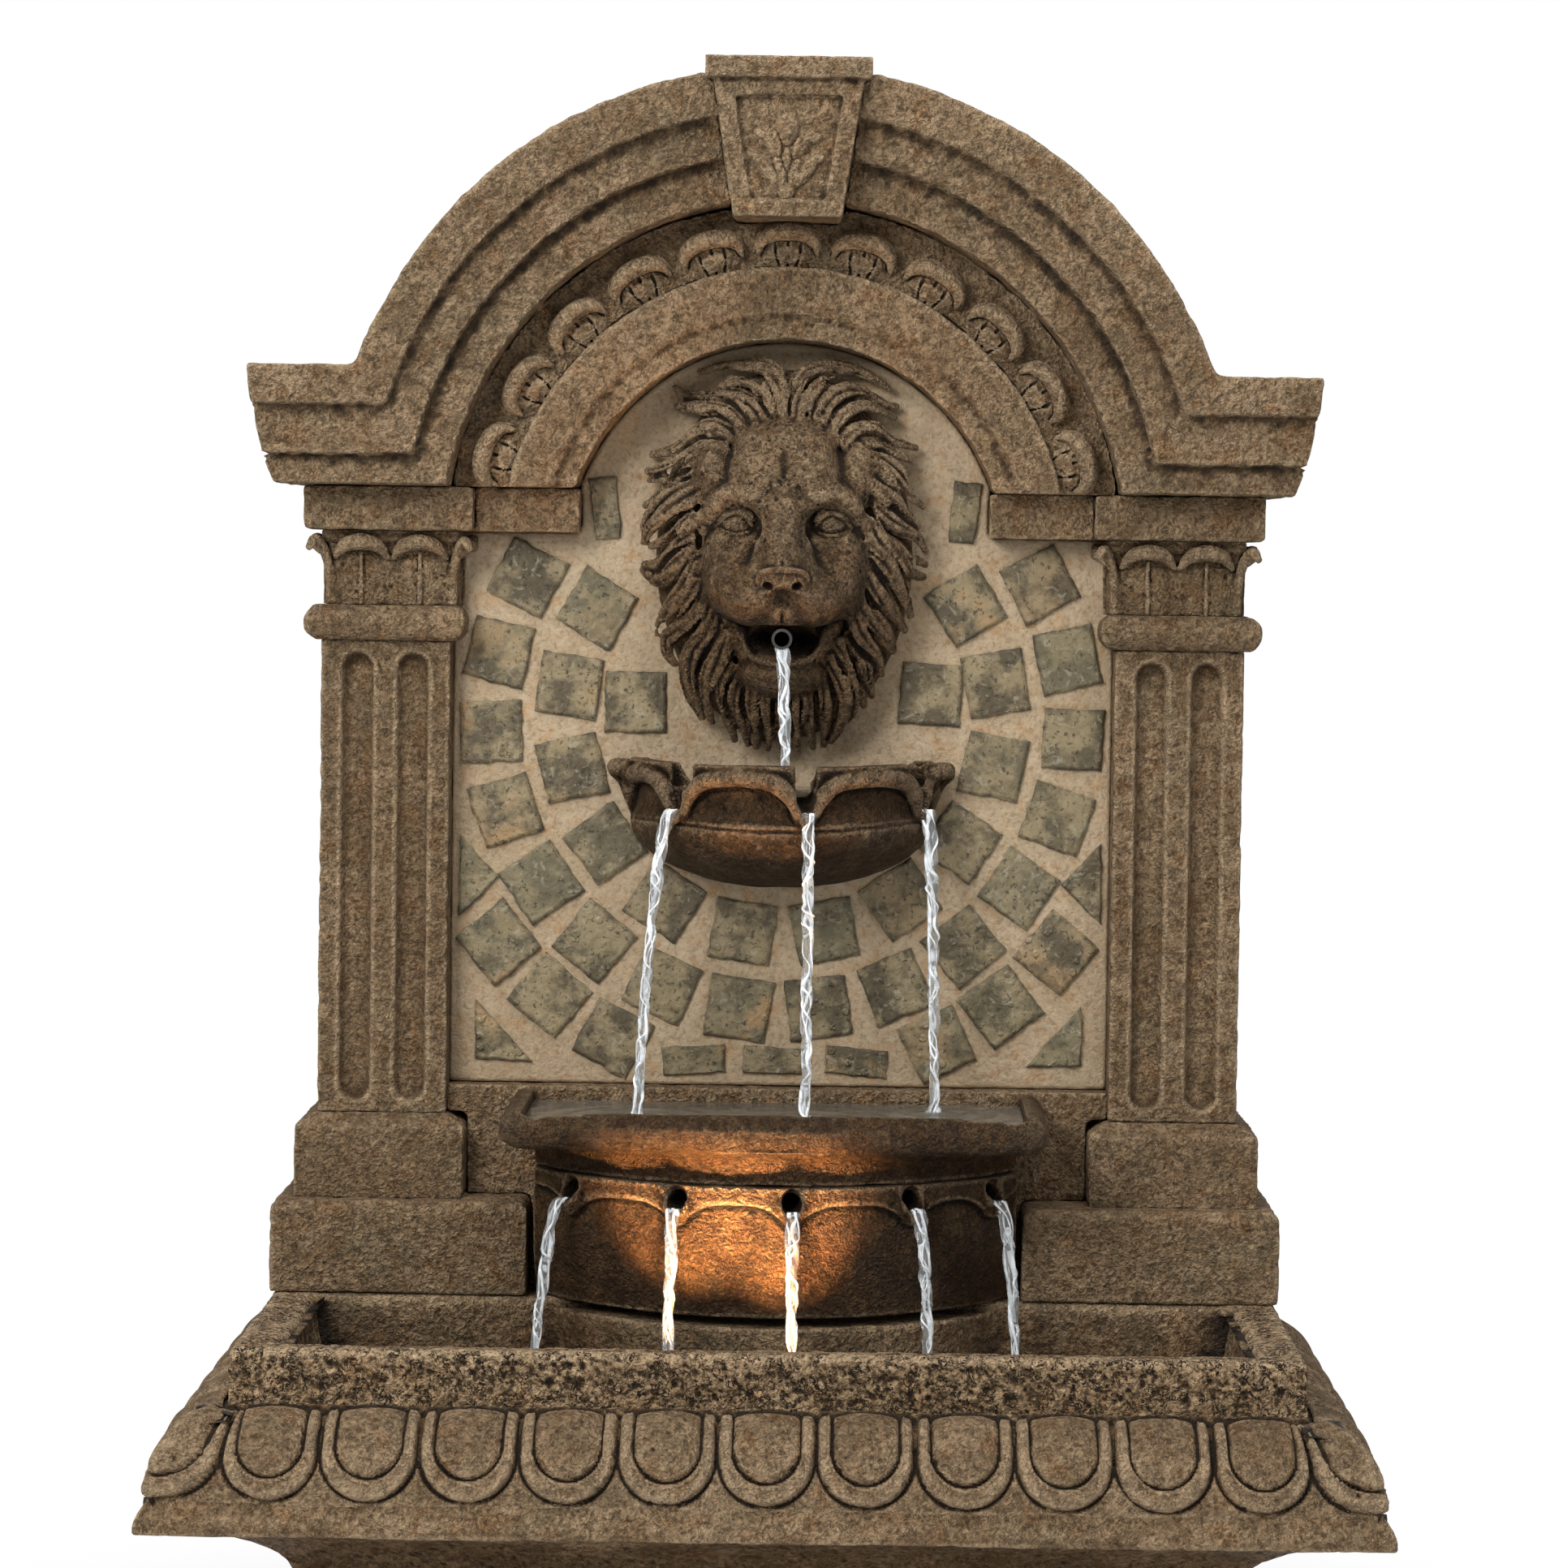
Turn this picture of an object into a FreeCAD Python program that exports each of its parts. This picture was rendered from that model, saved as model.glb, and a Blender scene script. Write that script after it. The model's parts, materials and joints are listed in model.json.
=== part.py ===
import FreeCAD, Part
import Sketcher
import math
import os
from FreeCAD import Placement, Rotation, Vector

# Garden wall fountain of cast stone: basin on a pedestal, arched wall with a lion mask and three bowls.
# Millimetres. +X is to the viewer's right, the front faces -Y, +Z is up.
# The origin is the bottom centre of the whole fountain.

doc = FreeCAD.newDocument("GardenWallFountain")
sheet = doc.addObject("Spreadsheet::Sheet", "Sizes")

drivingSizes = {
    "backPlane": 215,
    "padThick": 4,
    "padSide": 44,
    "padInset": 10,
    "pedestalHeight": 211,
    "pedestalWall": 18,
    "footHeight": 56,
    "footStep": 24,
    "footSlope": 14,
    "rimHalfWidth": 369,
    "rimDepth": 374,
    "rimWall": 38,
    "rimBand": 41,
    "ovoloHeight": 49,
    "ovoloReach": 46,
    "fasciaHeight": 21,
    "fasciaReach": 53,
    "coveRadius": 66,
    "soffitEdge": 22,
    "floorThick": 47,
    "troughDraft": 20,
    "partitionThick": 20,
    "partitionDepth": 169,
    "bayRadius": 209,
    "bayReach": 77,
    "chamberHalfWidth": 250,
    "chamberBackWall": 25,
    "deckThick": 20,
    "hatchDepth": 60,
    "undersideRecess": 25,
    "passageWidth": 46,
    "passageHeight": 28,
    "eggPitch": 67,
    "eggHalfWidth": 31,
    "eggHalfHeight": 29,
    "eggProud": 10,
    "eggReach": 56,
    "frontEggs": 11,
    "sideEggs": 5,
    "lowerBlockHeight": 68,
    "lowerBlockOuter": 371,
    "lowerBlockInner": 182,
    "lowerBlockDepth": 169,
    "blockWall": 20,
    "upperBlockHeight": 52,
    "blockSlope": 9,
    "upperBlockStep": 15,
    "shaftHeight": 350,
    "shaftOuter": 341,
    "shaftInner": 245.5,
    "shaftDepth": 135,
    "shaftWall": 18,
    "fluteRadius": 10.75,
    "fluteSink": 8,
    "fluteSpacing": 41,
    "fluteMargin": 9,
    "neckHeight": 26,
    "neckStep": 9,
    "capitalHeight": 55,
    "capitalStep": 5,
    "abacusHeight": 33,
    "abacusOuter": 353,
    "abacusInner": 228,
    "abacusDepth": 152,
    "impostInner": 151,
    "impostDepth": 137,
    "topBandHeight": 28,
    "middleBandHeight": 36,
    "lowBandHeight": 22,
    "topBandHalf": 392,
    "middleBandHalf": 388,
    "lowBandHalf": 379,
    "topBandDepth": 195,
    "middleBandDepth": 188,
    "lowBandDepth": 179,
    "archRadius": 330,
    "topArcWidth": 29,
    "middleArcWidth": 26.5,
    "lowArcWidth": 26.5,
    "archDrop": 24,
    "centreShift": 0.162,
    "friezeWidth": 40,
    "friezeDepth": 145,
    "ringWidth": 45.5,
    "ringDepth": 157,
    "ringStep": 29,
    "ringStepSink": 4,
    "leafPitch": 14.6,
    "leafCount": 11,
    "leafRadius": 222,
    "leafHalfWidth": 25,
    "leafHalfLength": 14,
    "leafProud": 20,
    "keyTopHalf": 60,
    "keyBodyTopHalf": 54,
    "keyBottomHalf": 39,
    "keyHeight": 114,
    "keyCapHeight": 15,
    "keyCapDepth": 212,
    "keyRise": 4,
    "keyDepth": 205,
    "keyRecess": 5,
    "keyFrame": 12,
    "coreDepth": 97,
    "coreSkin": 12,
    "coreArchRadius": 296,
    "hoopGap": 1,
    "mortarThick": 12,
    "seamGap": 0.3,
    "bedGap": 0.1,
    "tileThick": 4,
    "tileSide": 46,
    "outerTileRing": 217,
    "innerTileRing": 161,
    "edgeTileRing": 269,
    "tileCentreZ": 815,
    "sillHeight": 149,
    "sillDepth": 125,
    "lionZ": 940,
    "nozzleZ": 877,
    "nozzleRadius": 7.5,
    "nozzleBore": 5.5,
    "nozzleReach": 196,
    "bowlTop": 786,
    "bowlRadius": 120,
    "bowlDepth": 96,
    "bowlWall": 13,
    "notchAngle": 52,
    "trayHalfWidth": 197,
    "trayReach": 148,
    "trayHeight": 33,
    "trayTop": 540,
    "trayBow": 16,
    "trayWall": 14,
    "trayFloor": 8,
    "trayFootHeight": 18,
    "scallopHalfWidth": 177,
    "scallopAxis": 178,
    "scallopTopRadius": 223,
    "scallopRim": 24,
    "scallopRimProud": 7,
    "scallopChamber": 57,
    "spoutAngle": 20,
    "spoutBore": 6.5,
    "spoutDrop": 17,
    "panelThick": 6,
    "doorHalfWidth": 100,
    "doorHeight": 140,
    "doorRise": 14,
    "doorGap": 1,
    "hingeGap": 3,
    "hingePinRadius": 1.5,
    "hingePinLength": 16,
    "runningGap": 0.06,
    "screwRadius": 1.8,
    "screwHeadRadius": 4,
    "screwHeadHeight": 2.4,
    "screwLength": 16,
    "tieRodRadius": 5,
    "tieRodHole": 6,
    "tieRodX": 310,
    "tieRodBack": 50,
    "tieNutRadius": 9,
    "tieNutHeight": 8,
    "drainX": 230,
    "drainForward": 275,
    "drainBore": 10,
    "drainBushRadius": 14,
    "drainFlangeRadius": 19,
    "drainFlange": 3,
    "drainKnob": 9,
    "pumpBack": 55,
    "pumpWidth": 50,
    "pumpLength": 60,
    "pumpHeight": 60,
    "pumpFootHeight": 10,
    "voluteRadius": 24,
    "voluteLength": 18,
    "voluteWall": 4,
    "coverLength": 16,
    "rotorRadius": 9,
    "rotorGap": 1,
    "rotorLength": 34,
    "impellerRadius": 16,
    "pumpShaftRadius": 1.5,
    "dialRadius": 12,
    "dialThick": 5,
    "dialPostRadius": 3,
    "hoseRadius": 8,
    "hoseBore": 6,
    "hoseBend": 30,
    "barbLength": 16,
    "clampThick": 1.2,
    "clampWidth": 8,
    "lampForward": 281,
    "lampRadius": 20,
    "lampLength": 40,
    "lampLift": 38,
    "lampTilt": 20,
    "lampWall": 2.5,
    "lampEarThick": 3,
    "lampEarGap": 4,
    "bezelRadius": 22,
    "bezelHeight": 6,
    "lensThick": 3,
    "pivotRadius": 2.5,
    "cableX": 150,
    "cableDrop": 34,
    "cableHoleRadius": 13,
    "cableBore": 5,
    "grommetFlange": 17,
    "grommetLip": 3,
}
for row, (alias, number) in enumerate(drivingSizes.items(), start=1):
    sheet.set(f"A{row}", alias)
    sheet.set(f"B{row}", str(number))
    sheet.setAlias(f"B{row}", alias)
doc.recompute()

# Levels and planes that follow from the driving sizes
places = doc.addObject("App::VarSet", "Places")
derivedPlaces = {
    "neckZ": "Sizes.padThick + Sizes.pedestalHeight",
    "soffitZ": "Places.neckZ + Sizes.coveRadius",
    "fasciaTopZ": "Places.soffitZ + Sizes.fasciaHeight",
    "bandZ": "Places.fasciaTopZ + Sizes.ovoloHeight",
    "rimZ": "Places.bandZ + Sizes.rimBand",
    "floorZ": "Places.neckZ + Sizes.floorThick",
    "lowerTopZ": "Places.rimZ + Sizes.lowerBlockHeight",
    "upperTopZ": "Places.lowerTopZ + Sizes.upperBlockHeight",
    "shaftZ": "Places.upperTopZ + Sizes.blockSlope",
    "shaftTopZ": "Places.shaftZ + Sizes.shaftHeight",
    "neckTopZ": "Places.shaftTopZ + Sizes.neckHeight",
    "capitalTopZ": "Places.neckTopZ + Sizes.capitalHeight",
    "springZ": "Places.capitalTopZ + Sizes.abacusHeight",
    "lowBandTopZ": "Places.springZ + Sizes.lowBandHeight",
    "middleBandTopZ": "Places.lowBandTopZ + Sizes.middleBandHeight",
    "corniceTopZ": "Places.middleBandTopZ + Sizes.topBandHeight",
    "archZ": "Places.springZ - Sizes.archDrop",
    "middleArcRadius": "Sizes.archRadius - Sizes.topArcWidth",
    "lowArcRadius": "Places.middleArcRadius - Sizes.middleArcWidth",
    "friezeRadius": "Places.lowArcRadius - Sizes.lowArcWidth",
    "ringRadius": "Places.friezeRadius - Sizes.friezeWidth - 2 * Sizes.seamGap",
    "ringStepRadius": "Places.ringRadius - Sizes.ringStep",
    "nicheRadius": "Places.ringRadius - Sizes.ringWidth",
    "crownZ": "Places.archZ + Sizes.archRadius",
    "keyTopZ": "Places.crownZ + Sizes.keyRise",
    "keyBodyTopZ": "Places.keyTopZ - Sizes.keyCapHeight",
    "keyBottomZ": "Places.keyTopZ - Sizes.keyHeight",
    "sillTopZ": "Places.rimZ + Sizes.sillHeight",
    "rimFrontY": "Sizes.backPlane - Sizes.rimDepth",
    "partitionY": "Sizes.backPlane - Sizes.partitionDepth",
    "chamberFrontY": "Places.partitionY + Sizes.partitionThick",
    "chamberBackY": "Sizes.backPlane - Sizes.chamberBackWall",
    "hatchY": "Places.chamberBackY - Sizes.hatchDepth",
    "bayFrontY": "Places.partitionY - Sizes.bayReach",
    "bayAxisY": "Places.bayFrontY + Sizes.bayRadius",
    "coreY": "Sizes.backPlane - Sizes.coreDepth",
    "coreInnerY": "Places.coreY + Sizes.coreSkin",
    "coreBackY": "Sizes.backPlane - Sizes.panelThick",
    "mortarY": "Places.coreY - Sizes.mortarThick",
    "tileY": "Places.mortarY - Sizes.tileThick",
    "sillY": "Sizes.backPlane - Sizes.sillDepth",
    "pumpY": "Sizes.backPlane - Sizes.pumpBack",
    "pumpZ": "Places.floorZ + Sizes.pumpFootHeight",
    "shaftLineZ": "Places.pumpZ + Sizes.pumpHeight / 2",
    "lampY": "Sizes.backPlane - Sizes.lampForward",
    "lampZ": "Places.floorZ + Sizes.lampLift",
    "drainY": "Sizes.backPlane - Sizes.drainForward",
    "cableZ": "Places.rimZ - Sizes.cableDrop",
    "doorZ": "Places.rimZ + Sizes.doorRise",
    "doorTopZ": "Places.doorZ + Sizes.doorHeight",
    "tieRodY": "Sizes.backPlane - Sizes.tieRodBack",
    "trayY": "Places.sillY - Sizes.trayReach",
    "trayBottomZ": "Sizes.trayTop - Sizes.trayHeight",
    "scallopTopZ": "Places.trayBottomZ - Sizes.trayFootHeight",
    "spoutZ": "Places.scallopTopZ - Sizes.spoutDrop",
}
for name in derivedPlaces:
    places.addProperty("App::PropertyFloat", name)
for name, expression in derivedPlaces.items():
    places.setExpression(name, expression)
doc.recompute()


def size(name):
    return float(sheet.get(name))


def place(name):
    return float(getattr(places, name))


subParts = []


def subPart(thing, label):
    thing.Label = label
    subParts.append(thing)
    return thing


def bind(thing, **expressions):
    for key, expression in expressions.items():
        thing.setExpression(key.replace("_", "."), str(expression))
    return thing


def putAt(thing, x, y, z, rotation=None):
    thing.Placement = Placement(Vector(), rotation or Rotation())
    bind(thing, Placement_Base_x=x, Placement_Base_y=y, Placement_Base_z=z)
    return thing


def block(name, x0, x1, y0, y1, z0, z1):
    thing = doc.addObject("Part::Box", name)
    bind(thing, Length=f"({x1}) - ({x0})", Width=f"({y1}) - ({y0})", Height=f"({z1}) - ({z0})")
    return putAt(thing, x0, y0, z0)


alongX = Rotation(Vector(0, 1, 0), 90)
alongY = Rotation(Vector(1, 0, 0), -90)


def rod(name, radius, length, x, y, z, turn=None):
    thing = doc.addObject("Part::Cylinder", name)
    bind(thing, Radius=radius, Height=length)
    return putAt(thing, x, y, z, turn)


def cone(name, footRadius, topRadius, height, x, y, z, turn=None):
    thing = doc.addObject("Part::Cone", name)
    bind(thing, Radius1=footRadius, Radius2=topRadius, Height=height)
    return putAt(thing, x, y, z, turn)


def ball(name, halfX, halfY, halfZ, x, y, z, turn=None):
    thing = doc.addObject("Part::Ellipsoid", name)
    bind(thing, Radius1=halfZ, Radius2=halfX, Radius3=halfY)
    return putAt(thing, x, y, z, turn)


def joined(name, pieces):
    thing = doc.addObject("Part::MultiFuse", name)
    thing.Shapes = pieces
    return thing


def grouped(name, pieces):
    thing = doc.addObject("Part::Compound", name)
    thing.Links = pieces
    return thing


def cutFrom(name, base, tools):
    thing = doc.addObject("Part::Cut", name)
    thing.Base = base
    thing.Tool = tools[0] if len(tools) == 1 else joined(f"{name}Tools", tools)
    return thing


def shared(name, pieces):
    thing = doc.addObject("Part::MultiCommon", name)
    thing.Shapes = pieces
    return thing


def shaped(name, shape):
    thing = doc.addObject("Part::Feature", name)
    thing.Shape = shape
    return thing


def ellipsoidShape(halfX, halfY, halfZ, centre, turn):
    matrix = FreeCAD.Matrix()
    matrix.scale(halfX / 10, halfY / 10, halfZ / 10)
    shape = Part.makeSphere(10).transformGeometry(matrix)
    shape.Placement = Placement(centre, turn)
    return shape


# Neighbours are fused in pairs, then the pairs in pairs, which keeps each step small
def fusedPairs(shapes):
    while len(shapes) > 1:
        pairs = [shapes[index].fuse(shapes[index + 1]) for index in range(0, len(shapes) - 1, 2)]
        if len(shapes) % 2:
            pairs.append(shapes[-1])
        shapes = pairs
    return shapes[0]


# A closed outline through (across, up) points. A third value bows the run that ends at its point:
# to the right of travel when positive, to the left when negative.
def outlineWire(points, toVector):
    edges = []
    for start, end in zip(points, points[1:] + points[:1]):
        across = end[0] - start[0]
        up = end[1] - start[1]
        length = math.hypot(across, up)
        if length < 1e-6:
            continue
        sag = end[2] if len(end) > 2 else 0
        a = toVector(start[0], start[1])
        b = toVector(end[0], end[1])
        if sag:
            middleAcross = (start[0] + end[0]) / 2 + sag * up / length
            middleUp = (start[1] + end[1]) / 2 - sag * across / length
            edges.append(Part.Arc(a, toVector(middleAcross, middleUp), b).toShape())
        else:
            edges.append(Part.LineSegment(a, b).toShape())
    return Part.Wire(edges)


# A cast moulding that runs round the front and both ends of a block and stops at the back plane.
# The profile lists (offset, z) points from bottom to top, the offset measured outwards from the block.
def mitredMoulding(x0, x1, frontY, backY, profile):
    right = [(x1 + point[0], *point[1:]) for point in profile]
    left = [(x0 - point[0], point[1]) for point in reversed(profile)]
    for index, point in enumerate(reversed(profile[1:])):
        left[index + 1] = (*left[index + 1], *point[2:])
    reach = 1000
    frontWire = outlineWire(right + left, lambda x, z: Vector(x, -reach, z))
    frontSlab = Part.Face(frontWire).extrude(Vector(0, 2 * reach, 0))
    backOffset = frontY - backY
    side = list(profile) + [(backOffset, profile[-1][1]), (backOffset, profile[0][1])]
    sideWire = outlineWire(side, lambda offset, z: Vector(-reach, frontY - offset, z))
    sideSlab = Part.Face(sideWire).extrude(Vector(2 * reach, 0, 0))
    return frontSlab.common(sideSlab).removeSplitter()


# Basin: rim band, ovolo, fascia and cove round a trough, with a bowed bay under the lowest bowl
def makeBasin():
    rim = size("rimHalfWidth")
    coveEnd = size("soffitEdge") - size("coveRadius")
    coveSag = size("coveRadius") * (1 - math.sqrt(0.5))
    ovoloSag = size("ovoloReach") * (1 - math.sqrt(0.5))
    profile = [
        (coveEnd, place("neckZ")),
        (size("soffitEdge"), place("soffitZ"), -coveSag),
        (size("fasciaReach"), place("soffitZ")),
        (size("fasciaReach"), place("fasciaTopZ")),
        (size("ovoloReach"), place("fasciaTopZ") + 1),
        (2, place("bandZ") - 1, ovoloSag),
        (0, place("bandZ")),
        (0, place("rimZ")),
    ]
    body = shaped("BasinBody", mitredMoulding(-rim, rim, place("rimFrontY"), size("backPlane"), profile))
    eggs = []

    def egg(name, x, y, turn):
        along = Rotation(Vector(0, 0, 1), turn) * Rotation(Vector(1, 0, 0), -45)
        return ball(name, "Sizes.eggHalfWidth", "Sizes.eggProud", "Sizes.eggHalfHeight", x, y,
                    "Places.bandZ - Sizes.ovoloHeight * 0.36", along)

    slantReach = "sqrt((Sizes.eggProud * Sizes.eggProud + Sizes.eggHalfHeight * Sizes.eggHalfHeight) / 2)"
    eggOut = f"(Sizes.eggReach - {slantReach})"
    frontCount = int(size("frontEggs"))
    for index in range(frontCount):
        step = index - (frontCount - 1) / 2
        eggs.append(egg(f"FrontEgg{index}", f"{step} * Sizes.eggPitch", f"Places.rimFrontY - {eggOut}", 0))
    for side in (-1, 1):
        eggs.append(egg(f"CornerEgg{side + 1}", f"{side} * (Sizes.rimHalfWidth + {eggOut} * 0.8)",
                        f"Places.rimFrontY - {eggOut} * 0.8", 45 * side))
        for index in range(int(size("sideEggs"))):
            eggs.append(egg(f"SideEgg{side + 1}{index}", f"{side} * (Sizes.rimHalfWidth + {eggOut})",
                            f"Places.rimFrontY + ({index} + 0.62) * Sizes.eggPitch", 90 * side))
    eggRow = joined("EggRow", eggs)
    eggLimit = block("EggLimit", "-Sizes.rimHalfWidth - 100", "Sizes.rimHalfWidth + 100",
                     "Places.rimFrontY - 100", "Sizes.backPlane",
                     "Places.fasciaTopZ", "Places.bandZ")
    dressed = joined("BasinDressed", [body, shared("EggsBelowBand", [eggRow, eggLimit])])

    top = place("rimZ") + 1
    draft = size("troughDraft")
    wall = size("rimWall")
    frontInner = place("rimFrontY") + wall

    def rectangleWire(halfWidth, y0, y1, z):
        corners = [Vector(-halfWidth, y0, z), Vector(halfWidth, y0, z), Vector(halfWidth, y1, z),
                   Vector(-halfWidth, y1, z)]
        return Part.makePolygon(corners + corners[:1])

    trough = Part.makeLoft([
        rectangleWire(rim - wall - draft, frontInner + draft, place("partitionY"), place("floorZ")),
        rectangleWire(rim - wall, frontInner, place("partitionY"), top)], True)
    bay = Part.makeCylinder(size("bayRadius"), 200, Vector(0, place("bayAxisY"), place("floorZ") - 10))
    frontTrough = shaped("FrontTrough", trough.cut(bay))
    chamber = block("PumpChamber", "-Sizes.chamberHalfWidth", "Sizes.chamberHalfWidth",
                    "Places.chamberFrontY", "Places.chamberBackY", "Places.floorZ",
                    "Places.rimZ - Sizes.deckThick")
    hatch = block("PumpHatch", "-Sizes.chamberHalfWidth", "Sizes.chamberHalfWidth", "Places.hatchY",
                  "Places.chamberBackY", "Places.floorZ", "Places.rimZ + 1")
    bayHollow = shared("BayHollow", [
        rod("BayInside", "Sizes.bayRadius - Sizes.partitionThick", "Sizes.rimBand + 100", 0,
            "Places.bayAxisY", "Places.floorZ"),
        block("BayLimit", "-Sizes.chamberHalfWidth", "Sizes.chamberHalfWidth",
              "Places.bayFrontY", "Places.hatchY", "Places.floorZ", "Places.rimZ - Sizes.deckThick")])
    underside = block("UndersideRecess", "-Sizes.rimHalfWidth + Sizes.rimWall * 2",
                      "Sizes.rimHalfWidth - Sizes.rimWall * 2", "Places.rimFrontY + Sizes.rimWall * 2",
                      "Places.chamberBackY", "Places.neckZ - 1", "Places.neckZ + Sizes.undersideRecess")
    tools = [frontTrough, chamber, hatch, bayHollow, underside]
    for side in (-1, 1):
        ceiling = "Places.rimZ - Sizes.deckThick - 5"
        for level, outerX, z0, z1 in (("Foot", "Sizes.rimHalfWidth - Sizes.rimWall * 2", "Places.neckZ - 1",
                                       ceiling),
                                      ("Head", "Sizes.rimHalfWidth - Sizes.rimWall",
                                       "Places.fasciaTopZ", ceiling)):
            x0, x1 = ("Sizes.chamberHalfWidth + 14", outerX)
            if side < 0:
                x0, x1 = f"-({x1})", f"-({x0})"
            tools.append(block(f"CornerHollow{level}{side + 1}", x0, x1, "Places.chamberFrontY",
                               "Places.chamberBackY", z0, z1))
        tools.append(rod(f"BasinRodHole{side + 1}", "Sizes.tieRodHole", "Sizes.deckThick + 10",
                         f"{side} * Sizes.tieRodX", "Places.tieRodY", "Places.rimZ - Sizes.deckThick - 7"))
        start = "Sizes.chamberHalfWidth - Sizes.passageWidth - 10"
        x0, x1 = (start, f"{start} + Sizes.passageWidth")
        if side < 0:
            x0, x1 = f"-({x1})", f"-({x0})"
        tools.append(block(f"Passage{side + 1}", x0, x1, "Places.partitionY - 3",
                           "Places.chamberFrontY + 3", "Places.floorZ", "Places.floorZ + Sizes.passageHeight"))
    tools.append(rod("DrainHole", "Sizes.drainBushRadius", "Sizes.floorThick + 4", "-Sizes.drainX",
                     "Places.drainY", "Places.neckZ - 2"))
    tools.append(rod("CableHole", "Sizes.cableHoleRadius", "Sizes.chamberBackWall + 2", "Sizes.cableX",
                     "Places.chamberBackY - 1", "Places.cableZ", alongY))
    subPart(cutFrom("BasinCut", dressed, tools), "basin")


def makePedestal():
    half = size("rimHalfWidth") + size("soffitEdge") - size("coveRadius")
    front = place("rimFrontY") - size("soffitEdge") + size("coveRadius")
    footTop = size("padThick") + size("footHeight")
    profile = [
        (size("footStep"), size("padThick")),
        (size("footStep"), footTop),
        (0, footTop + size("footSlope")),
        (0, place("neckZ")),
    ]
    casing = shaped("PedestalCasing", mitredMoulding(-half, half, front, size("backPlane"), profile))
    inset = "Sizes.coveRadius - Sizes.soffitEdge + Sizes.pedestalWall"
    inside = block("PedestalInside", f"-(Sizes.rimHalfWidth - ({inset}))", f"Sizes.rimHalfWidth - ({inset})",
                   f"Places.rimFrontY + {inset}", "Sizes.backPlane - Sizes.pedestalWall",
                   "0", "Places.neckZ + 1")
    subPart(cutFrom("PedestalCut", casing, [inside]), "pedestal")
    pads = []
    for sideX in (-1, 1):
        for row in (0, 1):
            edge = "Sizes.rimHalfWidth + Sizes.soffitEdge - Sizes.coveRadius + Sizes.footStep - Sizes.padInset"
            x0, x1 = (f"{edge} - Sizes.padSide", edge)
            if sideX < 0:
                x0, x1 = f"-({x1})", f"-({x0})"
            start = ("Places.rimFrontY - Sizes.soffitEdge + Sizes.coveRadius - Sizes.footStep + Sizes.padInset",
                     "Sizes.backPlane - Sizes.padInset - Sizes.padSide")[row]
            pads.append(block(f"Pad{sideX + 1}{row}", x0, x1, start, f"{start} + Sizes.padSide",
                              "0", "Sizes.padThick"))
    subPart(grouped("FootPads", pads), "foot_pads")


# A block of a side stack reaches inwards only in front of the wall core and the mortar bed
def stackPiece(name, side, innerX, outerX, frontY, profile, wrapY, holes=()):
    x0, x1 = sorted((side * innerX, side * outerX))
    shape = mitredMoulding(x0, x1, frontY, size("backPlane"), profile)
    coreHalf = size("shaftInner")
    low = profile[0][1] - 1
    tall = profile[-1][1] - low + 1
    shape = shape.cut(Part.makeBox(2 * coreHalf, 400, tall, Vector(-coreHalf, wrapY, low)))
    casting = shaped(f"{name}Casting", shape.removeSplitter())
    rodHole = rod(f"{name}RodHole", "Sizes.tieRodHole", str(tall), f"{side} * Sizes.tieRodX",
                  "Places.tieRodY", str(low))
    return cutFrom(f"{name}Cut", casting, [rodHole] + list(holes))


def stackHollow(name, side, innerX, outerX, frontY, z0, z1):
    x0, x1 = sorted((side * innerX, side * outerX))
    return block(name, str(x0), str(x1), str(frontY), "Sizes.backPlane - Sizes.blockWall", z0, z1)


def makeStacks():
    back = size("backPlane")
    shaftFront = back - size("shaftDepth")
    slope = size("blockSlope")
    wall = size("blockWall")
    for side, word in ((-1, "left"), (1, "right")):
        lowTop = place("lowerTopZ")
        lowFront = back - size("lowerBlockDepth")
        edge = 5
        lowProfile = [(0, place("rimZ")), (0, lowTop - edge), (-edge, lowTop)]
        hollow = stackHollow(f"LowerHollow{word}", side, size("shaftInner") + wall,
                             size("lowerBlockOuter") - wall, lowFront + wall,
                             "Places.rimZ - 1", "Places.lowerTopZ - Sizes.blockWall")
        subPart(stackPiece(f"LowerBlock{word}", side, size("lowerBlockInner"), size("lowerBlockOuter"),
                           lowFront, lowProfile, place("coreY"), [hollow]), f"plinth_lower_{word}")
        step = size("upperBlockStep")
        upTop = place("upperTopZ")
        upProfile = [(step, lowTop), (step, upTop), (1, upTop + slope)]
        subPart(stackPiece(f"UpperBlock{word}", side, size("shaftInner"), size("shaftOuter"), shaftFront,
                           upProfile, place("coreY")), f"plinth_upper_{word}")
        makeShaft(side, word)
        ring = size("neckStep")
        z0 = place("shaftTopZ")
        z1 = place("neckTopZ")
        ringProfile = [(ring * 0.4, z0), (ring * 0.4, z1, (z1 - z0) * 0.32)]
        subPart(stackPiece(f"NeckRing{word}", side, size("shaftInner"), size("shaftOuter"), shaftFront,
                           ringProfile, place("mortarY")), f"neck_ring_{word}")
        makeCapital(side, word)
        top = place("springZ")
        low = place("capitalTopZ")
        abacusProfile = [(-2, low), (0, low + 2), (0, top - 2), (-2, top)]
        subPart(stackPiece(f"Abacus{word}", side, size("abacusInner"), size("abacusOuter"),
                           back - size("abacusDepth"), abacusProfile, place("coreY")), f"abacus_{word}")
        x0, x1 = ("Sizes.impostInner", "Sizes.abacusInner")
        if side < 0:
            x0, x1 = f"-({x1})", f"-({x0})"
        subPart(block(f"Impost{word}", x0, x1, "Sizes.backPlane - Sizes.impostDepth", "Places.coreY",
                      "Places.capitalTopZ", "Places.springZ"), f"impost_{word}")


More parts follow.
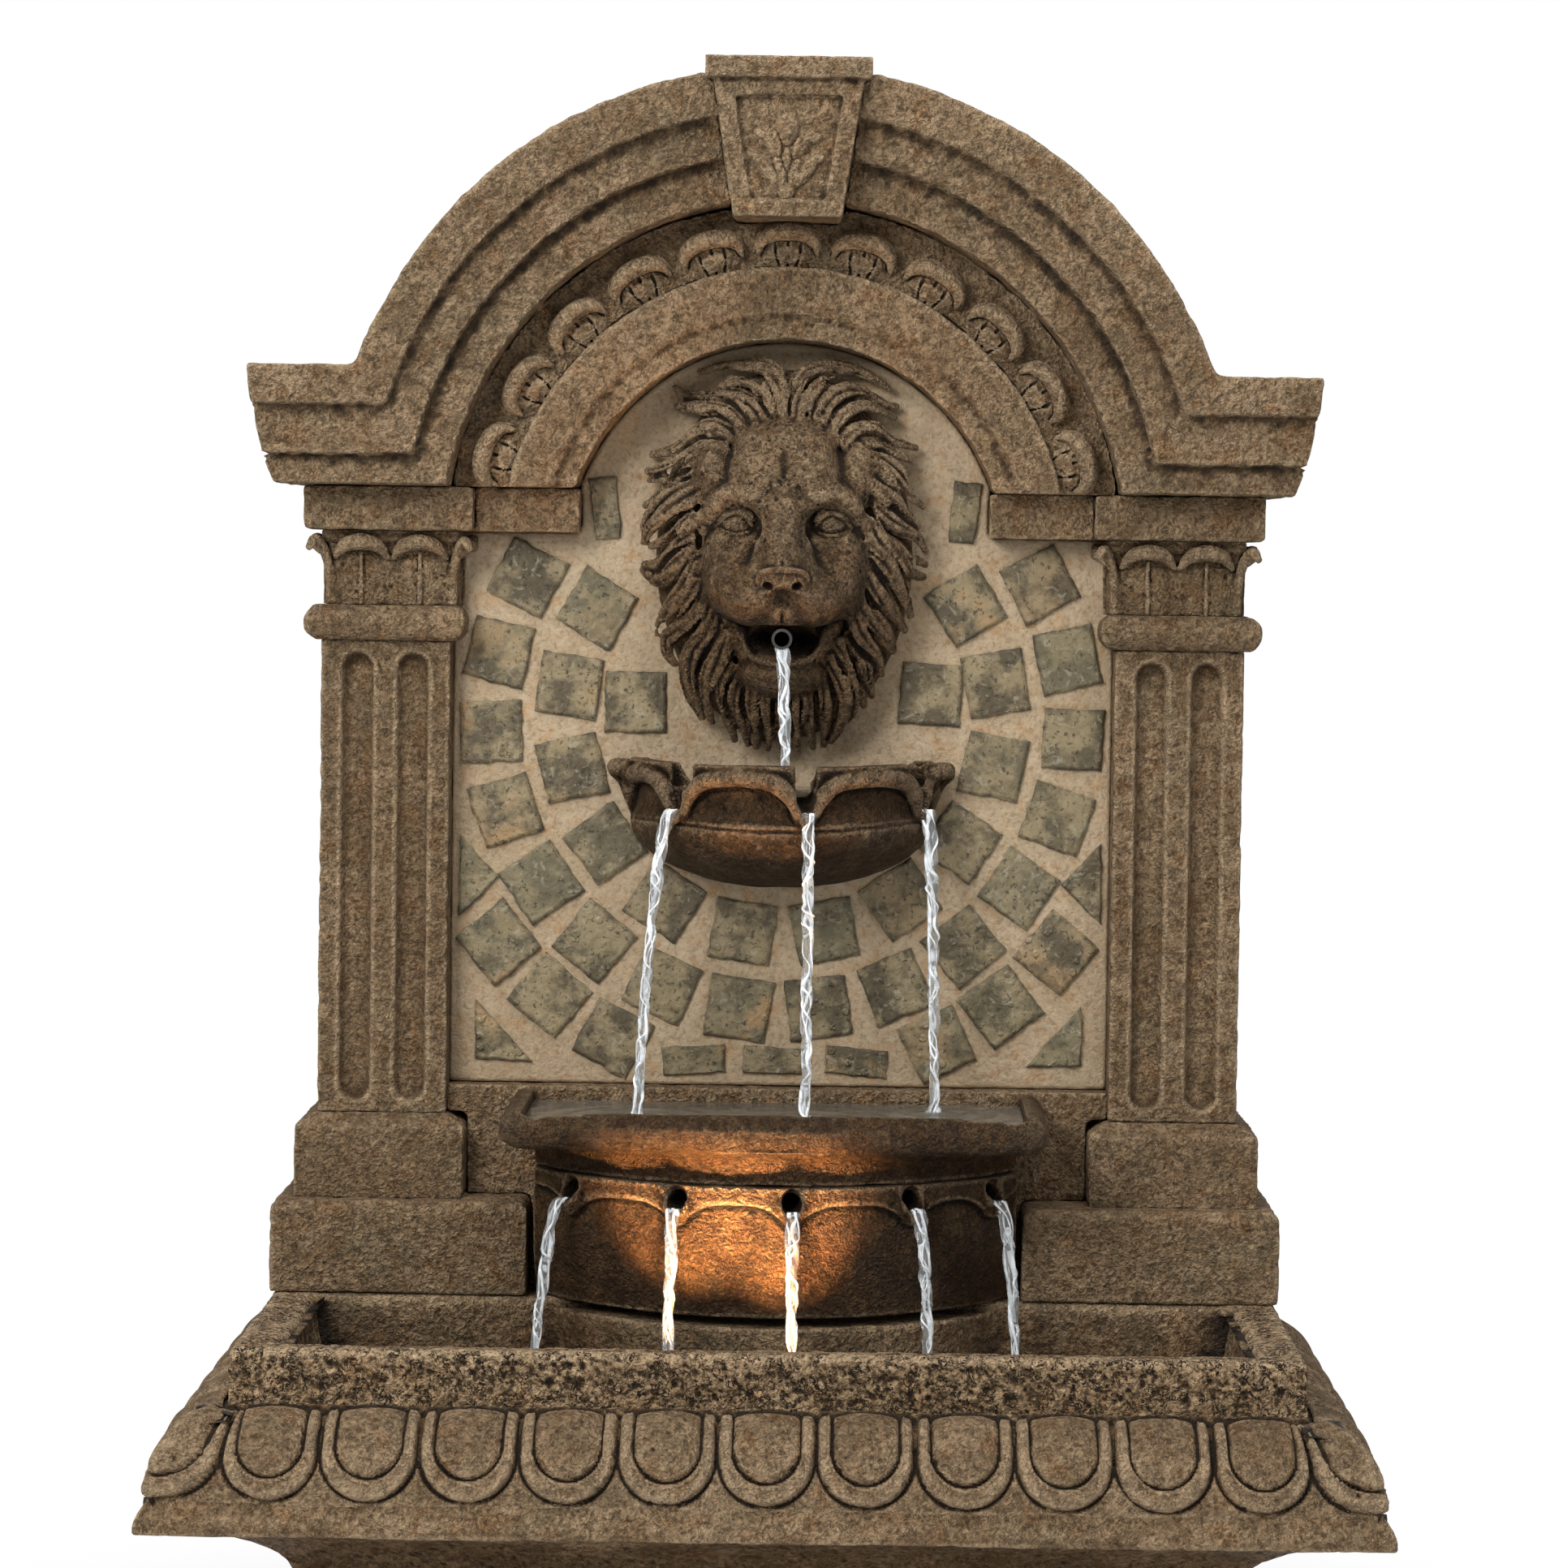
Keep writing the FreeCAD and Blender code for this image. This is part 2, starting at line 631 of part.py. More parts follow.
def makeShaft(side, word):
    x0, x1 = ("Sizes.shaftInner", "Sizes.shaftOuter")
    if side < 0:
        x0, x1 = f"-({x1})", f"-({x0})"
    front = "Sizes.backPlane - Sizes.shaftDepth"
    pillar = block(f"Pillar{word}", x0, x1, front, "Sizes.backPlane", "Places.shaftZ", "Places.shaftTopZ")
    inside = block(f"PillarInside{word}", f"{x0} + Sizes.shaftWall", f"{x1} - Sizes.shaftWall",
                   f"{front} + Sizes.shaftWall", "Sizes.backPlane - Sizes.shaftWall",
                   "Places.shaftZ - 1", "Places.shaftTopZ + 1")
    tools = [inside]
    middle = f"{side} * (Sizes.shaftInner + Sizes.shaftOuter) / 2"
    faces = [(middle, f"{front} - Sizes.fluteRadius + Sizes.fluteSink", "x"),
             (f"{side} * (Sizes.shaftOuter + Sizes.fluteRadius - Sizes.fluteSink)",
              "Sizes.backPlane - Sizes.shaftDepth / 2", "y")]
    for faceIndex, (x, y, direction) in enumerate(faces):
        for step in (-0.5, 0.5):
            name = f"Flute{word}{faceIndex}{'a' if step < 0 else 'b'}"
            fluteX = f"{x} + {step} * Sizes.fluteSpacing" if direction == "x" else x
            fluteY = y if direction == "x" else f"{y} + {step} * Sizes.fluteSpacing * 1.3"
            foot = "Places.shaftZ + Sizes.fluteMargin + Sizes.fluteRadius"
            length = "Sizes.shaftHeight - 2 * Sizes.fluteMargin - 2 * Sizes.fluteRadius"
            tools.append(rod(name, "Sizes.fluteRadius", length, fluteX, fluteY, foot))
            for end, z in (("Foot", foot), ("Head", f"{foot} + {length}")):
                tools.append(ball(f"{name}{end}", "Sizes.fluteRadius", "Sizes.fluteRadius",
                                  "Sizes.fluteRadius", fluteX, fluteY, z))
    subPart(cutFrom(f"Shaft{word}", pillar, tools), f"column_{word}")


# Capital: a flared bell with two broad leaves in front, two on the outer face and curled corner leaves
def makeCapital(side, word):
    back = size("backPlane")
    front = back - size("shaftDepth")
    low = place("neckTopZ")
    top = place("capitalTopZ")
    step = size("capitalStep")
    tall = top - low
    profile = [(-step, low), (-step, low + tall * 0.45), (step * 0.4, low + tall * 0.85), (step, top)]
    bell = stackPiece(f"Capital{word}", side, size("shaftInner"), size("shaftOuter"), front, profile,
                      place("mortarY"))
    leafShapes = []
    middle = (size("shaftInner") + size("shaftOuter")) / 2
    leafWide = 21
    leafThick = 9

    def leaf(x, y, z, halfWidth, halfThick, halfHeight, turn, lean):
        spin = Rotation(Vector(0, 0, 1), turn) * Rotation(Vector(1, 0, 0), lean)
        return ellipsoidShape(halfWidth, halfThick, halfHeight, Vector(x, y, z), spin)

    for offset in (-22, 22):
        leafShapes.append(leaf(side * middle + offset, front - 1, low + tall * 0.5, leafWide, leafThick,
                               tall * 0.47, 0, -8))
    for offset in (36, 84):
        leafShapes.append(leaf(side * (size("shaftOuter") + 1), front + offset, low + tall * 0.5, leafWide,
                               leafThick, tall * 0.47, 90 * side, -8))
    curlZ = low + tall * 0.66
    for x, turn in ((size("shaftOuter") + 2, 45 * side), (size("shaftInner") - 5, -45 * side)):
        leafShapes.append(leaf(side * x, front - 3, curlZ, 14, 10, tall * 0.3, turn, -22))
    leaves = shaped(f"CapitalLeaves{word}", fusedPairs(leafShapes))
    keep = block(f"CapitalKeep{word}", "-Sizes.abacusOuter", "Sizes.abacusOuter",
                 "Sizes.backPlane - Sizes.abacusDepth - 8", "Places.mortarY + 60",
                 "Places.neckTopZ", "Places.capitalTopZ")
    clear = block(f"CapitalClear{word}", "-Sizes.shaftInner", "Sizes.shaftInner", "Places.tileY",
                  "Sizes.backPlane", "Places.neckTopZ - 1", "Places.capitalTopZ + 1")
    trimmed = cutFrom(f"CapitalLeavesTrim{word}", shared(f"CapitalLeavesKept{word}", [leaves, keep]),
                      [clear])
    subPart(joined(f"CapitalWhole{word}", [bell, trimmed]), f"capital_{word}")


def arcCentre(radius):
    return place("archZ") - (size("archRadius") - radius) * size("centreShift")


def disc(name, radiusExpression, y0, y1, shrink="0"):
    centre = f"Places.archZ - (Sizes.archRadius - ({radiusExpression})) * Sizes.centreShift"
    return rod(name, f"{radiusExpression} + ({shrink})", f"({y1}) - ({y0})", 0, y0, centre, alongY)


def aboveSpring(name, pieces):
    limit = block(f"{name}Limit", "-500", "500", "-300", "Sizes.backPlane", "Places.springZ",
                  "Places.keyTopZ + 100")
    return shared(name, [pieces, limit])


# A sketch of straight lines whose every corner is held by two dimensions bound to the sheet
def polygonSketch(body, name, planeRole, corners, numbers):
    sketch = body.newObject("Sketcher::SketchObject", name)
    plane = next(item for item in body.Origin.OriginFeatures if item.Role == planeRole)
    sketch.AttachmentSupport = (plane, "")
    sketch.MapMode = "FlatFace"
    count = len(corners)
    for index in range(count):
        a = Vector(numbers[index][0], numbers[index][1], 0)
        b = Vector(numbers[(index + 1) % count][0], numbers[(index + 1) % count][1], 0)
        sketch.addGeometry(Part.LineSegment(a, b), False)
    for index in range(count):
        sketch.addConstraint(Sketcher.Constraint("Coincident", index, 2, (index + 1) % count, 1))
    for index, (across, up) in enumerate(corners):
        for kind, expression, number in (("DistanceX", across, numbers[index][0]),
                                         ("DistanceY", up, numbers[index][1])):
            which = sketch.addConstraint(Sketcher.Constraint(kind, -1, 1, index, 1, number))
            sketch.setExpression(f"Constraints[{which}]", expression)
    return sketch


def pad(body, name, sketch, length, inward=False):
    feature = body.newObject("PartDesign::Pad", name)
    feature.Profile = sketch
    feature.Reversed = inward
    feature.setExpression("Length", length)
    return feature


def pocket(body, name, sketch, length):
    feature = body.newObject("PartDesign::Pocket", name)
    feature.Profile = sketch
    feature.setExpression("Length", length)
    return feature


# The keystone's tapered body, from its front plane to the wall core
def keystoneBody(name, recessed):
    body = doc.addObject("PartDesign::Body", name)
    topHalf = size("keyBodyTopHalf")
    lowHalf = size("keyBottomHalf")
    low = place("keyBottomZ")
    top = place("keyBodyTopZ")
    corners = [("-Sizes.keyBottomHalf", "Places.keyBottomZ"), ("Sizes.keyBottomHalf", "Places.keyBottomZ"),
               ("Sizes.keyBodyTopHalf", "Places.keyBodyTopZ"), ("-Sizes.keyBodyTopHalf", "Places.keyBodyTopZ")]
    numbers = [(-lowHalf, low), (lowHalf, low), (topHalf, top), (-topHalf, top)]
    outline = polygonSketch(body, f"{name}Outline", "XZ_Plane", corners, numbers)
    pad(body, f"{name}Pad", outline, "Sizes.keyDepth - Sizes.coreDepth", True)
    if recessed:
        frame = size("keyFrame")
        recess = [("-Sizes.keyBottomHalf + Sizes.keyFrame", "Places.keyBottomZ + Sizes.keyFrame"),
                  ("Sizes.keyBottomHalf - Sizes.keyFrame", "Places.keyBottomZ + Sizes.keyFrame"),
                  ("Sizes.keyBodyTopHalf - Sizes.keyFrame * 1.2", "Places.keyBodyTopZ - Sizes.keyFrame"),
                  ("-Sizes.keyBodyTopHalf + Sizes.keyFrame * 1.2", "Places.keyBodyTopZ - Sizes.keyFrame")]
        numbers = [(-lowHalf + frame, low + frame), (lowHalf - frame, low + frame),
                   (topHalf - frame * 1.2, top - frame), (-topHalf + frame * 1.2, top - frame)]
        panel = polygonSketch(body, f"{name}Panel", "XZ_Plane", recess, numbers)
        pocket(body, f"{name}Recess", panel, "Sizes.keyRecess")
    body.setExpression("Placement.Base.y", "Sizes.backPlane - Sizes.keyDepth")
    return body


def makeArch():
    back = "Sizes.backPlane"
    topY = f"{back} - Sizes.topBandDepth"
    middleY = f"{back} - Sizes.middleBandDepth"
    lowY = f"{back} - Sizes.lowBandDepth"
    bands = [
        disc("CorniceDisc", "Sizes.archRadius", topY, back),
        block("TopReturn", "-Sizes.topBandHalf", "Sizes.topBandHalf", topY, back,
              "Places.middleBandTopZ", "Places.corniceTopZ"),
        block("MiddleReturn", "-Sizes.middleBandHalf", "Sizes.middleBandHalf", middleY, back,
              "Places.lowBandTopZ", "Places.middleBandTopZ"),
        block("LowReturn", "-Sizes.lowBandHalf", "Sizes.lowBandHalf", lowY, back,
              "Places.springZ", "Places.lowBandTopZ"),
    ]
    whole = aboveSpring("CorniceWhole", joined("CorniceBands", bands))
    front = f"{topY} - 1"
    middleStep = block("MiddleStep", "-Sizes.topBandHalf - 1", "Sizes.topBandHalf + 1", front, middleY,
                       "Places.springZ - 1", "Places.middleBandTopZ")
    lowStep = block("LowStep", "-Sizes.topBandHalf - 1", "Sizes.topBandHalf + 1", front, lowY,
                    "Places.springZ - 1", "Places.lowBandTopZ")
    tools = [
        middleStep,
        lowStep,
        disc("MiddleArcStep", "Places.middleArcRadius", front, middleY),
        disc("LowArcStep", "Places.lowArcRadius", front, lowY),
        disc("ArchOpening", "Places.friezeRadius", front, "Places.coreY + 1"),
        rod("HoopInside", "Sizes.coreArchRadius + Sizes.hoopGap", f"{back} - Places.coreY + 1", 0,
            "Places.coreY", "Places.archZ - 3", alongY),
        keystoneBody("KeySlotCornice", False),
        block("CapSlot", "-Sizes.keyTopHalf", "Sizes.keyTopHalf", f"{back} - Sizes.keyCapDepth - 1",
              "Places.coreY", "Places.keyBodyTopZ", "Places.keyTopZ + 1"),
    ]
    for side in (-1, 1):
        tools.append(rod(f"NutPocket{side + 1}", "Sizes.tieNutRadius + 4", "Sizes.tieNutHeight + 16",
                         f"{side} * Sizes.tieRodX", "Places.tieRodY", "Places.springZ - 1"))
    subPart(cutFrom("ArchCornice", whole, tools), "arch_cornice")

    friezeDisc = disc("FriezeDisc", "Places.friezeRadius", f"{back} - Sizes.friezeDepth", "Places.coreY",
                      "-Sizes.seamGap")
    friezeHole = disc("FriezeHole", "Places.ringRadius", f"{back} - Sizes.friezeDepth - 1",
                      "Places.coreY + 1", "Sizes.seamGap")
    frieze = aboveSpring("FriezeBand", cutFrom("FriezeRing", friezeDisc, [friezeHole]))
    subPart(cutFrom("ArchFrieze", frieze, [keystoneBody("KeySlotFrieze", False)]), "arch_frieze")
    makeFriezeLeaves()

    ringY = f"{back} - Sizes.ringDepth"
    ringDisc = disc("RingDisc", "Places.ringRadius", ringY, "Places.coreY")
    ringHole = disc("RingHole", "Places.nicheRadius", f"{ringY} - 1", "Places.coreY + 1")
    ringStep = disc("RingStep", "Places.ringStepRadius", f"{ringY} - 1", f"{ringY} + Sizes.ringStepSink")
    subPart(aboveSpring("ArchRing", cutFrom("RingBand", ringDisc, [ringHole, ringStep])), "arch_ring")


def makeFriezeLeaves():
    faceY = size("backPlane") - size("friezeDepth")
    radius = size("leafRadius")
    centre = arcCentre(radius)
    front = Part.makeBox(800, 60, 400, Vector(-400, faceY - 60 - size("bedGap"),
                                              place("springZ") + size("seamGap")))
    hoods = []
    count = int(size("leafCount"))
    for index in range(count):
        angle = 90 + (index - (count - 1) / 2) * size("leafPitch")
        x = radius * math.cos(math.radians(angle))
        z = centre + radius * math.sin(math.radians(angle))
        hood = ellipsoidShape(size("leafHalfWidth"), size("leafProud"), size("leafHalfLength"),
                              Vector(x, faceY, z), Rotation(Vector(0, 1, 0), 90 - angle))
        hoods.append(hood.common(front))
    subPart(shaped("FriezeLeaves", Part.makeCompound(hoods)), "frieze_leaves")


def makeKeystone():
    body = keystoneBody("KeystoneBody", True)
    cap = block("KeystoneCap", "-Sizes.keyTopHalf", "Sizes.keyTopHalf", "Sizes.backPlane - Sizes.keyCapDepth",
                "Places.coreY", "Places.keyBodyTopZ", "Places.keyTopZ")
    subPart(joined("Keystone", [body, cap]), "keystone")
    panelY = "Sizes.backPlane - Sizes.keyDepth + Sizes.keyRecess"
    middleZ = "(Places.keyBottomZ + Places.keyBodyTopZ) / 2"
    petals = [ball("BudHeart", 9, 7, 19, 0, panelY, f"{middleZ} + 12")]
    for side in (-1, 1):
        petals.append(ball(f"BudLeafHigh{side + 1}", 6, 5, 17, f"{side * 13}", panelY, f"{middleZ} + 4",
                           Rotation(Vector(0, 1, 0), side * 28)))
        petals.append(ball(f"BudLeafLow{side + 1}", 6, 5, 16, f"{side * 10}", panelY, f"{middleZ} - 18",
                           Rotation(Vector(0, 1, 0), side * 48)))
    petals.append(ball("BudStem", 4, 4, 17, 0, panelY, f"{middleZ} - 20"))
    front = block("BudLimit", "-Sizes.keyTopHalf", "Sizes.keyTopHalf", "Sizes.backPlane - Sizes.keyDepth - 20",
                  f"{panelY} - Sizes.bedGap", "Places.keyBottomZ", "Places.keyTopZ")
    subPart(shared("KeystoneBud", [joined("BudPetals", petals), front]), "keystone_bud")


# Wall core: the hollow casting behind the mortar, open at its back and foot
def makeCore():
    half = "Sizes.shaftInner"
    body = block("CoreBody", f"-{half}", half, "Places.coreY", "Places.coreBackY", "Places.rimZ",
                 "Places.springZ")
    centre = "Places.archZ - 3"
    depth = "Places.coreBackY - Places.coreY"
    arch = aboveSpring("CoreArch", rod("CoreDisc", "Sizes.coreArchRadius", depth, 0, "Places.coreY",
                                       centre, alongY))
    inside = block("CoreInside", f"-{half} + Sizes.coreSkin", f"{half} - Sizes.coreSkin",
                   "Places.coreInnerY", "Places.coreBackY + 1", "Places.rimZ - 1",
                   "Places.springZ + Sizes.coreSkin")
    archInside = shared("CoreArchInside", [
        rod("CoreDiscInside", "Sizes.coreArchRadius - Sizes.coreSkin", depth, 0, "Places.coreInnerY",
            centre, alongY),
        block("CoreArchFloor", "-400", "400", "Places.coreY", "Sizes.backPlane",
              "Places.springZ + Sizes.coreSkin", "Places.keyTopZ + 10")])
    nozzleHole = rod("CoreNozzleHole", "Sizes.nozzleRadius + Sizes.seamGap", "60", 0,
                     "Places.coreY - 1", "Sizes.nozzleZ", alongY)
    tools = [inside, archInside, nozzleHole]
    for index, (x, z) in enumerate(panelScrewPlaces()):
        tools.append(rod(f"CoreScrewHole{index}", "Sizes.screwRadius + Sizes.runningGap",
                         "Sizes.screwLength", x, "Places.coreBackY - Sizes.screwLength + 1", z, alongY))
    subPart(cutFrom("WallCore", joined("CoreCasting", [body, arch]), tools), "wall_core")

    bed = block("BedPanel", f"-{half}", half, "Places.mortarY", "Places.coreY", "Places.sillTopZ",
                "Places.capitalTopZ")
    throat = block("BedThroat", "-Sizes.impostInner", "Sizes.impostInner", "Places.mortarY", "Places.coreY",
                   "Places.capitalTopZ", "Places.springZ")
    niche = aboveSpring("BedNiche", disc("BedDisc", "Places.nicheRadius", "Places.mortarY", "Places.coreY",
                                         "-Sizes.seamGap"))
    bedHole = rod("BedNozzleHole", "Sizes.nozzleRadius + Sizes.seamGap", "60", 0, "Places.mortarY - 1",
                  "Sizes.nozzleZ", alongY)
    subPart(cutFrom("MortarBed", joined("BedWhole", [bed, throat, niche]), [bedHole]), "mortar_bed")

    low = block("SillLow", "-Sizes.lowerBlockInner", "Sizes.lowerBlockInner", "Places.sillY", "Places.coreY",
                "Places.rimZ", "Places.lowerTopZ")
    upper = "Sizes.shaftInner - Sizes.upperBlockStep"
    middle = block("SillMiddle", f"-({upper})", upper, "Places.sillY", "Places.coreY", "Places.lowerTopZ",
                   "Places.shaftZ")
    high = block("SillHigh", f"-{half}", half, "Places.sillY", "Places.coreY", "Places.shaftZ",
                 "Places.sillTopZ")
    subPart(joined("SillCourse", [low, middle, high]), "sill_course")


def panelScrewPlaces():
    edge = "Sizes.shaftInner - Sizes.coreSkin / 2"
    spots = []
    for side in ("-", ""):
        for share in (0.1, 0.4, 0.7, 0.95):
            spots.append((f"{side}({edge})", f"Places.rimZ + {share} * (Places.springZ - Places.rimZ)"))
    ring = "(Sizes.coreArchRadius - Sizes.coreSkin / 2)"
    for angle in (40, 90, 140):
        spots.append((f"{ring} * cos({angle})", f"Places.archZ - 3 + {ring} * sin({angle})"))
    return spots


# The rear panel closes the wall core, with a hinged door to the pump and screws round its edge
def makeBack():
    half = "Sizes.shaftInner"
    panelY = "Places.coreBackY"
    plate = block("PanelPlate", f"-{half}", half, panelY, "Sizes.backPlane", "Places.rimZ", "Places.springZ")
    archPlate = aboveSpring("PanelArch", rod("PanelDisc", "Sizes.coreArchRadius", "Sizes.panelThick", 0,
                                             panelY, "Places.archZ - 3", alongY))
    doorway = block("Doorway", "-Sizes.doorHalfWidth - Sizes.hingeGap", "Sizes.doorHalfWidth + Sizes.doorGap",
                    f"{panelY} - 1", "Sizes.backPlane + 1", "Places.doorZ - Sizes.doorGap",
                    "Places.doorTopZ + Sizes.doorGap")
    tools = [doorway]
    heads = []
    for index, (x, z) in enumerate(panelScrewPlaces()):
        tools.append(rod(f"PanelScrewHole{index}", "Sizes.screwRadius + Sizes.runningGap", "40", x,
                         f"{panelY} - 1", z, alongY))
        tools.append(rod(f"PanelHeadSink{index}", "Sizes.screwHeadRadius + Sizes.seamGap", "10", x,
                         "Sizes.backPlane - Sizes.screwHeadHeight", z, alongY))
        shank = rod(f"ScrewShank{index}", "Sizes.screwRadius", "Sizes.screwLength - 1", x,
                    "Sizes.backPlane - Sizes.screwHeadHeight - Sizes.screwLength + 1", z, alongY)
        head = rod(f"ScrewHead{index}", "Sizes.screwHeadRadius", "Sizes.screwHeadHeight", x,
                   "Sizes.backPlane - Sizes.screwHeadHeight", z, alongY)
        heads.append(joined(f"PanelScrew{index}", [shank, head]))
    hingeX = "-Sizes.doorHalfWidth + Sizes.panelThick / 2"
    hingeY = "Sizes.backPlane - Sizes.panelThick / 2"
    pins = []
    doorHoles = []
    for word, z in (("Low", "Places.doorZ"), ("High", "Places.doorTopZ")):
        start = f"{z} - Sizes.hingePinLength / 2"
        pins.append(rod(f"HingePin{word}", "Sizes.hingePinRadius", "Sizes.hingePinLength", hingeX, hingeY,
                        start))
        tools.append(rod(f"PanelPinHole{word}", "Sizes.hingePinRadius", "Sizes.hingePinLength", hingeX,
                         hingeY, start))
        doorHoles.append(rod(f"DoorPinHole{word}", "Sizes.hingePinRadius + Sizes.runningGap",
                             "Sizes.hingePinLength + 1", hingeX, hingeY, f"{start} - 0.5"))
    subPart(cutFrom("BackPanel", joined("PanelWhole", [plate, archPlate]), tools), "back_panel")
    subPart(grouped("PanelScrews", heads), "panel_screws")
    subPart(grouped("HingePins", pins), "door_hinge_pins")
    door = block("DoorPlate", "-Sizes.doorHalfWidth", "Sizes.doorHalfWidth", panelY, "Sizes.backPlane",
                 "Places.doorZ", "Places.doorTopZ")
    grip = rod("DoorGrip", "14", "Sizes.panelThick / 2 + 1", "Sizes.doorHalfWidth - 28",
               "Sizes.backPlane - Sizes.panelThick / 2", "(Places.doorZ + Places.doorTopZ) / 2", alongY)
    subPart(cutFrom("AccessDoor", door, doorHoles + [grip]), "access_door")


def tileShape(width, height, x, z, turn):
    y = place("tileY")
    thick = size("tileThick")
    tile = Part.makeBox(width, thick, height, Vector(-width / 2, 0, -height / 2))
    tile.Placement = Placement(Vector(x, y, z), Rotation(Vector(0, 1, 0), turn))
    return tile


def ringTiles(radius, angles):
    side = size("tileSide")
    centre = size("tileCentreZ")
    tiles = []
    for angle in angles:
        x = radius * math.cos(math.radians(angle))
        z = centre + radius * math.sin(math.radians(angle))
        tiles.append(tileShape(side, side, x, z, 90 - angle))
    return tiles


def cornerTile(points):
    y = place("tileY")
    corners = [Vector(x, y, z) for x, z in points]
    return Part.Face(Part.makePolygon(corners + corners[:1])).extrude(Vector(0, size("tileThick"), 0))


# Slate tiles laid in rings round the lion, flush on the mortar's face
def makeTiles():
    outerStep = 15.8
    outerAngles = [270 + outerStep * (index + 0.5) for index in range(-8, 8)]
    subPart(shaped("OuterTiles", Part.makeCompound(ringTiles(size("outerTileRing"), outerAngles))),
            "slate_tiles_outer_ring")
    innerStep = 22.1
    innerAngles = [149.5 + innerStep * index for index in range(12)]
    inner = ringTiles(size("innerTileRing"), innerAngles)
    narrow = 20
    tall = 45
    cheekX = 133
    cheekZ = 971
    inner += [tileShape(narrow, tall, -cheekX, cheekZ, -6), tileShape(narrow, tall, cheekX, cheekZ, 6)]
    inner += [tileShape(size("tileSide"), size("tileSide"), -109, 827, 0),
              tileShape(size("tileSide"), size("tileSide"), 110, 836, 4)]
    subPart(shaped("InnerTiles", Part.makeCompound(inner)), "slate_tiles_inner_ring")
    lower = ringTiles(size("edgeTileRing"), (218.9, 230.6, 242.7, 296.2, 308, 320.4))
    stripZ = size("tileCentreZ") - 255
    for x, turn in ((-63, -4), (-3, 2), (58, 5)):
        lower.append(tileShape(46, 20, x, stripZ, turn))
    subPart(shaped("LowerTiles", Part.makeCompound(lower)), "slate_tiles_lower")
    edge = size("shaftInner") - 6
    centre = size("tileCentreZ")
    chips = []
    for side in (-1, 1):
        chips.append(cornerTile([(side * edge, centre - 89), (side * edge, centre - 150),
                                 (side * (edge - 30), centre - 120)]))
        chips.append(cornerTile([(side * (edge - 13), centre - 212), (side * (edge - 13), centre - 257),
                                 (side * (edge - 55), centre - 257)]))
    subPart(shaped("EdgeTiles", Part.makeCompound(chips)), "slate_tiles_edge")


# Lion mask: rounded forms for skull, brow, cheeks, muzzle and jaw, ringed by locks that point outwards
def makeLion():
    face = place("mortarY")
    level = size("lionZ")
    reach = size("shaftInner")
    keep = Part.makeBox(2 * reach, 200, 400, Vector(-reach, face - 200, size("bowlTop") + 3))

    def form(halfX, halfY, halfZ, x, forward, up, turn=0):
        spin = Rotation(Vector(0, 1, 0), turn)
        return ellipsoidShape(halfX, halfY, halfZ, Vector(x, face - forward, level + up), spin).common(keep)

    forms = [
        form(72, 50, 94, 0, 0, 14),
        form(48, 28, 42, 0, 36, 56),
        form(17, 24, 52, 0, 56, 10),
        form(19, 14, 13, 0, 84, -18),
        form(42, 44, 34, 0, 50, -30),
        form(28, 26, 20, 0, 36, -88),
    ]
    for side in (-1, 1):
        forms.append(form(26, 22, 17, side * 34, 50, 40, -14 * side))
        forms.append(form(13, 9, 9, side * 35, 56, 22))
        forms.append(form(27, 26, 32, side * 46, 34, -12))
        forms.append(form(14, 22, 34, side * 38, 30, -62, 12 * side))
    lockTips = [(0, 146), (31, 142), (59, 133), (84, 115), (101, 83), (108, 47), (109, 10), (102, -26),
                (92, -58), (75, -95)]
    lockLength = 37
    for index, (tipX, tipUp) in enumerate(lockTips):
        distance = math.hypot(tipX, tipUp)
        inwards = (distance - lockLength) / distance
        turn = math.degrees(math.atan2(tipX, tipUp))
        for side in (-1, 1):
            if tipX == 0 and side > 0:
                continue
            forms.append(form(16, 27 - index % 2 * 4, lockLength, side * tipX * inwards, 3,
                              tipUp * inwards, side * turn))
    for x, up, turn in ((-52, -104, 20), (-32, -115, 8), (-11, -119, 2), (11, -119, -2), (32, -115, -8),
                        (52, -104, -20)):
        forms.append(form(13, 25, 33, x, 3, up, turn))
    mask = shaped("LionForms", fusedPairs(forms))
    mouth = ball("LionMouth", 31, 40, 12, 0, "Places.mortarY - 62", "Sizes.lionZ - 69")
    throat = rod("LionThroat", "Sizes.nozzleRadius + Sizes.seamGap", "Sizes.nozzleReach", 0,
                 "Places.mortarY - 130", "Sizes.nozzleZ", alongY)
    subPart(cutFrom("LionMask", mask, [mouth, throat]), "lion_mask")


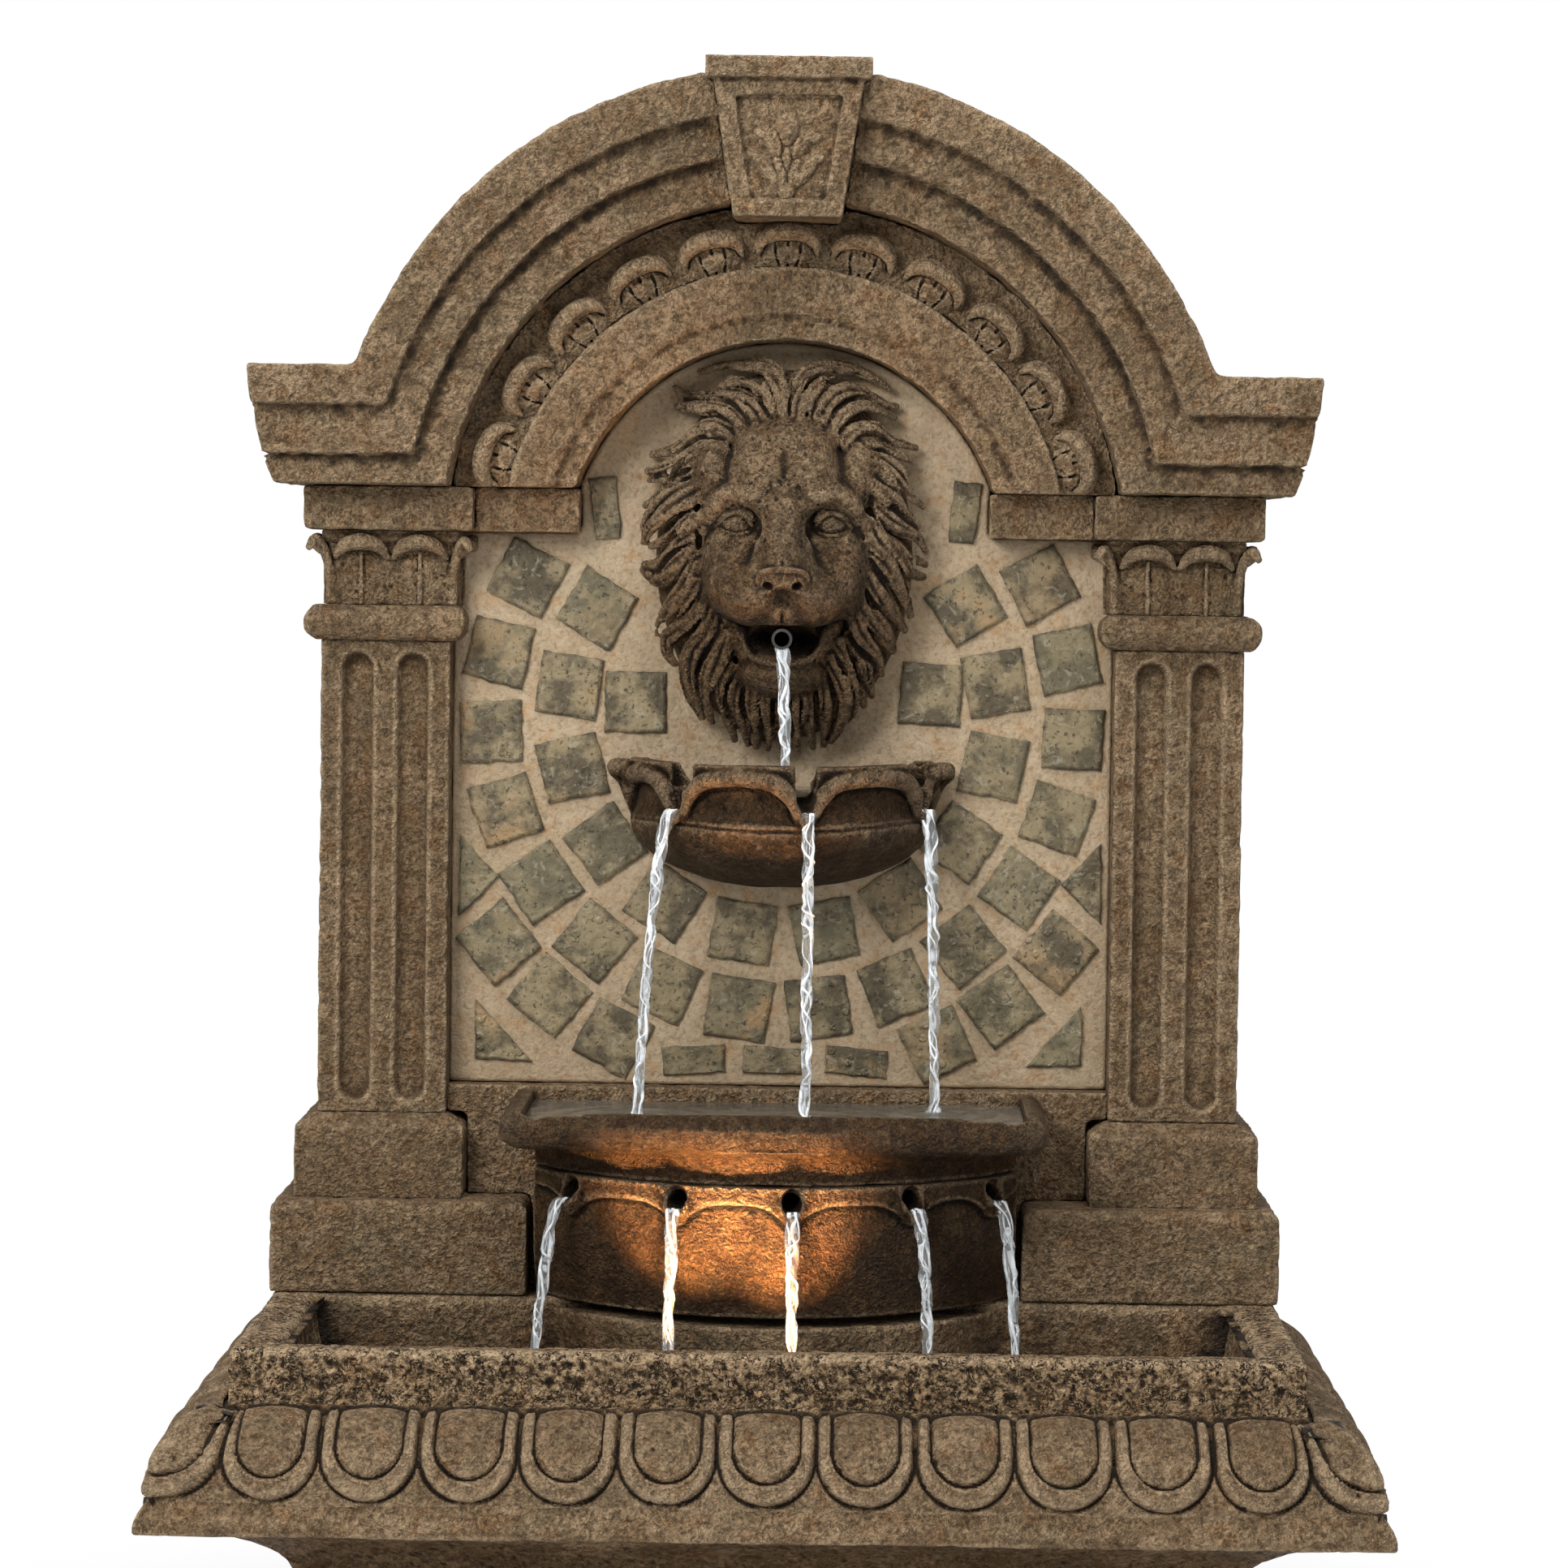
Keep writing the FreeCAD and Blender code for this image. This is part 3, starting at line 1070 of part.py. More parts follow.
# Upper bowl: half a bowl against the mortar, with three notched lips and an ear at each end
def makeUpperBowl():
    wallY = "Places.mortarY"
    shoulder = "Sizes.bowlTop - 14"
    outer = joined("BowlOutside", [
        ball("BowlBelly", "Sizes.bowlRadius", "Sizes.bowlRadius", "Sizes.bowlDepth - 14", 0, wallY, shoulder),
        rod("BowlCollar", "Sizes.bowlRadius - 1", "14", 0, wallY, shoulder)])
    ears = []
    for side in (-1, 1):
        ears.append(ball(f"BowlEar{side + 1}", 26, 13, 13, f"{side} * (Sizes.bowlRadius - 16)",
                         f"{wallY} - 6", "Sizes.bowlTop - 12"))
    limit = block("BowlLimit", "-Sizes.bowlRadius * 1.5", "Sizes.bowlRadius * 1.5",
                  f"{wallY} - Sizes.bowlRadius * 1.3", wallY, "Sizes.bowlTop - Sizes.bowlDepth",
                  "Sizes.bowlTop")
    whole = shared("BowlWhole", [joined("BowlForms", [outer] + ears), limit])
    inner = "Sizes.bowlRadius - Sizes.bowlWall"
    tools = [shared("BowlInside", [
        joined("BowlHollow", [
            ball("BowlHollowBelly", inner, inner, "Sizes.bowlDepth - 14 - Sizes.bowlWall", 0, wallY, shoulder),
            rod("BowlHollowCollar", f"{inner} - 1", "20", 0, wallY, shoulder)]),
        block("BowlHollowLimit", "-Sizes.bowlRadius", "Sizes.bowlRadius", f"{wallY} - Sizes.bowlRadius",
              f"{wallY} - Sizes.bowlWall * 0.6", "Sizes.bowlTop - Sizes.bowlDepth", "Sizes.bowlTop + 10")])]
    for index, share in enumerate((-1, 0, 1)):
        angle = share * size("notchAngle")
        x = f"Sizes.bowlRadius * sin({share} * Sizes.notchAngle)"
        y = f"{wallY} - Sizes.bowlRadius * cos({share} * Sizes.notchAngle)"
        tools.append(ball(f"BowlNotch{index}", 12, 26, 32, x, y, "Sizes.bowlTop",
                          Rotation(Vector(0, 0, 1), angle)))
    subPart(cutFrom("UpperBowl", whole, tools), "upper_bowl")


# Shelf tray: a shallow bowed trough on a narrower foot, drained through its floor
def makeTray():
    half = "Sizes.trayHalfWidth"
    bowRadius = "(Sizes.trayHalfWidth * Sizes.trayHalfWidth + Sizes.trayBow * Sizes.trayBow)" \
                " / (2 * Sizes.trayBow)"
    rim = shared("TrayRim", [
        block("TrayBlock", f"-{half}", half, "Places.trayY", "Places.sillY", "Places.trayBottomZ",
              "Sizes.trayTop"),
        rod("TrayBowRound", bowRadius, "Sizes.trayHeight", 0, f"Places.trayY + {bowRadius}",
            "Places.trayBottomZ")])
    foot = shared("TrayFoot", [
        block("TrayFootBlock", "-Sizes.scallopHalfWidth", "Sizes.scallopHalfWidth", "Places.trayY",
              "Places.sillY", "Places.scallopTopZ", "Places.trayBottomZ"),
        rod("TrayFootRound", "Sizes.scallopTopRadius - 3", "Sizes.trayFootHeight", 0, "Sizes.scallopAxis",
            "Places.scallopTopZ")])
    wall = "Sizes.trayWall"
    hollow = shared("TrayHollow", [
        block("TrayHollowBlock", f"-{half} + {wall}", f"{half} - {wall}", f"Places.trayY + {wall}",
              f"Places.sillY - {wall}", "Places.trayBottomZ + Sizes.trayFloor", "Sizes.trayTop + 1"),
        rod("TrayHollowRound", f"{bowRadius} - {wall}", "Sizes.trayHeight + 2", 0,
            f"Places.trayY + {bowRadius}", "Places.trayBottomZ")])
    tools = [hollow]
    for index, x in enumerate((-96, -48, 0, 48, 96)):
        tools.append(rod(f"TrayDrain{index}", "Sizes.spoutBore", "Sizes.trayFootHeight + Sizes.trayFloor + 4",
                         x, "Places.sillY - 62", "Places.scallopTopZ - 2"))
    subPart(cutFrom("ShelfTray", joined("TrayWhole", [rim, foot]), tools), "shelf_tray")


# Lowest bowl: a bowed, slightly flared body with a proud rim and five bored spouts
def makeScallopBowl():
    half = "Sizes.scallopHalfWidth"
    tall = "Places.scallopTopZ - Places.rimZ"
    axisY = "Sizes.scallopAxis"
    side = block("ScallopSides", f"-{half}", half, "Places.sillY - 200", "Places.sillY", "Places.rimZ",
                 "Places.scallopTopZ")
    flare = cone("ScallopFlare", "Sizes.bayRadius", "Sizes.scallopTopRadius", tall, 0, axisY, "Places.rimZ")
    rimZ = "Places.scallopTopZ - Sizes.scallopRim"
    proud = "Sizes.scallopRimProud"
    rim = cone("ScallopRim", f"Sizes.scallopTopRadius + {proud} - 4", f"Sizes.scallopTopRadius + {proud}",
               "Sizes.scallopRim", 0, axisY, rimZ)
    bosses = []
    bores = []
    cuts = []
    for index in range(-2, 3):
        angle = index * size("spoutAngle")
        outward = Rotation(Vector(0, 0, 1), angle) * Rotation(Vector(1, 0, 0), 90)
        x = f"(Sizes.scallopTopRadius - 30) * sin({index} * Sizes.spoutAngle)"
        y = f"{axisY} - (Sizes.scallopTopRadius - 30) * cos({index} * Sizes.spoutAngle)"
        bosses.append(cone(f"SpoutBoss{index + 2}", 25, 17, f"42 + {proud}", x, y, "Places.spoutZ", outward))
        x = f"(Sizes.scallopTopRadius - 60) * sin({index} * Sizes.spoutAngle)"
        y = f"{axisY} - (Sizes.scallopTopRadius - 60) * cos({index} * Sizes.spoutAngle)"
        bores.append(rod(f"SpoutBore{index + 2}", "Sizes.spoutBore", "120", x, y, "Places.spoutZ", outward))
        x = f"(Sizes.scallopTopRadius + 2) * sin({index} * Sizes.spoutAngle)"
        y = f"{axisY} - (Sizes.scallopTopRadius + 2) * cos({index} * Sizes.spoutAngle)"
        cuts.append(cone(f"SpoutFunnel{index + 2}", "Sizes.spoutBore", 14, "22", x, y, "Places.spoutZ + 3",
                         outward))
    spoutLimit = block("SpoutLimit", "-Sizes.scallopHalfWidth - 10", "Sizes.scallopHalfWidth + 10",
                       "Places.sillY - 260", "Places.partitionY - 1", "Places.rimZ",
                       "Places.scallopTopZ")
    spouts = shared("SpoutsTrimmed", [joined("SpoutBosses", bosses), spoutLimit])
    body = shared("ScallopBody", [joined("ScallopForms", [flare, rim]), side])
    chamber = shared("ScallopChamber", [
        rod("ChamberRound", "Sizes.scallopTopRadius - 30", "Sizes.scallopChamber + 1", 0, axisY,
            "Places.scallopTopZ - Sizes.scallopChamber"),
        block("ChamberBlock", f"-{half} + 27", f"{half} - 27", "Places.sillY - 200", "Places.sillY - 12",
              "Places.scallopTopZ - Sizes.scallopChamber", "Places.scallopTopZ + 1")])
    subPart(cutFrom("ScallopBowl", joined("ScallopWhole", [body, spouts]), [chamber] + bores + cuts),
            "scallop_bowl")


def makeNozzle():
    reach = "Sizes.nozzleReach"
    tipY = f"Sizes.backPlane - {reach}"
    elbowY = "Places.pumpY"
    pipeLength = f"{elbowY} - ({tipY})"
    dropZ = "Sizes.nozzleZ - Sizes.hoseBend"
    pipe = joined("NozzleOutside", [
        rod("NozzlePipe", "Sizes.nozzleRadius", pipeLength, 0, tipY, "Sizes.nozzleZ", alongY),
        ball("NozzleElbow", "Sizes.nozzleRadius", "Sizes.nozzleRadius", "Sizes.nozzleRadius", 0, elbowY,
             "Sizes.nozzleZ"),
        rod("NozzleDrop", "Sizes.nozzleRadius", "Sizes.hoseBend", 0, elbowY, dropZ),
        rod("NozzleBarb", "Sizes.hoseBore - Sizes.seamGap", "Sizes.barbLength", 0, elbowY,
            f"{dropZ} - Sizes.barbLength")])
    bore = "Sizes.hoseBore - 2"
    tools = [
        rod("NozzleBore", "Sizes.nozzleBore", pipeLength, 0, f"{tipY} - 1", "Sizes.nozzleZ", alongY),
        rod("NozzleDropBore", bore, "Sizes.hoseBend + Sizes.barbLength + 1", 0, elbowY,
            f"{dropZ} - Sizes.barbLength - 1")]
    subPart(cutFrom("LionNozzle", pipe, tools), "lion_nozzle")
    nut = rod("NozzleNutRound", "13", "8", 0, "Places.coreInnerY", "Sizes.nozzleZ", alongY)
    nutBore = rod("NozzleNutBore", "Sizes.nozzleRadius + Sizes.runningGap", "10", 0, "Places.coreInnerY - 1",
                  "Sizes.nozzleZ", alongY)
    subPart(cutFrom("NozzleNut", nut, [nutBore]), "nozzle_nut")


def outletX():
    return size("pumpLength") / 2 - size("voluteLength") / 2


# Riser hose: one tube from the pump's outlet to the nozzle's elbow, with a slack double bend
def makeHose():
    y = place("pumpY")
    foot = place("pumpZ") + size("pumpHeight") + 6
    head = size("nozzleZ") - size("hoseBend")
    x = outletX()
    straight = 50
    low = Vector(x, y, foot)
    lowEnd = Vector(x, y, foot + straight)
    topEnd = Vector(0, y, head - straight)
    top = Vector(0, y, head)
    middle = (lowEnd + topEnd) * 0.5
    rise = topEnd.z - lowEnd.z
    bendRadius = (rise * rise + x * x) / (4 * x)
    quarter = rise / 4
    sink = bendRadius - math.sqrt(bendRadius * bendRadius - quarter * quarter)
    lowArc = Part.Arc(lowEnd, Vector(x - sink, y, lowEnd.z + quarter), middle)
    topArc = Part.Arc(middle, Vector(sink, y, topEnd.z - quarter), topEnd)
    path = Part.Wire([Part.LineSegment(low, lowEnd).toShape(), lowArc.toShape(), topArc.toShape(),
                      Part.LineSegment(topEnd, top).toShape()])

    def tube(radius):
        ring = Part.Wire(Part.makeCircle(radius, low, Vector(0, 0, 1)))
        return path.makePipeShell([ring], True, True)

    hose = tube(size("hoseRadius")).cut(tube(size("hoseBore")))
    section = math.pi * (size("hoseRadius") ** 2 - size("hoseBore") ** 2)
    print("riser hose: length", round(path.Length, 1), "bend radius", round(bendRadius),
          "volume share", round(hose.Volume / (section * path.Length), 4))
    subPart(shaped("RiserHose", hose), "riser_hose")
    clamps = []
    outside = size("hoseRadius") + 0.3
    width = size("clampWidth")
    for spot in (Vector(x, y, foot + 4), Vector(0, y, head - 4 - width)):
        band = Part.makeCylinder(outside + size("clampThick"), width, spot)
        lug = Part.makeBox(8, 7, width, spot + Vector(-4, outside, 0))
        clamps.append(band.fuse(lug).cut(Part.makeCylinder(outside, width, spot)))
    subPart(shaped("HoseClamps", Part.makeCompound(clamps)), "hose_clamps")


# Submersible pump lying along X, with its rotor on a fixed shaft and a slide-off intake cover
def makePump():
    endX = "Sizes.pumpLength / 2"
    voluteX = f"{endX} - Sizes.voluteLength"
    lineZ = "Places.shaftLineZ"
    lineY = "Places.pumpY"
    motor = block("PumpMotor", f"-{endX}", voluteX, f"{lineY} - Sizes.pumpWidth / 2",
                  f"{lineY} + Sizes.pumpWidth / 2", "Places.pumpZ", "Places.pumpZ + Sizes.pumpHeight")
    motorRound = doc.addObject("Part::Fillet", "PumpMotorRound")
    motorRound.Base = motor
    doc.recompute()
    motorRound.Edges = [(index + 1, 5.0, 5.0) for index, edge in enumerate(motor.Shape.Edges)
                        if abs(edge.tangentAt(edge.FirstParameter).x) > 0.9]
    volute = rod("PumpVolute", "Sizes.voluteRadius", "Sizes.voluteLength", voluteX, lineY, lineZ, alongX)
    outletUp = "Sizes.pumpHeight / 2 + 6"
    outlet = rod("PumpOutlet", "Sizes.hoseRadius", outletUp, f"{endX} - Sizes.voluteLength / 2", lineY, lineZ)
    barb = rod("PumpBarb", "Sizes.hoseBore - Sizes.seamGap", "Sizes.barbLength",
               f"{endX} - Sizes.voluteLength / 2", lineY, f"{lineZ} + {outletUp}")
    stator = "Sizes.rotorRadius + Sizes.rotorGap"
    tools = [
        rod("VoluteHollow", "Sizes.voluteRadius - Sizes.voluteWall", "Sizes.voluteLength + 1",
            f"{voluteX} + Sizes.voluteWall", lineY, lineZ, alongX),
        rod("StatorHollow", stator, "Sizes.rotorLength + Sizes.voluteWall + 2",
            f"{voluteX} + Sizes.voluteWall + 1 - Sizes.rotorLength - Sizes.voluteWall - 1", lineY, lineZ, alongX),
        rod("ShaftSeat", "Sizes.pumpShaftRadius", "Sizes.pumpLength", f"-{endX} + 3", lineY, lineZ, alongX),
        rod("OutletBore", "Sizes.hoseBore - 2", "Sizes.pumpHeight", f"{endX} - Sizes.voluteLength / 2", lineY,
            lineZ),
    ]
    subPart(cutFrom("PumpHousing", joined("PumpOutside", [motorRound, volute, outlet, barb]), tools),
            "pump_housing")
    shaftLength = "Sizes.pumpLength - 6"
    subPart(rod("PumpShaft", "Sizes.pumpShaftRadius", shaftLength, f"-{endX} + 3", lineY, lineZ, alongX),
            "pump_shaft")
    magnetX = f"{voluteX} - Sizes.rotorLength + 4"
    magnetEnd = f"{voluteX} + Sizes.voluteWall + 1"
    magnet = rod("RotorMagnet", "Sizes.rotorRadius", f"({magnetEnd}) - ({magnetX})", magnetX, lineY, lineZ,
                 alongX)
    plate = rod("ImpellerPlate", "Sizes.impellerRadius", 2, magnetEnd, lineY, lineZ, alongX)
    rotor = [magnet, plate]
    vane = 1.6
    for index in range(6):
        blade = doc.addObject("Part::Box", f"Vane{index}")
        bind(blade, Length=7, Width=vane, Height="Sizes.impellerRadius - 1")
        spin = Rotation(Vector(1, 0, 0), 60 * index)
        shift = spin.multVec(Vector(0, -vane / 2, 0))
        putAt(blade, f"{magnetEnd} + 1.5", f"{lineY} + {shift.y:.4f}", f"{lineZ} + {shift.z:.4f}", spin)
        rotor.append(blade)
    bore = rod("RotorBore", "Sizes.pumpShaftRadius + Sizes.runningGap", "Sizes.pumpLength", f"-{endX} + 1",
               lineY, lineZ, alongX)
    subPart(cutFrom("Impeller", joined("RotorWhole", rotor), [bore]), "pump_impeller")

    coverX = f"{endX} + 0.2"
    shell = rod("CoverShell", "Sizes.voluteRadius", "Sizes.coverLength", coverX, lineY, lineZ, alongX)
    post = rod("DialPost", "Sizes.dialPostRadius", "Sizes.dialThick + 2", f"{coverX} + Sizes.coverLength",
               lineY, lineZ, alongX)
    coverTools = [rod("CoverHollow", "Sizes.voluteRadius - 2.5", "Sizes.coverLength - 3", f"{coverX} - 0.1",
                      lineY, lineZ, alongX)]
    for index in range(5):
        up = 7 * (index - 2)
        coverTools.append(block(f"IntakeSlot{index}", f"{coverX} + 3", f"{coverX} + Sizes.coverLength - 4",
                                f"{lineY} - Sizes.voluteRadius - 1", f"{lineY} + Sizes.voluteRadius + 1",
                                f"{lineZ} + {up} - 1.5", f"{lineZ} + {up} + 1.5"))
    subPart(cutFrom("IntakeCover", joined("CoverOutside", [shell, post]), coverTools), "pump_intake_cover")

    dialX = f"{coverX} + Sizes.coverLength + 0.3"
    dialDisc = rod("DialDisc", "Sizes.dialRadius", "Sizes.dialThick", dialX, lineY, lineZ, alongX)
    grip = block("DialGrip", dialX, f"{dialX} + Sizes.dialThick + 4", f"{lineY} + 4",
                 f"{lineY} + Sizes.dialRadius - 1", f"{lineZ} - 2", f"{lineZ} + 2")
    dialBore = rod("DialBore", "Sizes.dialPostRadius + Sizes.runningGap", "20", f"{dialX} - 1", lineY, lineZ,
                   alongX)
    subPart(cutFrom("FlowDial", joined("DialWhole", [dialDisc, grip]), [dialBore]), "flow_dial")

    feet = []
    for x in ("-Sizes.pumpLength / 2 + 10", "Sizes.pumpLength / 2 - Sizes.voluteLength - 10"):
        for y in (-15, 15):
            feet.append(cone(f"SuctionFoot{len(feet)}", 9, 5, "Sizes.pumpFootHeight", x, f"{lineY} + {y}",
                             "Places.floorZ"))
    subPart(grouped("SuctionFeet", feet), "pump_suction_feet")


# Submersible lamp in the trough: a round head tilting between two ears
def makeLamp():
    y = "Places.lampY"
    floor = "Places.floorZ"
    z = "Places.lampZ"
    earX = "Sizes.lampRadius + Sizes.lampEarGap"
    base = block("LampBase", f"-({earX}) - Sizes.lampEarThick", f"{earX} + Sizes.lampEarThick", f"{y} - 20",
                 f"{y} + 20", floor, f"{floor} + 3")
    ears = []
    holes = []
    pivots = []
    for side in (-1, 1):
        x0, x1 = (earX, f"{earX} + Sizes.lampEarThick")
        if side < 0:
            x0, x1 = f"-({x1})", f"-({x0})"
        ears.append(block(f"LampEar{side + 1}", x0, x1, f"{y} - 8", f"{y} + 8", floor, f"{z} + 8"))
        start = f"-({earX}) - Sizes.lampEarThick - 2" if side < 0 else "Sizes.lampRadius - 2"
        length = "Sizes.lampEarGap + Sizes.lampEarThick + 4"
        pivots.append(rod(f"LampPivot{side + 1}", "Sizes.pivotRadius", length, start, y, z, alongX))
        holes.append(rod(f"EarHole{side + 1}", "Sizes.pivotRadius", length, start, y, z, alongX))
    subPart(cutFrom("LampBracket", joined("BracketWhole", [base] + ears), holes), "lamp_bracket")
    subPart(grouped("LampPivots", pivots), "lamp_pivots")

    tilt = size("lampTilt")
    spin = Rotation(Vector(1, 0, 0), -tilt)
    centre = Vector(0, place("lampY"), place("lampZ"))
    axis = spin.multVec(Vector(0, 0, 1))

    def along(distance):
        return centre + axis * distance

    radius = size("lampRadius")
    tall = size("lampLength")
    bezelTall = size("bezelHeight")
    wall = size("lampWall")
    bodyTop = tall / 2 - bezelTall
    body = Part.makeCylinder(radius, tall / 2 + bodyTop, along(-tall / 2), axis)
    body = body.cut(Part.makeCylinder(radius - wall, tall, along(-tall / 2 + wall), axis))
    hubRadius = size("pivotRadius") + 2.5
    for side in (-1, 1):
        start = side * (radius - 6)
        hub = Part.makeCylinder(hubRadius, 5.5, centre + Vector(start, 0, 0), Vector(side, 0, 0))
        body = body.fuse(hub)
    pivotHole = size("pivotRadius") + size("runningGap")
    for side in (-1, 1):
        hole = Part.makeCylinder(pivotHole, 10, centre + Vector(side * (radius - 2.6), 0, 0), Vector(side, 0, 0))
        body = body.cut(hole)
    subPart(shaped("LampBody", body), "lamp_body")
    bezel = Part.makeCylinder(size("bezelRadius"), bezelTall, along(bodyTop), axis)
    bezel = bezel.cut(Part.makeCylinder(radius - 4, bezelTall + 2, along(bodyTop - 1), axis))
    lensTall = size("lensThick")
    bezel = bezel.cut(Part.makeCylinder(radius - 1.5, lensTall, along(bodyTop), axis))
    subPart(shaped("LampBezel", bezel), "lamp_bezel")
    lens = Part.makeCylinder(radius - 1.7, lensTall, along(bodyTop), axis)
    subPart(shaped("LampLens", lens), "lamp_lens")
    board = Part.makeCylinder(radius - wall - 0.3, 3, along(bodyTop - 9), axis)
    stem = Part.makeCylinder(5, tall / 2 + bodyTop - 9 - wall, along(-tall / 2 + wall), axis)
    subPart(shaped("LampBoard", board.fuse(stem)), "lamp_led_board")


def makeSmallFittings():
    rods = []
    nuts = []
    bottom = "Places.rimZ - Sizes.deckThick - 5 - Sizes.tieNutHeight - 4"
    for side, word in ((-1, "Left"), (1, "Right")):
        x = f"{side} * Sizes.tieRodX"
        y = "Places.tieRodY"
        rods.append(rod(f"TieRod{word}", "Sizes.tieRodRadius",
                        f"Places.springZ + Sizes.tieNutHeight + 4 - ({bottom})", x, y, bottom))
        for end, z in (("Foot", "Places.rimZ - Sizes.deckThick - 5 - Sizes.tieNutHeight"),
                       ("Head", "Places.springZ")):
            nut = rod(f"TieNut{word}{end}", "Sizes.tieNutRadius", "Sizes.tieNutHeight", x, y, z)
            bore = rod(f"TieNutBore{word}{end}", "Sizes.tieRodRadius + Sizes.runningGap", "20", x, y,
                       f"{z} - 1")
            nuts.append(cutFrom(f"TieNutCut{word}{end}", nut, [bore]))
    subPart(grouped("TieRods", rods), "tie_rods")
    subPart(grouped("TieNuts", nuts), "tie_nuts")

    x = "-Sizes.drainX"
    y = "Places.drainY"
    under = "Places.neckZ + Sizes.undersideRecess"
    bushing = joined("DrainBushOutside", [
        rod("DrainBushBarrel", "Sizes.drainBushRadius - Sizes.runningGap", f"Places.floorZ - ({under})", x, y,
            under),
        rod("DrainBushFlange", "Sizes.drainFlangeRadius", "Sizes.drainFlange", x, y, "Places.floorZ")])
    bushBore = rod("DrainBushBore", "Sizes.drainBore", "60", x, y, f"{under} - 1")
    subPart(cutFrom("DrainBush", bushing, [bushBore]), "drain_bushing")
    stem = rod("PlugStem", "Sizes.drainBore - Sizes.runningGap",
               f"Places.floorZ + Sizes.drainFlange - ({under})", x, y, under)
    cap = rod("PlugCap", "Sizes.drainBore + 4", 2, x, y, "Places.floorZ + Sizes.drainFlange")
    knob = rod("PlugKnob", "Sizes.drainKnob - 4", "Sizes.drainKnob", x, y,
               "Places.floorZ + Sizes.drainFlange + 1")
    head = ball("PlugHead", "Sizes.drainKnob", "Sizes.drainKnob", "Sizes.drainKnob * 0.6", x, y,
                "Places.floorZ + Sizes.drainFlange + 1 + Sizes.drainKnob")
    subPart(joined("DrainPlug", [stem, cap, knob, head]), "drain_plug")

    inside = "Places.chamberBackY"
    barrel = rod("GrommetBarrel", "Sizes.cableHoleRadius - Sizes.runningGap", "Sizes.chamberBackWall",
                 "Sizes.cableX", inside, "Places.cableZ", alongY)
    flange = rod("GrommetFlange", "Sizes.grommetFlange", "Sizes.grommetLip", "Sizes.cableX",
                 f"{inside} - Sizes.grommetLip", "Places.cableZ", alongY)
    bore = rod("GrommetBore", "Sizes.cableBore", "60", "Sizes.cableX", f"{inside} - Sizes.grommetLip - 5",
               "Places.cableZ", alongY)
    subPart(cutFrom("CableGrommet", joined("GrommetOutside", [barrel, flange]), [bore]), "cable_grommet")


makePedestal()
makeBasin()
makeStacks()
makeCore()
makeTiles()
makeArch()
makeKeystone()
makeLion()
makeUpperBowl()
makeTray()
makeScallopBowl()
makeNozzle()
makeHose()
makePump()
makeLamp()
makeBack()
makeSmallFittings()

doc.recompute()
for thing in doc.Objects:
    if "Invalid" in thing.State or "Error" in thing.State:
        raise RuntimeError(f"{thing.Name} failed: {thing.State}")
for thing in subParts:
    if thing.Shape.isNull() or not thing.Shape.isValid():
        raise RuntimeError(f"{thing.Label} has no valid shape")

os.makedirs("parts", exist_ok=True)
for thing in subParts:
    thing.Shape.exportStep(f"parts/{thing.Label}.step")
    box = thing.Shape.BoundBox
    print(f"{thing.Label}: solids {len(thing.Shape.Solids)}, x {box.XMin:.1f} {box.XMax:.1f},"
          f" y {box.YMin:.1f} {box.YMax:.1f}, z {box.ZMin:.1f} {box.ZMax:.1f}")
print(f"{len(subParts)} sub-parts")
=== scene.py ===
import json
import math

import bmesh
import bpy
import numpy as np
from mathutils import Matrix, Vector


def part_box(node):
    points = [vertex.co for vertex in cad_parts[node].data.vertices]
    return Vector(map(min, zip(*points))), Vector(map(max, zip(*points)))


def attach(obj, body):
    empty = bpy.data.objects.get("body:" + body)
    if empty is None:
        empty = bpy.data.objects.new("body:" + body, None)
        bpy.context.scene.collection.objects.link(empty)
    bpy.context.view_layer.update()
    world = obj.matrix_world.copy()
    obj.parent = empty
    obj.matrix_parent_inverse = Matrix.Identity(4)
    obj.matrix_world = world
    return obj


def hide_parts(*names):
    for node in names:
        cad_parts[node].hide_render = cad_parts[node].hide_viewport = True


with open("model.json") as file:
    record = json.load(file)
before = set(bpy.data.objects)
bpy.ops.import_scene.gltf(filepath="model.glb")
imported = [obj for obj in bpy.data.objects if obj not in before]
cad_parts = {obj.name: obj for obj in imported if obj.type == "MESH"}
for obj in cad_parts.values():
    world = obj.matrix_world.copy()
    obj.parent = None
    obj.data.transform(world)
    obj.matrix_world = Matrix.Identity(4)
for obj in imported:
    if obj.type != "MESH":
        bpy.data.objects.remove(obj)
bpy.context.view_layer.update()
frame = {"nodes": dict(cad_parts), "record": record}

scene = bpy.context.scene
nodes = frame["nodes"]

# Sizes are in millimetres until a mesh is made; +X right, front faces -Y, +Z up.

studio = {
    "cameraAt": (0.040, -2.866, 0.938),
    "lensLength": 91.7,
    "pitchDown": 2.0,
    "lean": -0.8,
    "shiftX": -0.035,
    "shiftY": -0.0568,
    "keyPower": 84.0,
    "fillPower": 9.0,
    "topPower": 34.0,
    "worldLevel": 0.27,
    "floorReach": 9.0,
}


# Short names for the nodes of one shader tree

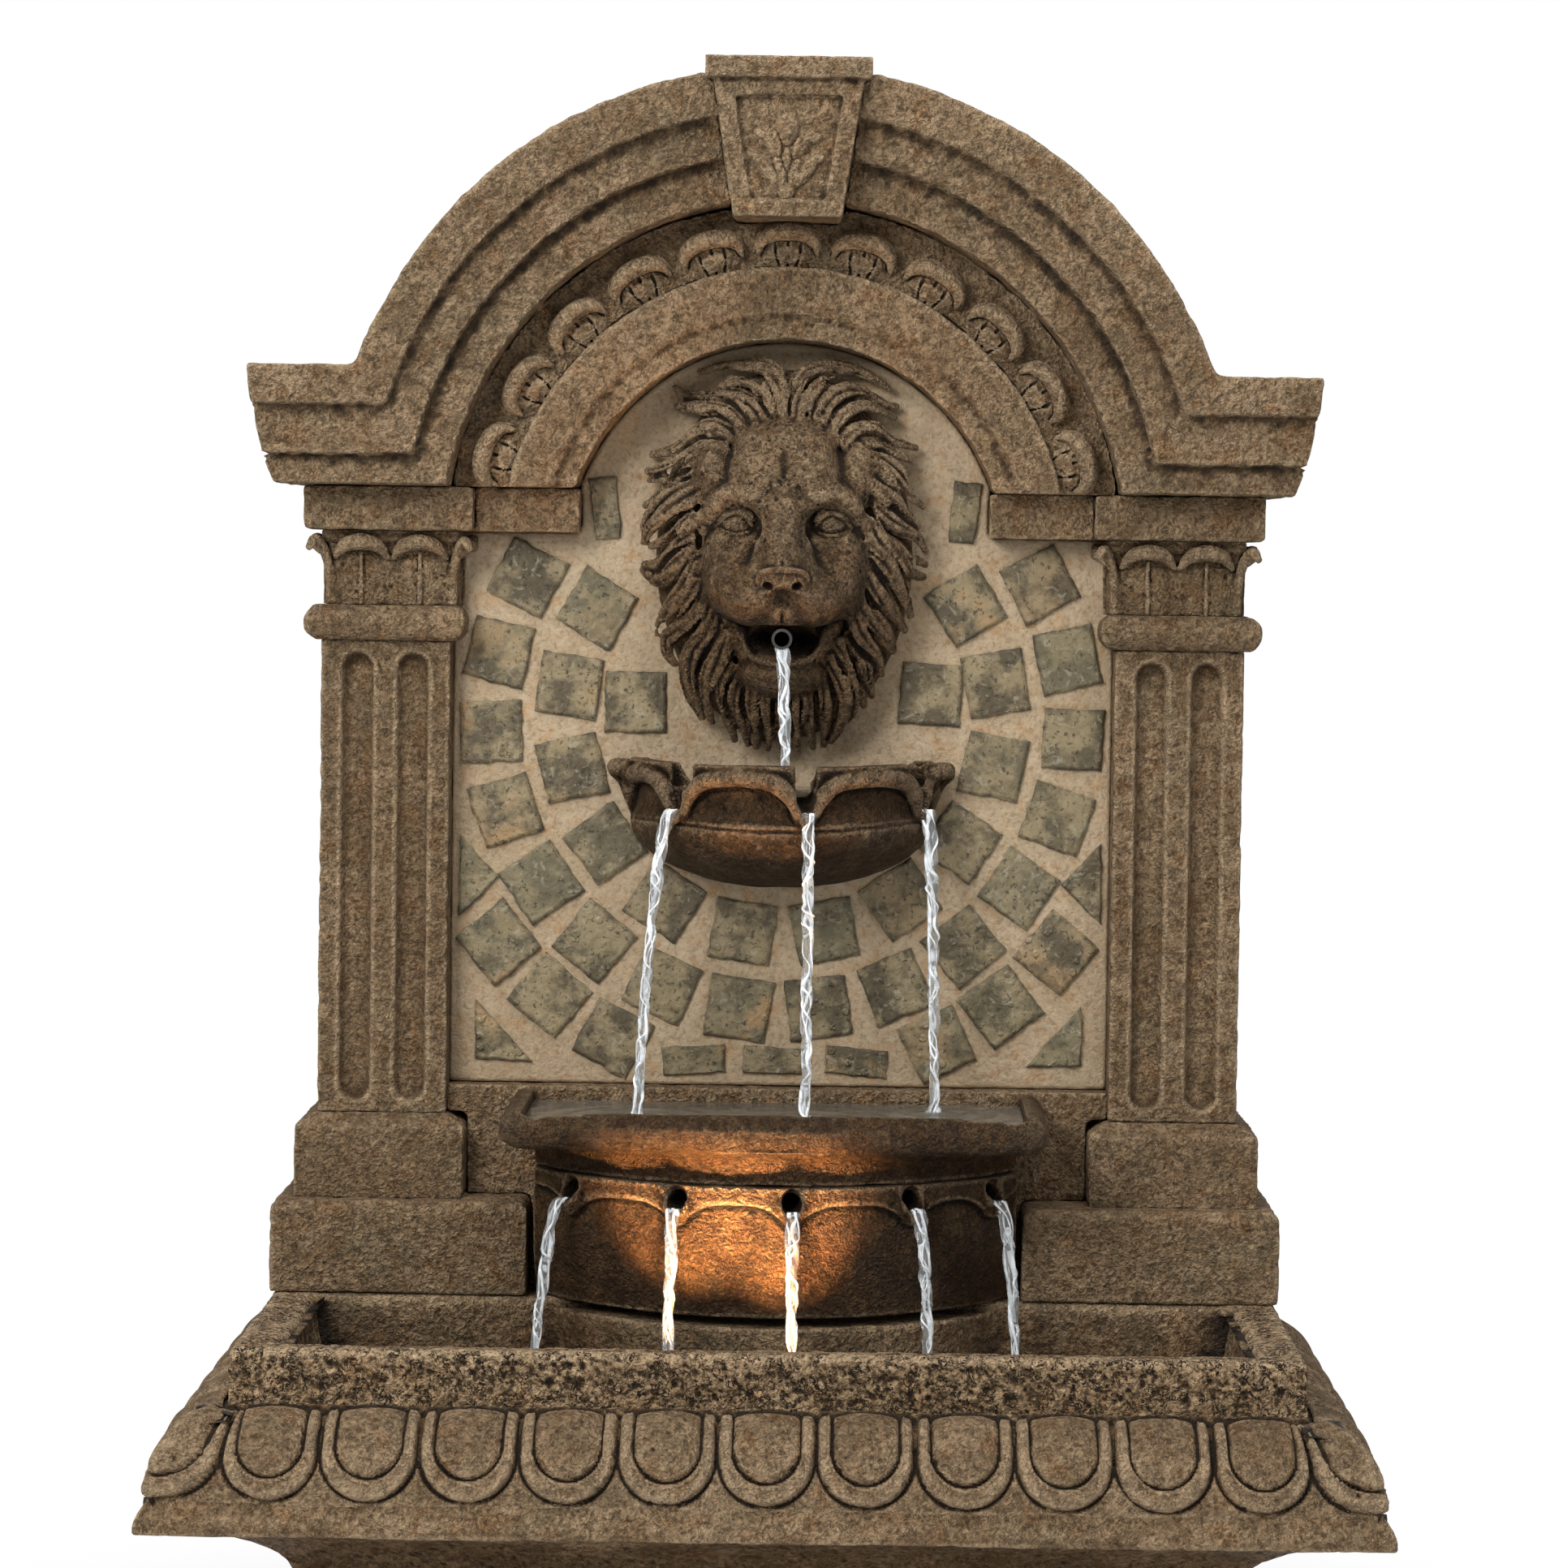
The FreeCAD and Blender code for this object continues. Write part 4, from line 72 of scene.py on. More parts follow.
class Tree:
    def __init__(self, tree):
        self.tree = tree

    def fill(self, node, inputs):
        for key, value in inputs.items():
            if isinstance(value, bpy.types.NodeSocket):
                self.tree.links.new(value, node.inputs[key])
            else:
                node.inputs[key].default_value = value

    def put(self, kind, inputs={}, **settings):
        node = self.tree.nodes.new("ShaderNode" + kind)
        for key, value in settings.items():
            setattr(node, key, value)
        self.fill(node, inputs)
        return node

    def maths(self, operation, first, second=0.0, clamp=False):
        return self.put("Math", {0: first, 1: second}, operation=operation, use_clamp=clamp).outputs[0]

    def times(self, first, second, clamp=False):
        return self.maths("MULTIPLY", first, second, clamp)

    def plus(self, first, second, clamp=False):
        return self.maths("ADD", first, second, clamp)

    def minus(self, first, second):
        return self.maths("SUBTRACT", first, second)

    def largest(self, first, second):
        return self.maths("MAXIMUM", first, second)

    def mix(self, share, first, second, mode="MIX"):
        first, second = ((*colour[:3], 1.0) if isinstance(colour, tuple) else colour for colour in (first, second))
        return self.put("Mix", {0: share, 6: first, 7: second}, data_type="RGBA", blend_type=mode).outputs[2]

    def span(self, value, low, high, first=0.0, last=1.0):
        inputs = {"Value": value, "From Min": low, "From Max": high, "To Min": first, "To Max": last}
        return self.put("MapRange", inputs, interpolation_type="SMOOTHSTEP").outputs["Result"]

    def noise(self, place, scale, detail=3.0, roughness=0.55, distortion=0.0):
        inputs = {"Vector": place, "Scale": scale, "Detail": detail, "Roughness": roughness, "Distortion": distortion}
        return self.put("TexNoise", inputs).outputs["Fac"]

    def place(self):
        return self.put("TexCoord").outputs["Object"]

    def attribute(self, name):
        return self.put("Attribute", attribute_name=name).outputs["Fac"]

    def upward(self, place):
        return self.put("SeparateXYZ", {0: place}).outputs["Z"]

    def vector(self, first, second, operation):
        return self.put("VectorMath", {0: first, 1: second}, operation=operation).outputs[0]

    def bump(self, strength, distance, height):
        return self.put("Bump", {"Strength": strength, "Distance": distance, "Height": height}).outputs[0]

    def group(self, group, look):
        node = self.put("Group", node_tree=group)
        given = {key: look[key] for key in node.inputs.keys() if key in look}
        self.fill(node, {key: (*value, 1.0) if isinstance(value, tuple) else value for key, value in given.items()})
        return node


def newMaterial(name):
    material = bpy.data.materials.new(name)
    material.use_nodes = True
    material.node_tree.nodes.clear()
    tree = Tree(material.node_tree)
    surface = tree.put("BsdfPrincipled")
    tree.put("OutputMaterial", {"Surface": surface.outputs[0]})
    return material, tree, surface


def newGroup(name, inputs):
    # its inputs are colours and numbers, and it puts out a colour, a roughness and a height
    group = bpy.data.node_groups.new(name, "ShaderNodeTree")
    kinds = {True: "NodeSocketColor", False: "NodeSocketFloat"}
    for key, value in inputs.items():
        kind = kinds[isinstance(value, tuple)]
        group.interface.new_socket(name=key, in_out="INPUT", socket_type=kind).default_value = value
    for key in ("Color", "Roughness", "Height"):
        group.interface.new_socket(name=key, in_out="OUTPUT", socket_type=kinds[key == "Color"])
    return Tree(group), group.nodes.new("NodeGroupInput").outputs, group.nodes.new("NodeGroupOutput")


# Camera, soft studio lamps and a pale floor

def link(name, data):
    thing = bpy.data.objects.new(name, data)
    scene.collection.objects.link(thing)
    return thing


def makeCamera(look):
    data = bpy.data.cameras.new("photoCamera")
    data.sensor_fit = "HORIZONTAL"
    data.sensor_width = 36.0
    data.lens = look["lensLength"]
    data.shift_x = look["shiftX"]
    data.shift_y = look["shiftY"]
    data.clip_end = 60.0
    camera = link("photoCamera", data)
    camera.location = look["cameraAt"]
    camera.rotation_euler = (math.radians(90.0 - look["pitchDown"]), math.radians(look["lean"]), 0.0)
    scene.camera = camera


def makeLamp(name, place, aim, width, power):
    data = bpy.data.lights.new(name, "AREA")
    data.shape = "SQUARE"
    data.size = width
    data.energy = power
    lamp = link(name, data)
    lamp.location = place
    direction = [a - b for a, b in zip(aim, place)]
    flat = math.hypot(direction[0], direction[1])
    lamp.rotation_euler = (math.atan2(flat, -direction[2]), 0.0, math.atan2(-direction[0], direction[1]))


def seenDirectly(tree):
    path = tree.put("LightPath").outputs
    return tree.largest(tree.largest(path["Is Camera Ray"], path["Is Glossy Ray"]), path["Is Transmission Ray"])


def makeStudio(look):
    white = (1.0, 1.0, 1.0, 1.0)
    world = bpy.data.worlds.new("paleStudio")
    scene.world = world
    world.use_nodes = True
    world.node_tree.nodes.clear()
    tree = Tree(world.node_tree)
    strength = tree.largest(seenDirectly(tree), look["worldLevel"])
    tree.put("OutputWorld", {0: tree.put("Background", {"Color": white, "Strength": strength}).outputs[0]})

    makeLamp("keySoftbox", (-1.5, -2.3, 2.3), (0.0, 0.0, 0.75), 1.3, look["keyPower"])
    makeLamp("fillSoftbox", (2.2, -2.0, 1.2), (0.0, 0.0, 0.7), 1.8, look["fillPower"])
    makeLamp("topSoftbox", (0.2, -0.6, 2.9), (0.0, 0.1, 0.8), 1.2, look["topPower"])

    reach = look["floorReach"]
    mesh = bpy.data.meshes.new("studioFloor")
    mesh.from_pydata([(x * reach, y * reach, 0) for x, y in ((-1, -1), (1, -1), (1, 1), (-1, 1))], [], [(0, 1, 2, 3)])
    floor = link("studioFloor", mesh)
    material, tree, surface = newMaterial("paleFloor")
    place = tree.place()
    speckle = tree.span(tree.noise(place, 90.0), 0.3, 0.7, 0.86, 0.9)
    tint = tree.put("CombineColor", {0: speckle, 1: speckle, 2: speckle}).outputs[0]
    tree.fill(surface, {"Base Color": tint, "Roughness": 0.7})
    distance = tree.put("VectorMath", {0: place}, operation="LENGTH").outputs["Value"]
    share = tree.times(seenDirectly(tree), tree.span(distance, 0.45, 1.1, 0.45, 1.0))
    glow = tree.put("Emission", {"Color": white, "Strength": 1.0})
    mixed = tree.put("MixShader", {0: share, 1: surface.outputs[0], 2: glow.outputs[0]})
    tree.fill(tree.tree.nodes["Material Output"], {"Surface": mixed.outputs[0]})
    mesh.materials.append(material)


makeCamera(studio)
makeStudio(studio)
scene.view_settings.view_transform = "Standard"
print("studio ready")


# Shared noise for pits, waves and chipped edges on the meshes

def ramp(value, start, run):
    # 0 at start, 1 from start + run on
    return np.clip((value - start) / run, 0.0, 1.0)


def arch(value):
    # a half circle over -1 to 1
    return np.sqrt(np.clip(1.0 - value ** 2, 0.0, 1.0))


def hashed(cell, seed):
    mixed = cell[..., 0] * 73856093 ^ cell[..., 1] * 19349663 ^ cell[..., 2] * 83492791 ^ (seed * 2654435761)
    mixed = (mixed ^ (mixed >> 13)) * 1274126177
    mixed = mixed ^ (mixed >> 16)
    return (mixed & 0xFFFFFF) / float(0x1000000)


def valueNoise(points, cell, seed):
    spot = points / cell
    base = np.floor(spot).astype(np.int64)
    part = spot - base
    part = part * part * (3.0 - 2.0 * part)
    total = np.zeros(len(points))
    for corner in np.ndindex(2, 2, 2):
        weight = np.ones(len(points))
        for axis in range(3):
            weight *= part[:, axis] if corner[axis] else 1.0 - part[:, axis]
        total += weight * hashed(base + np.array(corner), seed)
    return total * 2.0 - 1.0


def layeredNoise(points, cell, seed, layers=3):
    total = np.zeros(len(points))
    for layer in range(layers):
        total += valueNoise(points, cell / 2.0 ** layer, seed + layer) / 2.0 ** layer
    return total


def pitDepth(points, cell, seed, share):
    # one round pit in a share of the cells, each with its own place and width
    base = np.floor(points / cell).astype(np.int64)
    depth = np.zeros(len(points))
    for step in np.ndindex(3, 3, 3):
        near = base + np.array(step) - 1
        centre = (near + np.stack([hashed(near, seed + k) for k in range(3)], axis=1)) * cell
        radius = cell * (0.22 + 0.38 * hashed(near, seed + 3))
        away = np.linalg.norm(points - centre, axis=1) / radius
        bowl = np.clip(1.0 - away * away, 0.0, 1.0) * radius / cell
        depth = np.maximum(depth, np.where(hashed(near, seed + 4) < share, bowl, 0.0))
    return depth


def meshFromArrays(name, points, faces):
    mesh = bpy.data.meshes.new(name)
    faces = np.asarray(faces, dtype=np.int32)
    corners = faces.shape[1]
    mesh.vertices.add(len(points))
    mesh.vertices.foreach_set("co", (np.asarray(points, dtype=np.float32) / 1000.0).ravel())
    mesh.loops.add(faces.size)
    mesh.loops.foreach_set("vertex_index", faces.ravel())
    mesh.polygons.add(len(faces))
    mesh.polygons.foreach_set("loop_start", np.arange(0, faces.size, corners, dtype=np.int32))
    mesh.update(calc_edges=True)
    mesh.validate()
    return mesh


def meshPoints(mesh, field="co"):
    values = np.zeros(len(mesh.vertices) * 3, dtype=np.float32)
    if field == "co":
        mesh.vertices.foreach_get("co", values)
    else:
        mesh.vertex_normals.foreach_get("vector", values)
    return values.reshape(-1, 3).astype(float)


def setPoints(mesh, points):
    mesh.vertices.foreach_set("co", (points / 1000.0).astype(np.float32).ravel())
    mesh.update()


def millimetres(mesh):
    return meshPoints(mesh) * 1000.0


def keepInside(mesh, low, high):
    setPoints(mesh, np.clip(millimetres(mesh), low, high))


def gridQuads(index):
    # one quad for each cell of a grid of point numbers
    return np.stack([index[:-1, :-1], index[1:, :-1], index[1:, 1:], index[:-1, 1:]], axis=2).reshape(-1, 4)


def meshQuads(mesh):
    corners = np.zeros(len(mesh.loops), dtype=np.int32)
    mesh.loops.foreach_get("vertex_index", corners)
    return corners.reshape(-1, 4)


def joinArrays(name, parts):
    points, faces, total = [], [], 0
    for spots, quads in parts:
        points.append(spots)
        faces.append(quads + total)
        total += len(spots)
    return meshFromArrays(name, np.concatenate(points), np.concatenate(faces))


def neighbourMean(edges, count, values):
    ends = np.concatenate([edges[:, 0], edges[:, 1]])
    others = np.concatenate([edges[:, 1], edges[:, 0]])
    number = np.maximum(np.bincount(ends, minlength=count), 1)
    if values.ndim == 1:
        return np.bincount(ends, weights=values[others], minlength=count) / number
    columns = [np.bincount(ends, weights=values[others, k], minlength=count) / number for k in range(3)]
    return np.stack(columns, axis=1)


def markRelief(mesh, gain=1.0, spread=14):
    # relief is negative in crevices and positive on edges; the stone materials paint shade in the crevices and
    # highlight on the edges from it, the slate paints shade on both
    count = len(mesh.vertices)
    edges = np.zeros(len(mesh.edges) * 2, dtype=np.int32)
    mesh.edges.foreach_get("vertices", edges)
    edges = edges.reshape(-1, 2)
    points, normals = meshPoints(mesh), meshPoints(mesh, "normal")
    length = np.linalg.norm(points[edges[:, 0]] - points[edges[:, 1]], axis=1).mean()
    total = np.zeros(count)
    smooth = points
    for turn in range(spread):
        smooth = neighbourMean(edges, count, smooth)
        if turn in (0, 3, spread - 1):
            total += np.einsum("ij,ij->i", points - smooth, normals) / length / (1.0 + 0.12 * turn)
    values = np.clip(total * gain, -1.0, 1.0).astype(np.float32)
    if "relief" in mesh.attributes:
        mesh.attributes.remove(mesh.attributes["relief"])
    mesh.attributes.new("relief", "FLOAT", "POINT").data.foreach_set("value", values)


def weather(mesh, look, seed, share=1.0):
    points, normals = millimetres(mesh), meshPoints(mesh, "normal")
    push = look["wave"] * layeredNoise(points, look["waveCell"], seed, 2)
    push += look["lump"] * layeredNoise(points, look["lumpCell"], seed + 7, 2)
    patch = np.clip(0.75 + 0.9 * valueNoise(points, look["patchCell"], seed + 11), 0.15, 1.0)
    push -= look["pit"] * patch * pitDepth(points, look["pitCell"], seed + 13, look["pitShare"])
    push -= look["pit"] * 0.6 * patch * pitDepth(points, look["pitCell"] * 0.55, seed + 17, look["pitShare"])
    setPoints(mesh, points + normals * (push * share)[:, None])


def addPiece(name, mesh, replaced, material):
    piece = link(name, mesh)
    mesh.materials.clear()
    mesh.materials.append(material)
    mesh.polygons.foreach_set("use_smooth", np.ones(len(mesh.polygons), dtype=bool))
    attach(piece, "fountain")
    if replaced:
        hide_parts(*replaced)
    return piece


def evenCopy(name, node, voxel):
    # an evenly meshed copy of a solid, with its edges softened as a casting has them
    mesh = nodes[node].data.copy()
    mesh.name = name
    shell = bmesh.new()
    shell.from_mesh(mesh)
    bmesh.ops.remove_doubles(shell, verts=shell.verts, dist=0.00001)
    shell.to_mesh(mesh)
    shell.free()
    holder = link(name + "Source", mesh)
    remesh = holder.modifiers.new("even", "REMESH")
    remesh.mode = "VOXEL"
    remesh.voxel_size = voxel / 1000.0
    soften = holder.modifiers.new("soften", "SMOOTH")
    soften.factor = 0.5
    soften.iterations = 1
    graph = bpy.context.evaluated_depsgraph_get()
    result = bpy.data.meshes.new_from_object(holder.evaluated_get(graph))
    result.name = name
    bpy.data.objects.remove(holder)
    bpy.data.meshes.remove(mesh)
    return result


castLook = {
    "wave": 0.7, "waveCell": 70.0, "lump": 0.75, "lumpCell": 9.0,
    "pit": 1.2, "pitCell": 5.0, "pitShare": 0.3, "patchCell": 45.0,
}


def castPiece(name, node, voxel, look, material, seed, gain=1.0):
    mesh = evenCopy(name, node, voxel)
    weather(mesh, look, seed)
    keepInside(mesh, *(np.array(corner) * 1000.0 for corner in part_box(node)))
    markRelief(mesh, gain, 5)
    return addPiece(name, mesh, [node], material)


# Stone: one shader group, placed in each stone material with its own values

def stoneGroup():
    tree, given, result = newGroup("weatheredStone", {
        "Light": (0.4, 0.275, 0.155, 1.0), "Shade": (0.2, 0.125, 0.062, 1.0), "Pit": (0.018, 0.01, 0.004, 1.0),
        "Size": 1.0, "Pits": 1.0, "Stain": 0.3, "Relief": 0.0, "WetAndShade": 0.0})
    pit, relief, wet = given["Pit"], given["Relief"], given["WetAndShade"]
    place = tree.put("VectorMath", {0: tree.place(), "Scale": given["Size"]}, operation="SCALE").outputs[0]
    blotch = tree.noise(place, 6.0, 4.0, 0.6)
    cloud = tree.noise(place, 38.0, 4.0, 0.62)
    peel = tree.noise(place, 210.0, 3.0, 0.6, 0.5)
    grain = tree.noise(place, 420.0, 3.0, 0.65, 0.6)
    wrinkle = tree.noise(place, 190.0, 3.0, 0.55, 1.6)
    line = tree.span(tree.maths("ABSOLUTE", tree.minus(wrinkle, 0.49)), 0.05, 0.025)
    line = tree.times(line, tree.span(tree.noise(place, 110.0, 2.0), 0.47, 0.53))
    pitMask = tree.largest(tree.times(line, 0.9), tree.times(tree.span(grain, 0.44, 0.4), 0.45))
    pitMask = tree.times(tree.times(pitMask, tree.span(cloud, 0.3, 0.55, 0.7, 1.0)), given["Pits"], True)
    tone = tree.plus(tree.times(cloud, 0.35), tree.times(blotch, 0.35))
    # the peel bump's share of the tone is painted highlight on its crests
    tone = tree.plus(tone, tree.times(peel, 0.3))
    colour = tree.mix(tree.span(tone, 0.42, 0.6), given["Shade"], given["Light"])
    # painted shade in the hollows of the peel bump
    colour = tree.mix(tree.times(tree.span(peel, 0.46, 0.37), given["Pits"], True), colour, (0.11, 0.068, 0.033))
    warm = tree.span(tree.noise(place, 55.0, 4.0, 0.6), 0.5, 0.68, 0.0, 0.5)
    colour = tree.mix(warm, colour, (1.0, 0.72, 0.46), "MULTIPLY")
    stain = tree.times(tree.span(tree.noise(place, 16.0, 5.0, 0.65), 0.5, 0.68), given["Stain"])
    colour = tree.mix(stain, colour, (0.17, 0.15, 0.085))
    # raised edges lighter: part wear, part painted highlight
    wornAndLit = tree.mix(0.35, given["Light"], (0.8, 0.6, 0.38))
    colour = tree.mix(tree.span(relief, 0.12, 0.8, 0.0, 0.7), colour, wornAndLit)
    # painted shade in crevices: a brown fringe
    colour = tree.mix(tree.span(relief, -0.06, -0.4, 0.0, 0.7), colour, (0.09, 0.05, 0.02))
    # the pits and scratch lines, also sunk in the bump, take the near-black pit colour: partly dark grain, partly
    # painted shade in them
    colour = tree.mix(pitMask, colour, pit)
    # painted shade: the deepest crevices take the near-black pit colour
    colour = tree.mix(tree.span(relief, -0.2, -0.75, 0.0, 0.92), colour, pit)
    # the wet mask darkens: real wetness on the lion and the basin, painted shade on the cove
    colour = tree.mix(tree.times(wet, 0.85), colour, (0.42, 0.34, 0.26), "MULTIPLY")
    height = tree.minus(tree.plus(tree.times(peel, 2.6), tree.times(grain, 0.5)), tree.times(pitMask, 0.9))
    rough = tree.minus(tree.span(tone, 0.3, 0.7, 0.9, 0.72), tree.times(wet, 0.42))
    tree.fill(result, {"Color": colour, "Roughness": rough, "Height": height})
    return tree.tree


stone = stoneGroup()
# wet: the height in metres where the stone is dry, the height where it is soaked, and how wet it gets; on the cove it
# is painted shade under the basin's overhang
# Pit colours the pits and the painted shade in deep crevices
stoneKeys = ("Light", "Shade", "Pit", "Size", "Pits", "Stain", "rough", "bump", "shine", "wet")
warmLight, warmShade = (0.41, 0.282, 0.162), (0.25, 0.162, 0.085)
stoneLooks = {
    "castStone": (warmLight, warmShade, (0.02, 0.012, 0.006), 1.1, 0.6, 0.3, 1.0, 0.9, 0.25, None),
    # the cove's wet mask paints shade over the cove, under the basin's overhang
    "coveStone": (warmLight, warmShade, (0.03, 0.018, 0.009), 1.0, 0.6, 0.3, 1.0, 0.9, 0.2, (0.279, 0.262, 0.75)),
    "rimStone": ((0.48, 0.33, 0.19), (0.3, 0.195, 0.1), (0.016, 0.009, 0.004), 0.8, 1.35, 0.2, 1.0, 1.0, 0.25, None),
    "basinStone": ((0.38, 0.26, 0.145), (0.2, 0.128, 0.064), (0.025, 0.014, 0.007),
                   1.0, 0.7, 0.45, 0.9, 0.9, 0.3, (0.4, 0.345, 0.8)),
    "lionStone": ((0.32, 0.208, 0.112), (0.125, 0.076, 0.035), (0.015, 0.008, 0.003),
                  1.4, 0.9, 0.25, 0.85, 0.9, 0.25, (1.0, 0.88, 0.85)),
    "bowlStone": ((0.135, 0.072, 0.03), (0.045, 0.022, 0.008), (0.008, 0.004, 0.002),
                  1.2, 0.85, 0.1, 0.62, 1.0, 0.2, None),
    "mortarSand": ((0.46, 0.355, 0.235), (0.38, 0.285, 0.18), (0.1, 0.065, 0.035),
                   1.2, 0.25, 0.12, 1.0, 0.25, 0.2, None),
}
stoneBump = 0.007


def stoneMaterial(name, look):
    look = dict(zip(stoneKeys, look))
    material, tree, surface = newMaterial(name)
    skin = tree.group(stone, look)
    tree.fill(skin, {"Relief": tree.attribute("relief")})
    if look["wet"]:
        place = tree.place()
        drift = tree.times(tree.minus(tree.noise(place, 14.0, 3.0), 0.5), 0.12)
        dry, soaked, share = look["wet"]
        tree.fill(skin, {"WetAndShade": tree.span(tree.plus(tree.upward(place), drift), dry, soaked, 0.0, share)})
    tree.fill(surface, {
        "Base Color": skin.outputs["Color"],
        "Roughness": tree.times(skin.outputs["Roughness"], look["rough"]),
        "Normal": tree.bump(look["bump"], stoneBump, skin.outputs["Height"]),
        "Specular IOR Level": look["shine"],
    })
    return material


castStone, coveStone, rimStone, basinStone, lionStone, bowlStone, mortarSand = (
    stoneMaterial(key, look) for key, look in stoneLooks.items())
print("stone finishes ready")


# Clay: forms added and cut as distances on a fine grid, then meshed

class Clay:
    def __init__(self, low, high, step):
        self.axes = [np.arange(a, b + step, step) for a, b in zip(low, high)]
        self.step = step
        self.field = np.full([len(a) for a in self.axes], 25.0, dtype=np.float32)

    def blend(self, form, soft, sign):
        reach = 3.0 * soft + 4.0
        parts = []
        for axis, a, b in zip(self.axes, form["low"] - reach, form["high"] + reach):
            parts.append(slice(int(np.searchsorted(axis, a)), int(np.searchsorted(axis, b)) + 1))
        parts = tuple(parts)
        grids = np.meshgrid(*[axis[part] for axis, part in zip(self.axes, parts)], indexing="ij", sparse=True)
        new, old = sign * form["distance"](*grids), self.field[parts]
        share = np.clip(0.5 + sign * 0.5 * (old - new) / soft, 0.0, 1.0)
        self.field[parts] = old + (new - old) * share - sign * soft * share * (1.0 - share)

    def add(self, form, soft):
        self.blend(form, soft, 1)

    def cut(self, form, soft):
        self.blend(form, soft, -1)

    def trim(self, limit):
        # keeps only what lies where the limit, a function of the place, is below zero
        self.field = np.maximum(self.field, limit(*np.meshgrid(*self.axes, indexing="ij", sparse=True)))


def makeForm(distance, low, high):
    return {"low": np.array(low, float), "high": np.array(high, float), "distance": distance}


def egg(centre, radii, turn=0.0):
    # an ellipsoid, turned about Y by turn degrees
    centre, radii = np.array(centre, float), np.array(radii, float)
    c, s = math.cos(math.radians(turn)), math.sin(math.radians(turn))
    wide = np.array([math.hypot(radii[0] * c, radii[2] * s), radii[1], math.hypot(radii[0] * s, radii[2] * c)])

    def distance(x, y, z):
        x, y, z = x - centre[0], y - centre[1], z - centre[2]
        u, w = x * c + z * s, z * c - x * s
        near = np.sqrt((u / radii[0]) ** 2 + (y / radii[1]) ** 2 + (w / radii[2]) ** 2)
        far = np.sqrt((u / radii[0] ** 2) ** 2 + (y / radii[1] ** 2) ** 2 + (w / radii[2] ** 2) ** 2)
        return near * (near - 1.0) / np.maximum(far, 1e-6)
    return makeForm(distance, centre - wide, centre + wide)


def slab(centre, half, rounding):
    centre, half = np.array(centre, float), np.array(half, float)

    def distance(x, y, z):
        gaps = [np.abs(v - centre[k]) - half[k] + rounding for k, v in enumerate((x, y, z))]
        outside = np.sqrt(sum(np.maximum(gap, 0.0) ** 2 for gap in gaps))
        return outside + np.minimum(np.maximum(np.maximum(gaps[0], gaps[1]), gaps[2]), 0.0) - rounding
    return makeForm(distance, centre - half, centre + half)


def strand(points, radii, count=0):
    # a rounded rope through the points, its radius running from one end value to the next
    points = curved(points, count) if count else np.array(points, float)
    radii = np.interp(np.linspace(0, 1, len(points)), np.linspace(0, 1, len(radii)), radii)

    def distance(x, y, z):
        best = None
        for a, b, ra, rb in zip(points[:-1], points[1:], radii[:-1], radii[1:]):
            run = b - a
            size = max(float(run @ run), 1e-9)
            share = ((x - a[0]) * run[0] + (y - a[1]) * run[1] + (z - a[2]) * run[2]) / size
            share = np.clip(share, 0.0, 1.0)
            gap = np.sqrt((x - a[0] - share * run[0]) ** 2 + (y - a[1] - share * run[1]) ** 2
                          + (z - a[2] - share * run[2]) ** 2) - ra - share * (rb - ra)
            best = gap if best is None else np.minimum(best, gap)
        return best
    wide = radii.max()
    return makeForm(distance, points.min(0) - wide, points.max(0) + wide)


def curved(points, count):
    # a smooth run of points through the few given ones
    points = np.array(points, float)
    ends = np.vstack([2 * points[0] - points[1], points, 2 * points[-1] - points[-2]])
    where = np.linspace(0, len(points) - 1.0001, count)
    index = where.astype(int)
    t = (where - index)[:, None]
    a, b, c, d = (ends[index + k] for k in range(4))
    return 0.5 * (2 * b + (c - a) * t + (2 * a - 5 * b + 4 * c - d) * t * t + (3 * b - a - 3 * c + d) * t ** 3)


both, middle = (-1, 1), (1,)
add, cut = 1, -1


def sculpt(clay, sides, *forms):
    # a form: add or cut, softness, then an egg's centre, radii and turn, or a strand's points, radii and count
    for side in sides:
        for sign, soft, spot, *rest in forms:
            if isinstance(spot, dict):
                form = spot
            elif isinstance(spot, tuple):
                form = egg((side * spot[0], *spot[1:]), rest[0], side * sum(rest[1:]))
            else:
                form = strand([(side * x, y, z) for x, y, z in spot], *rest)
            clay.blend(form, soft, sign)


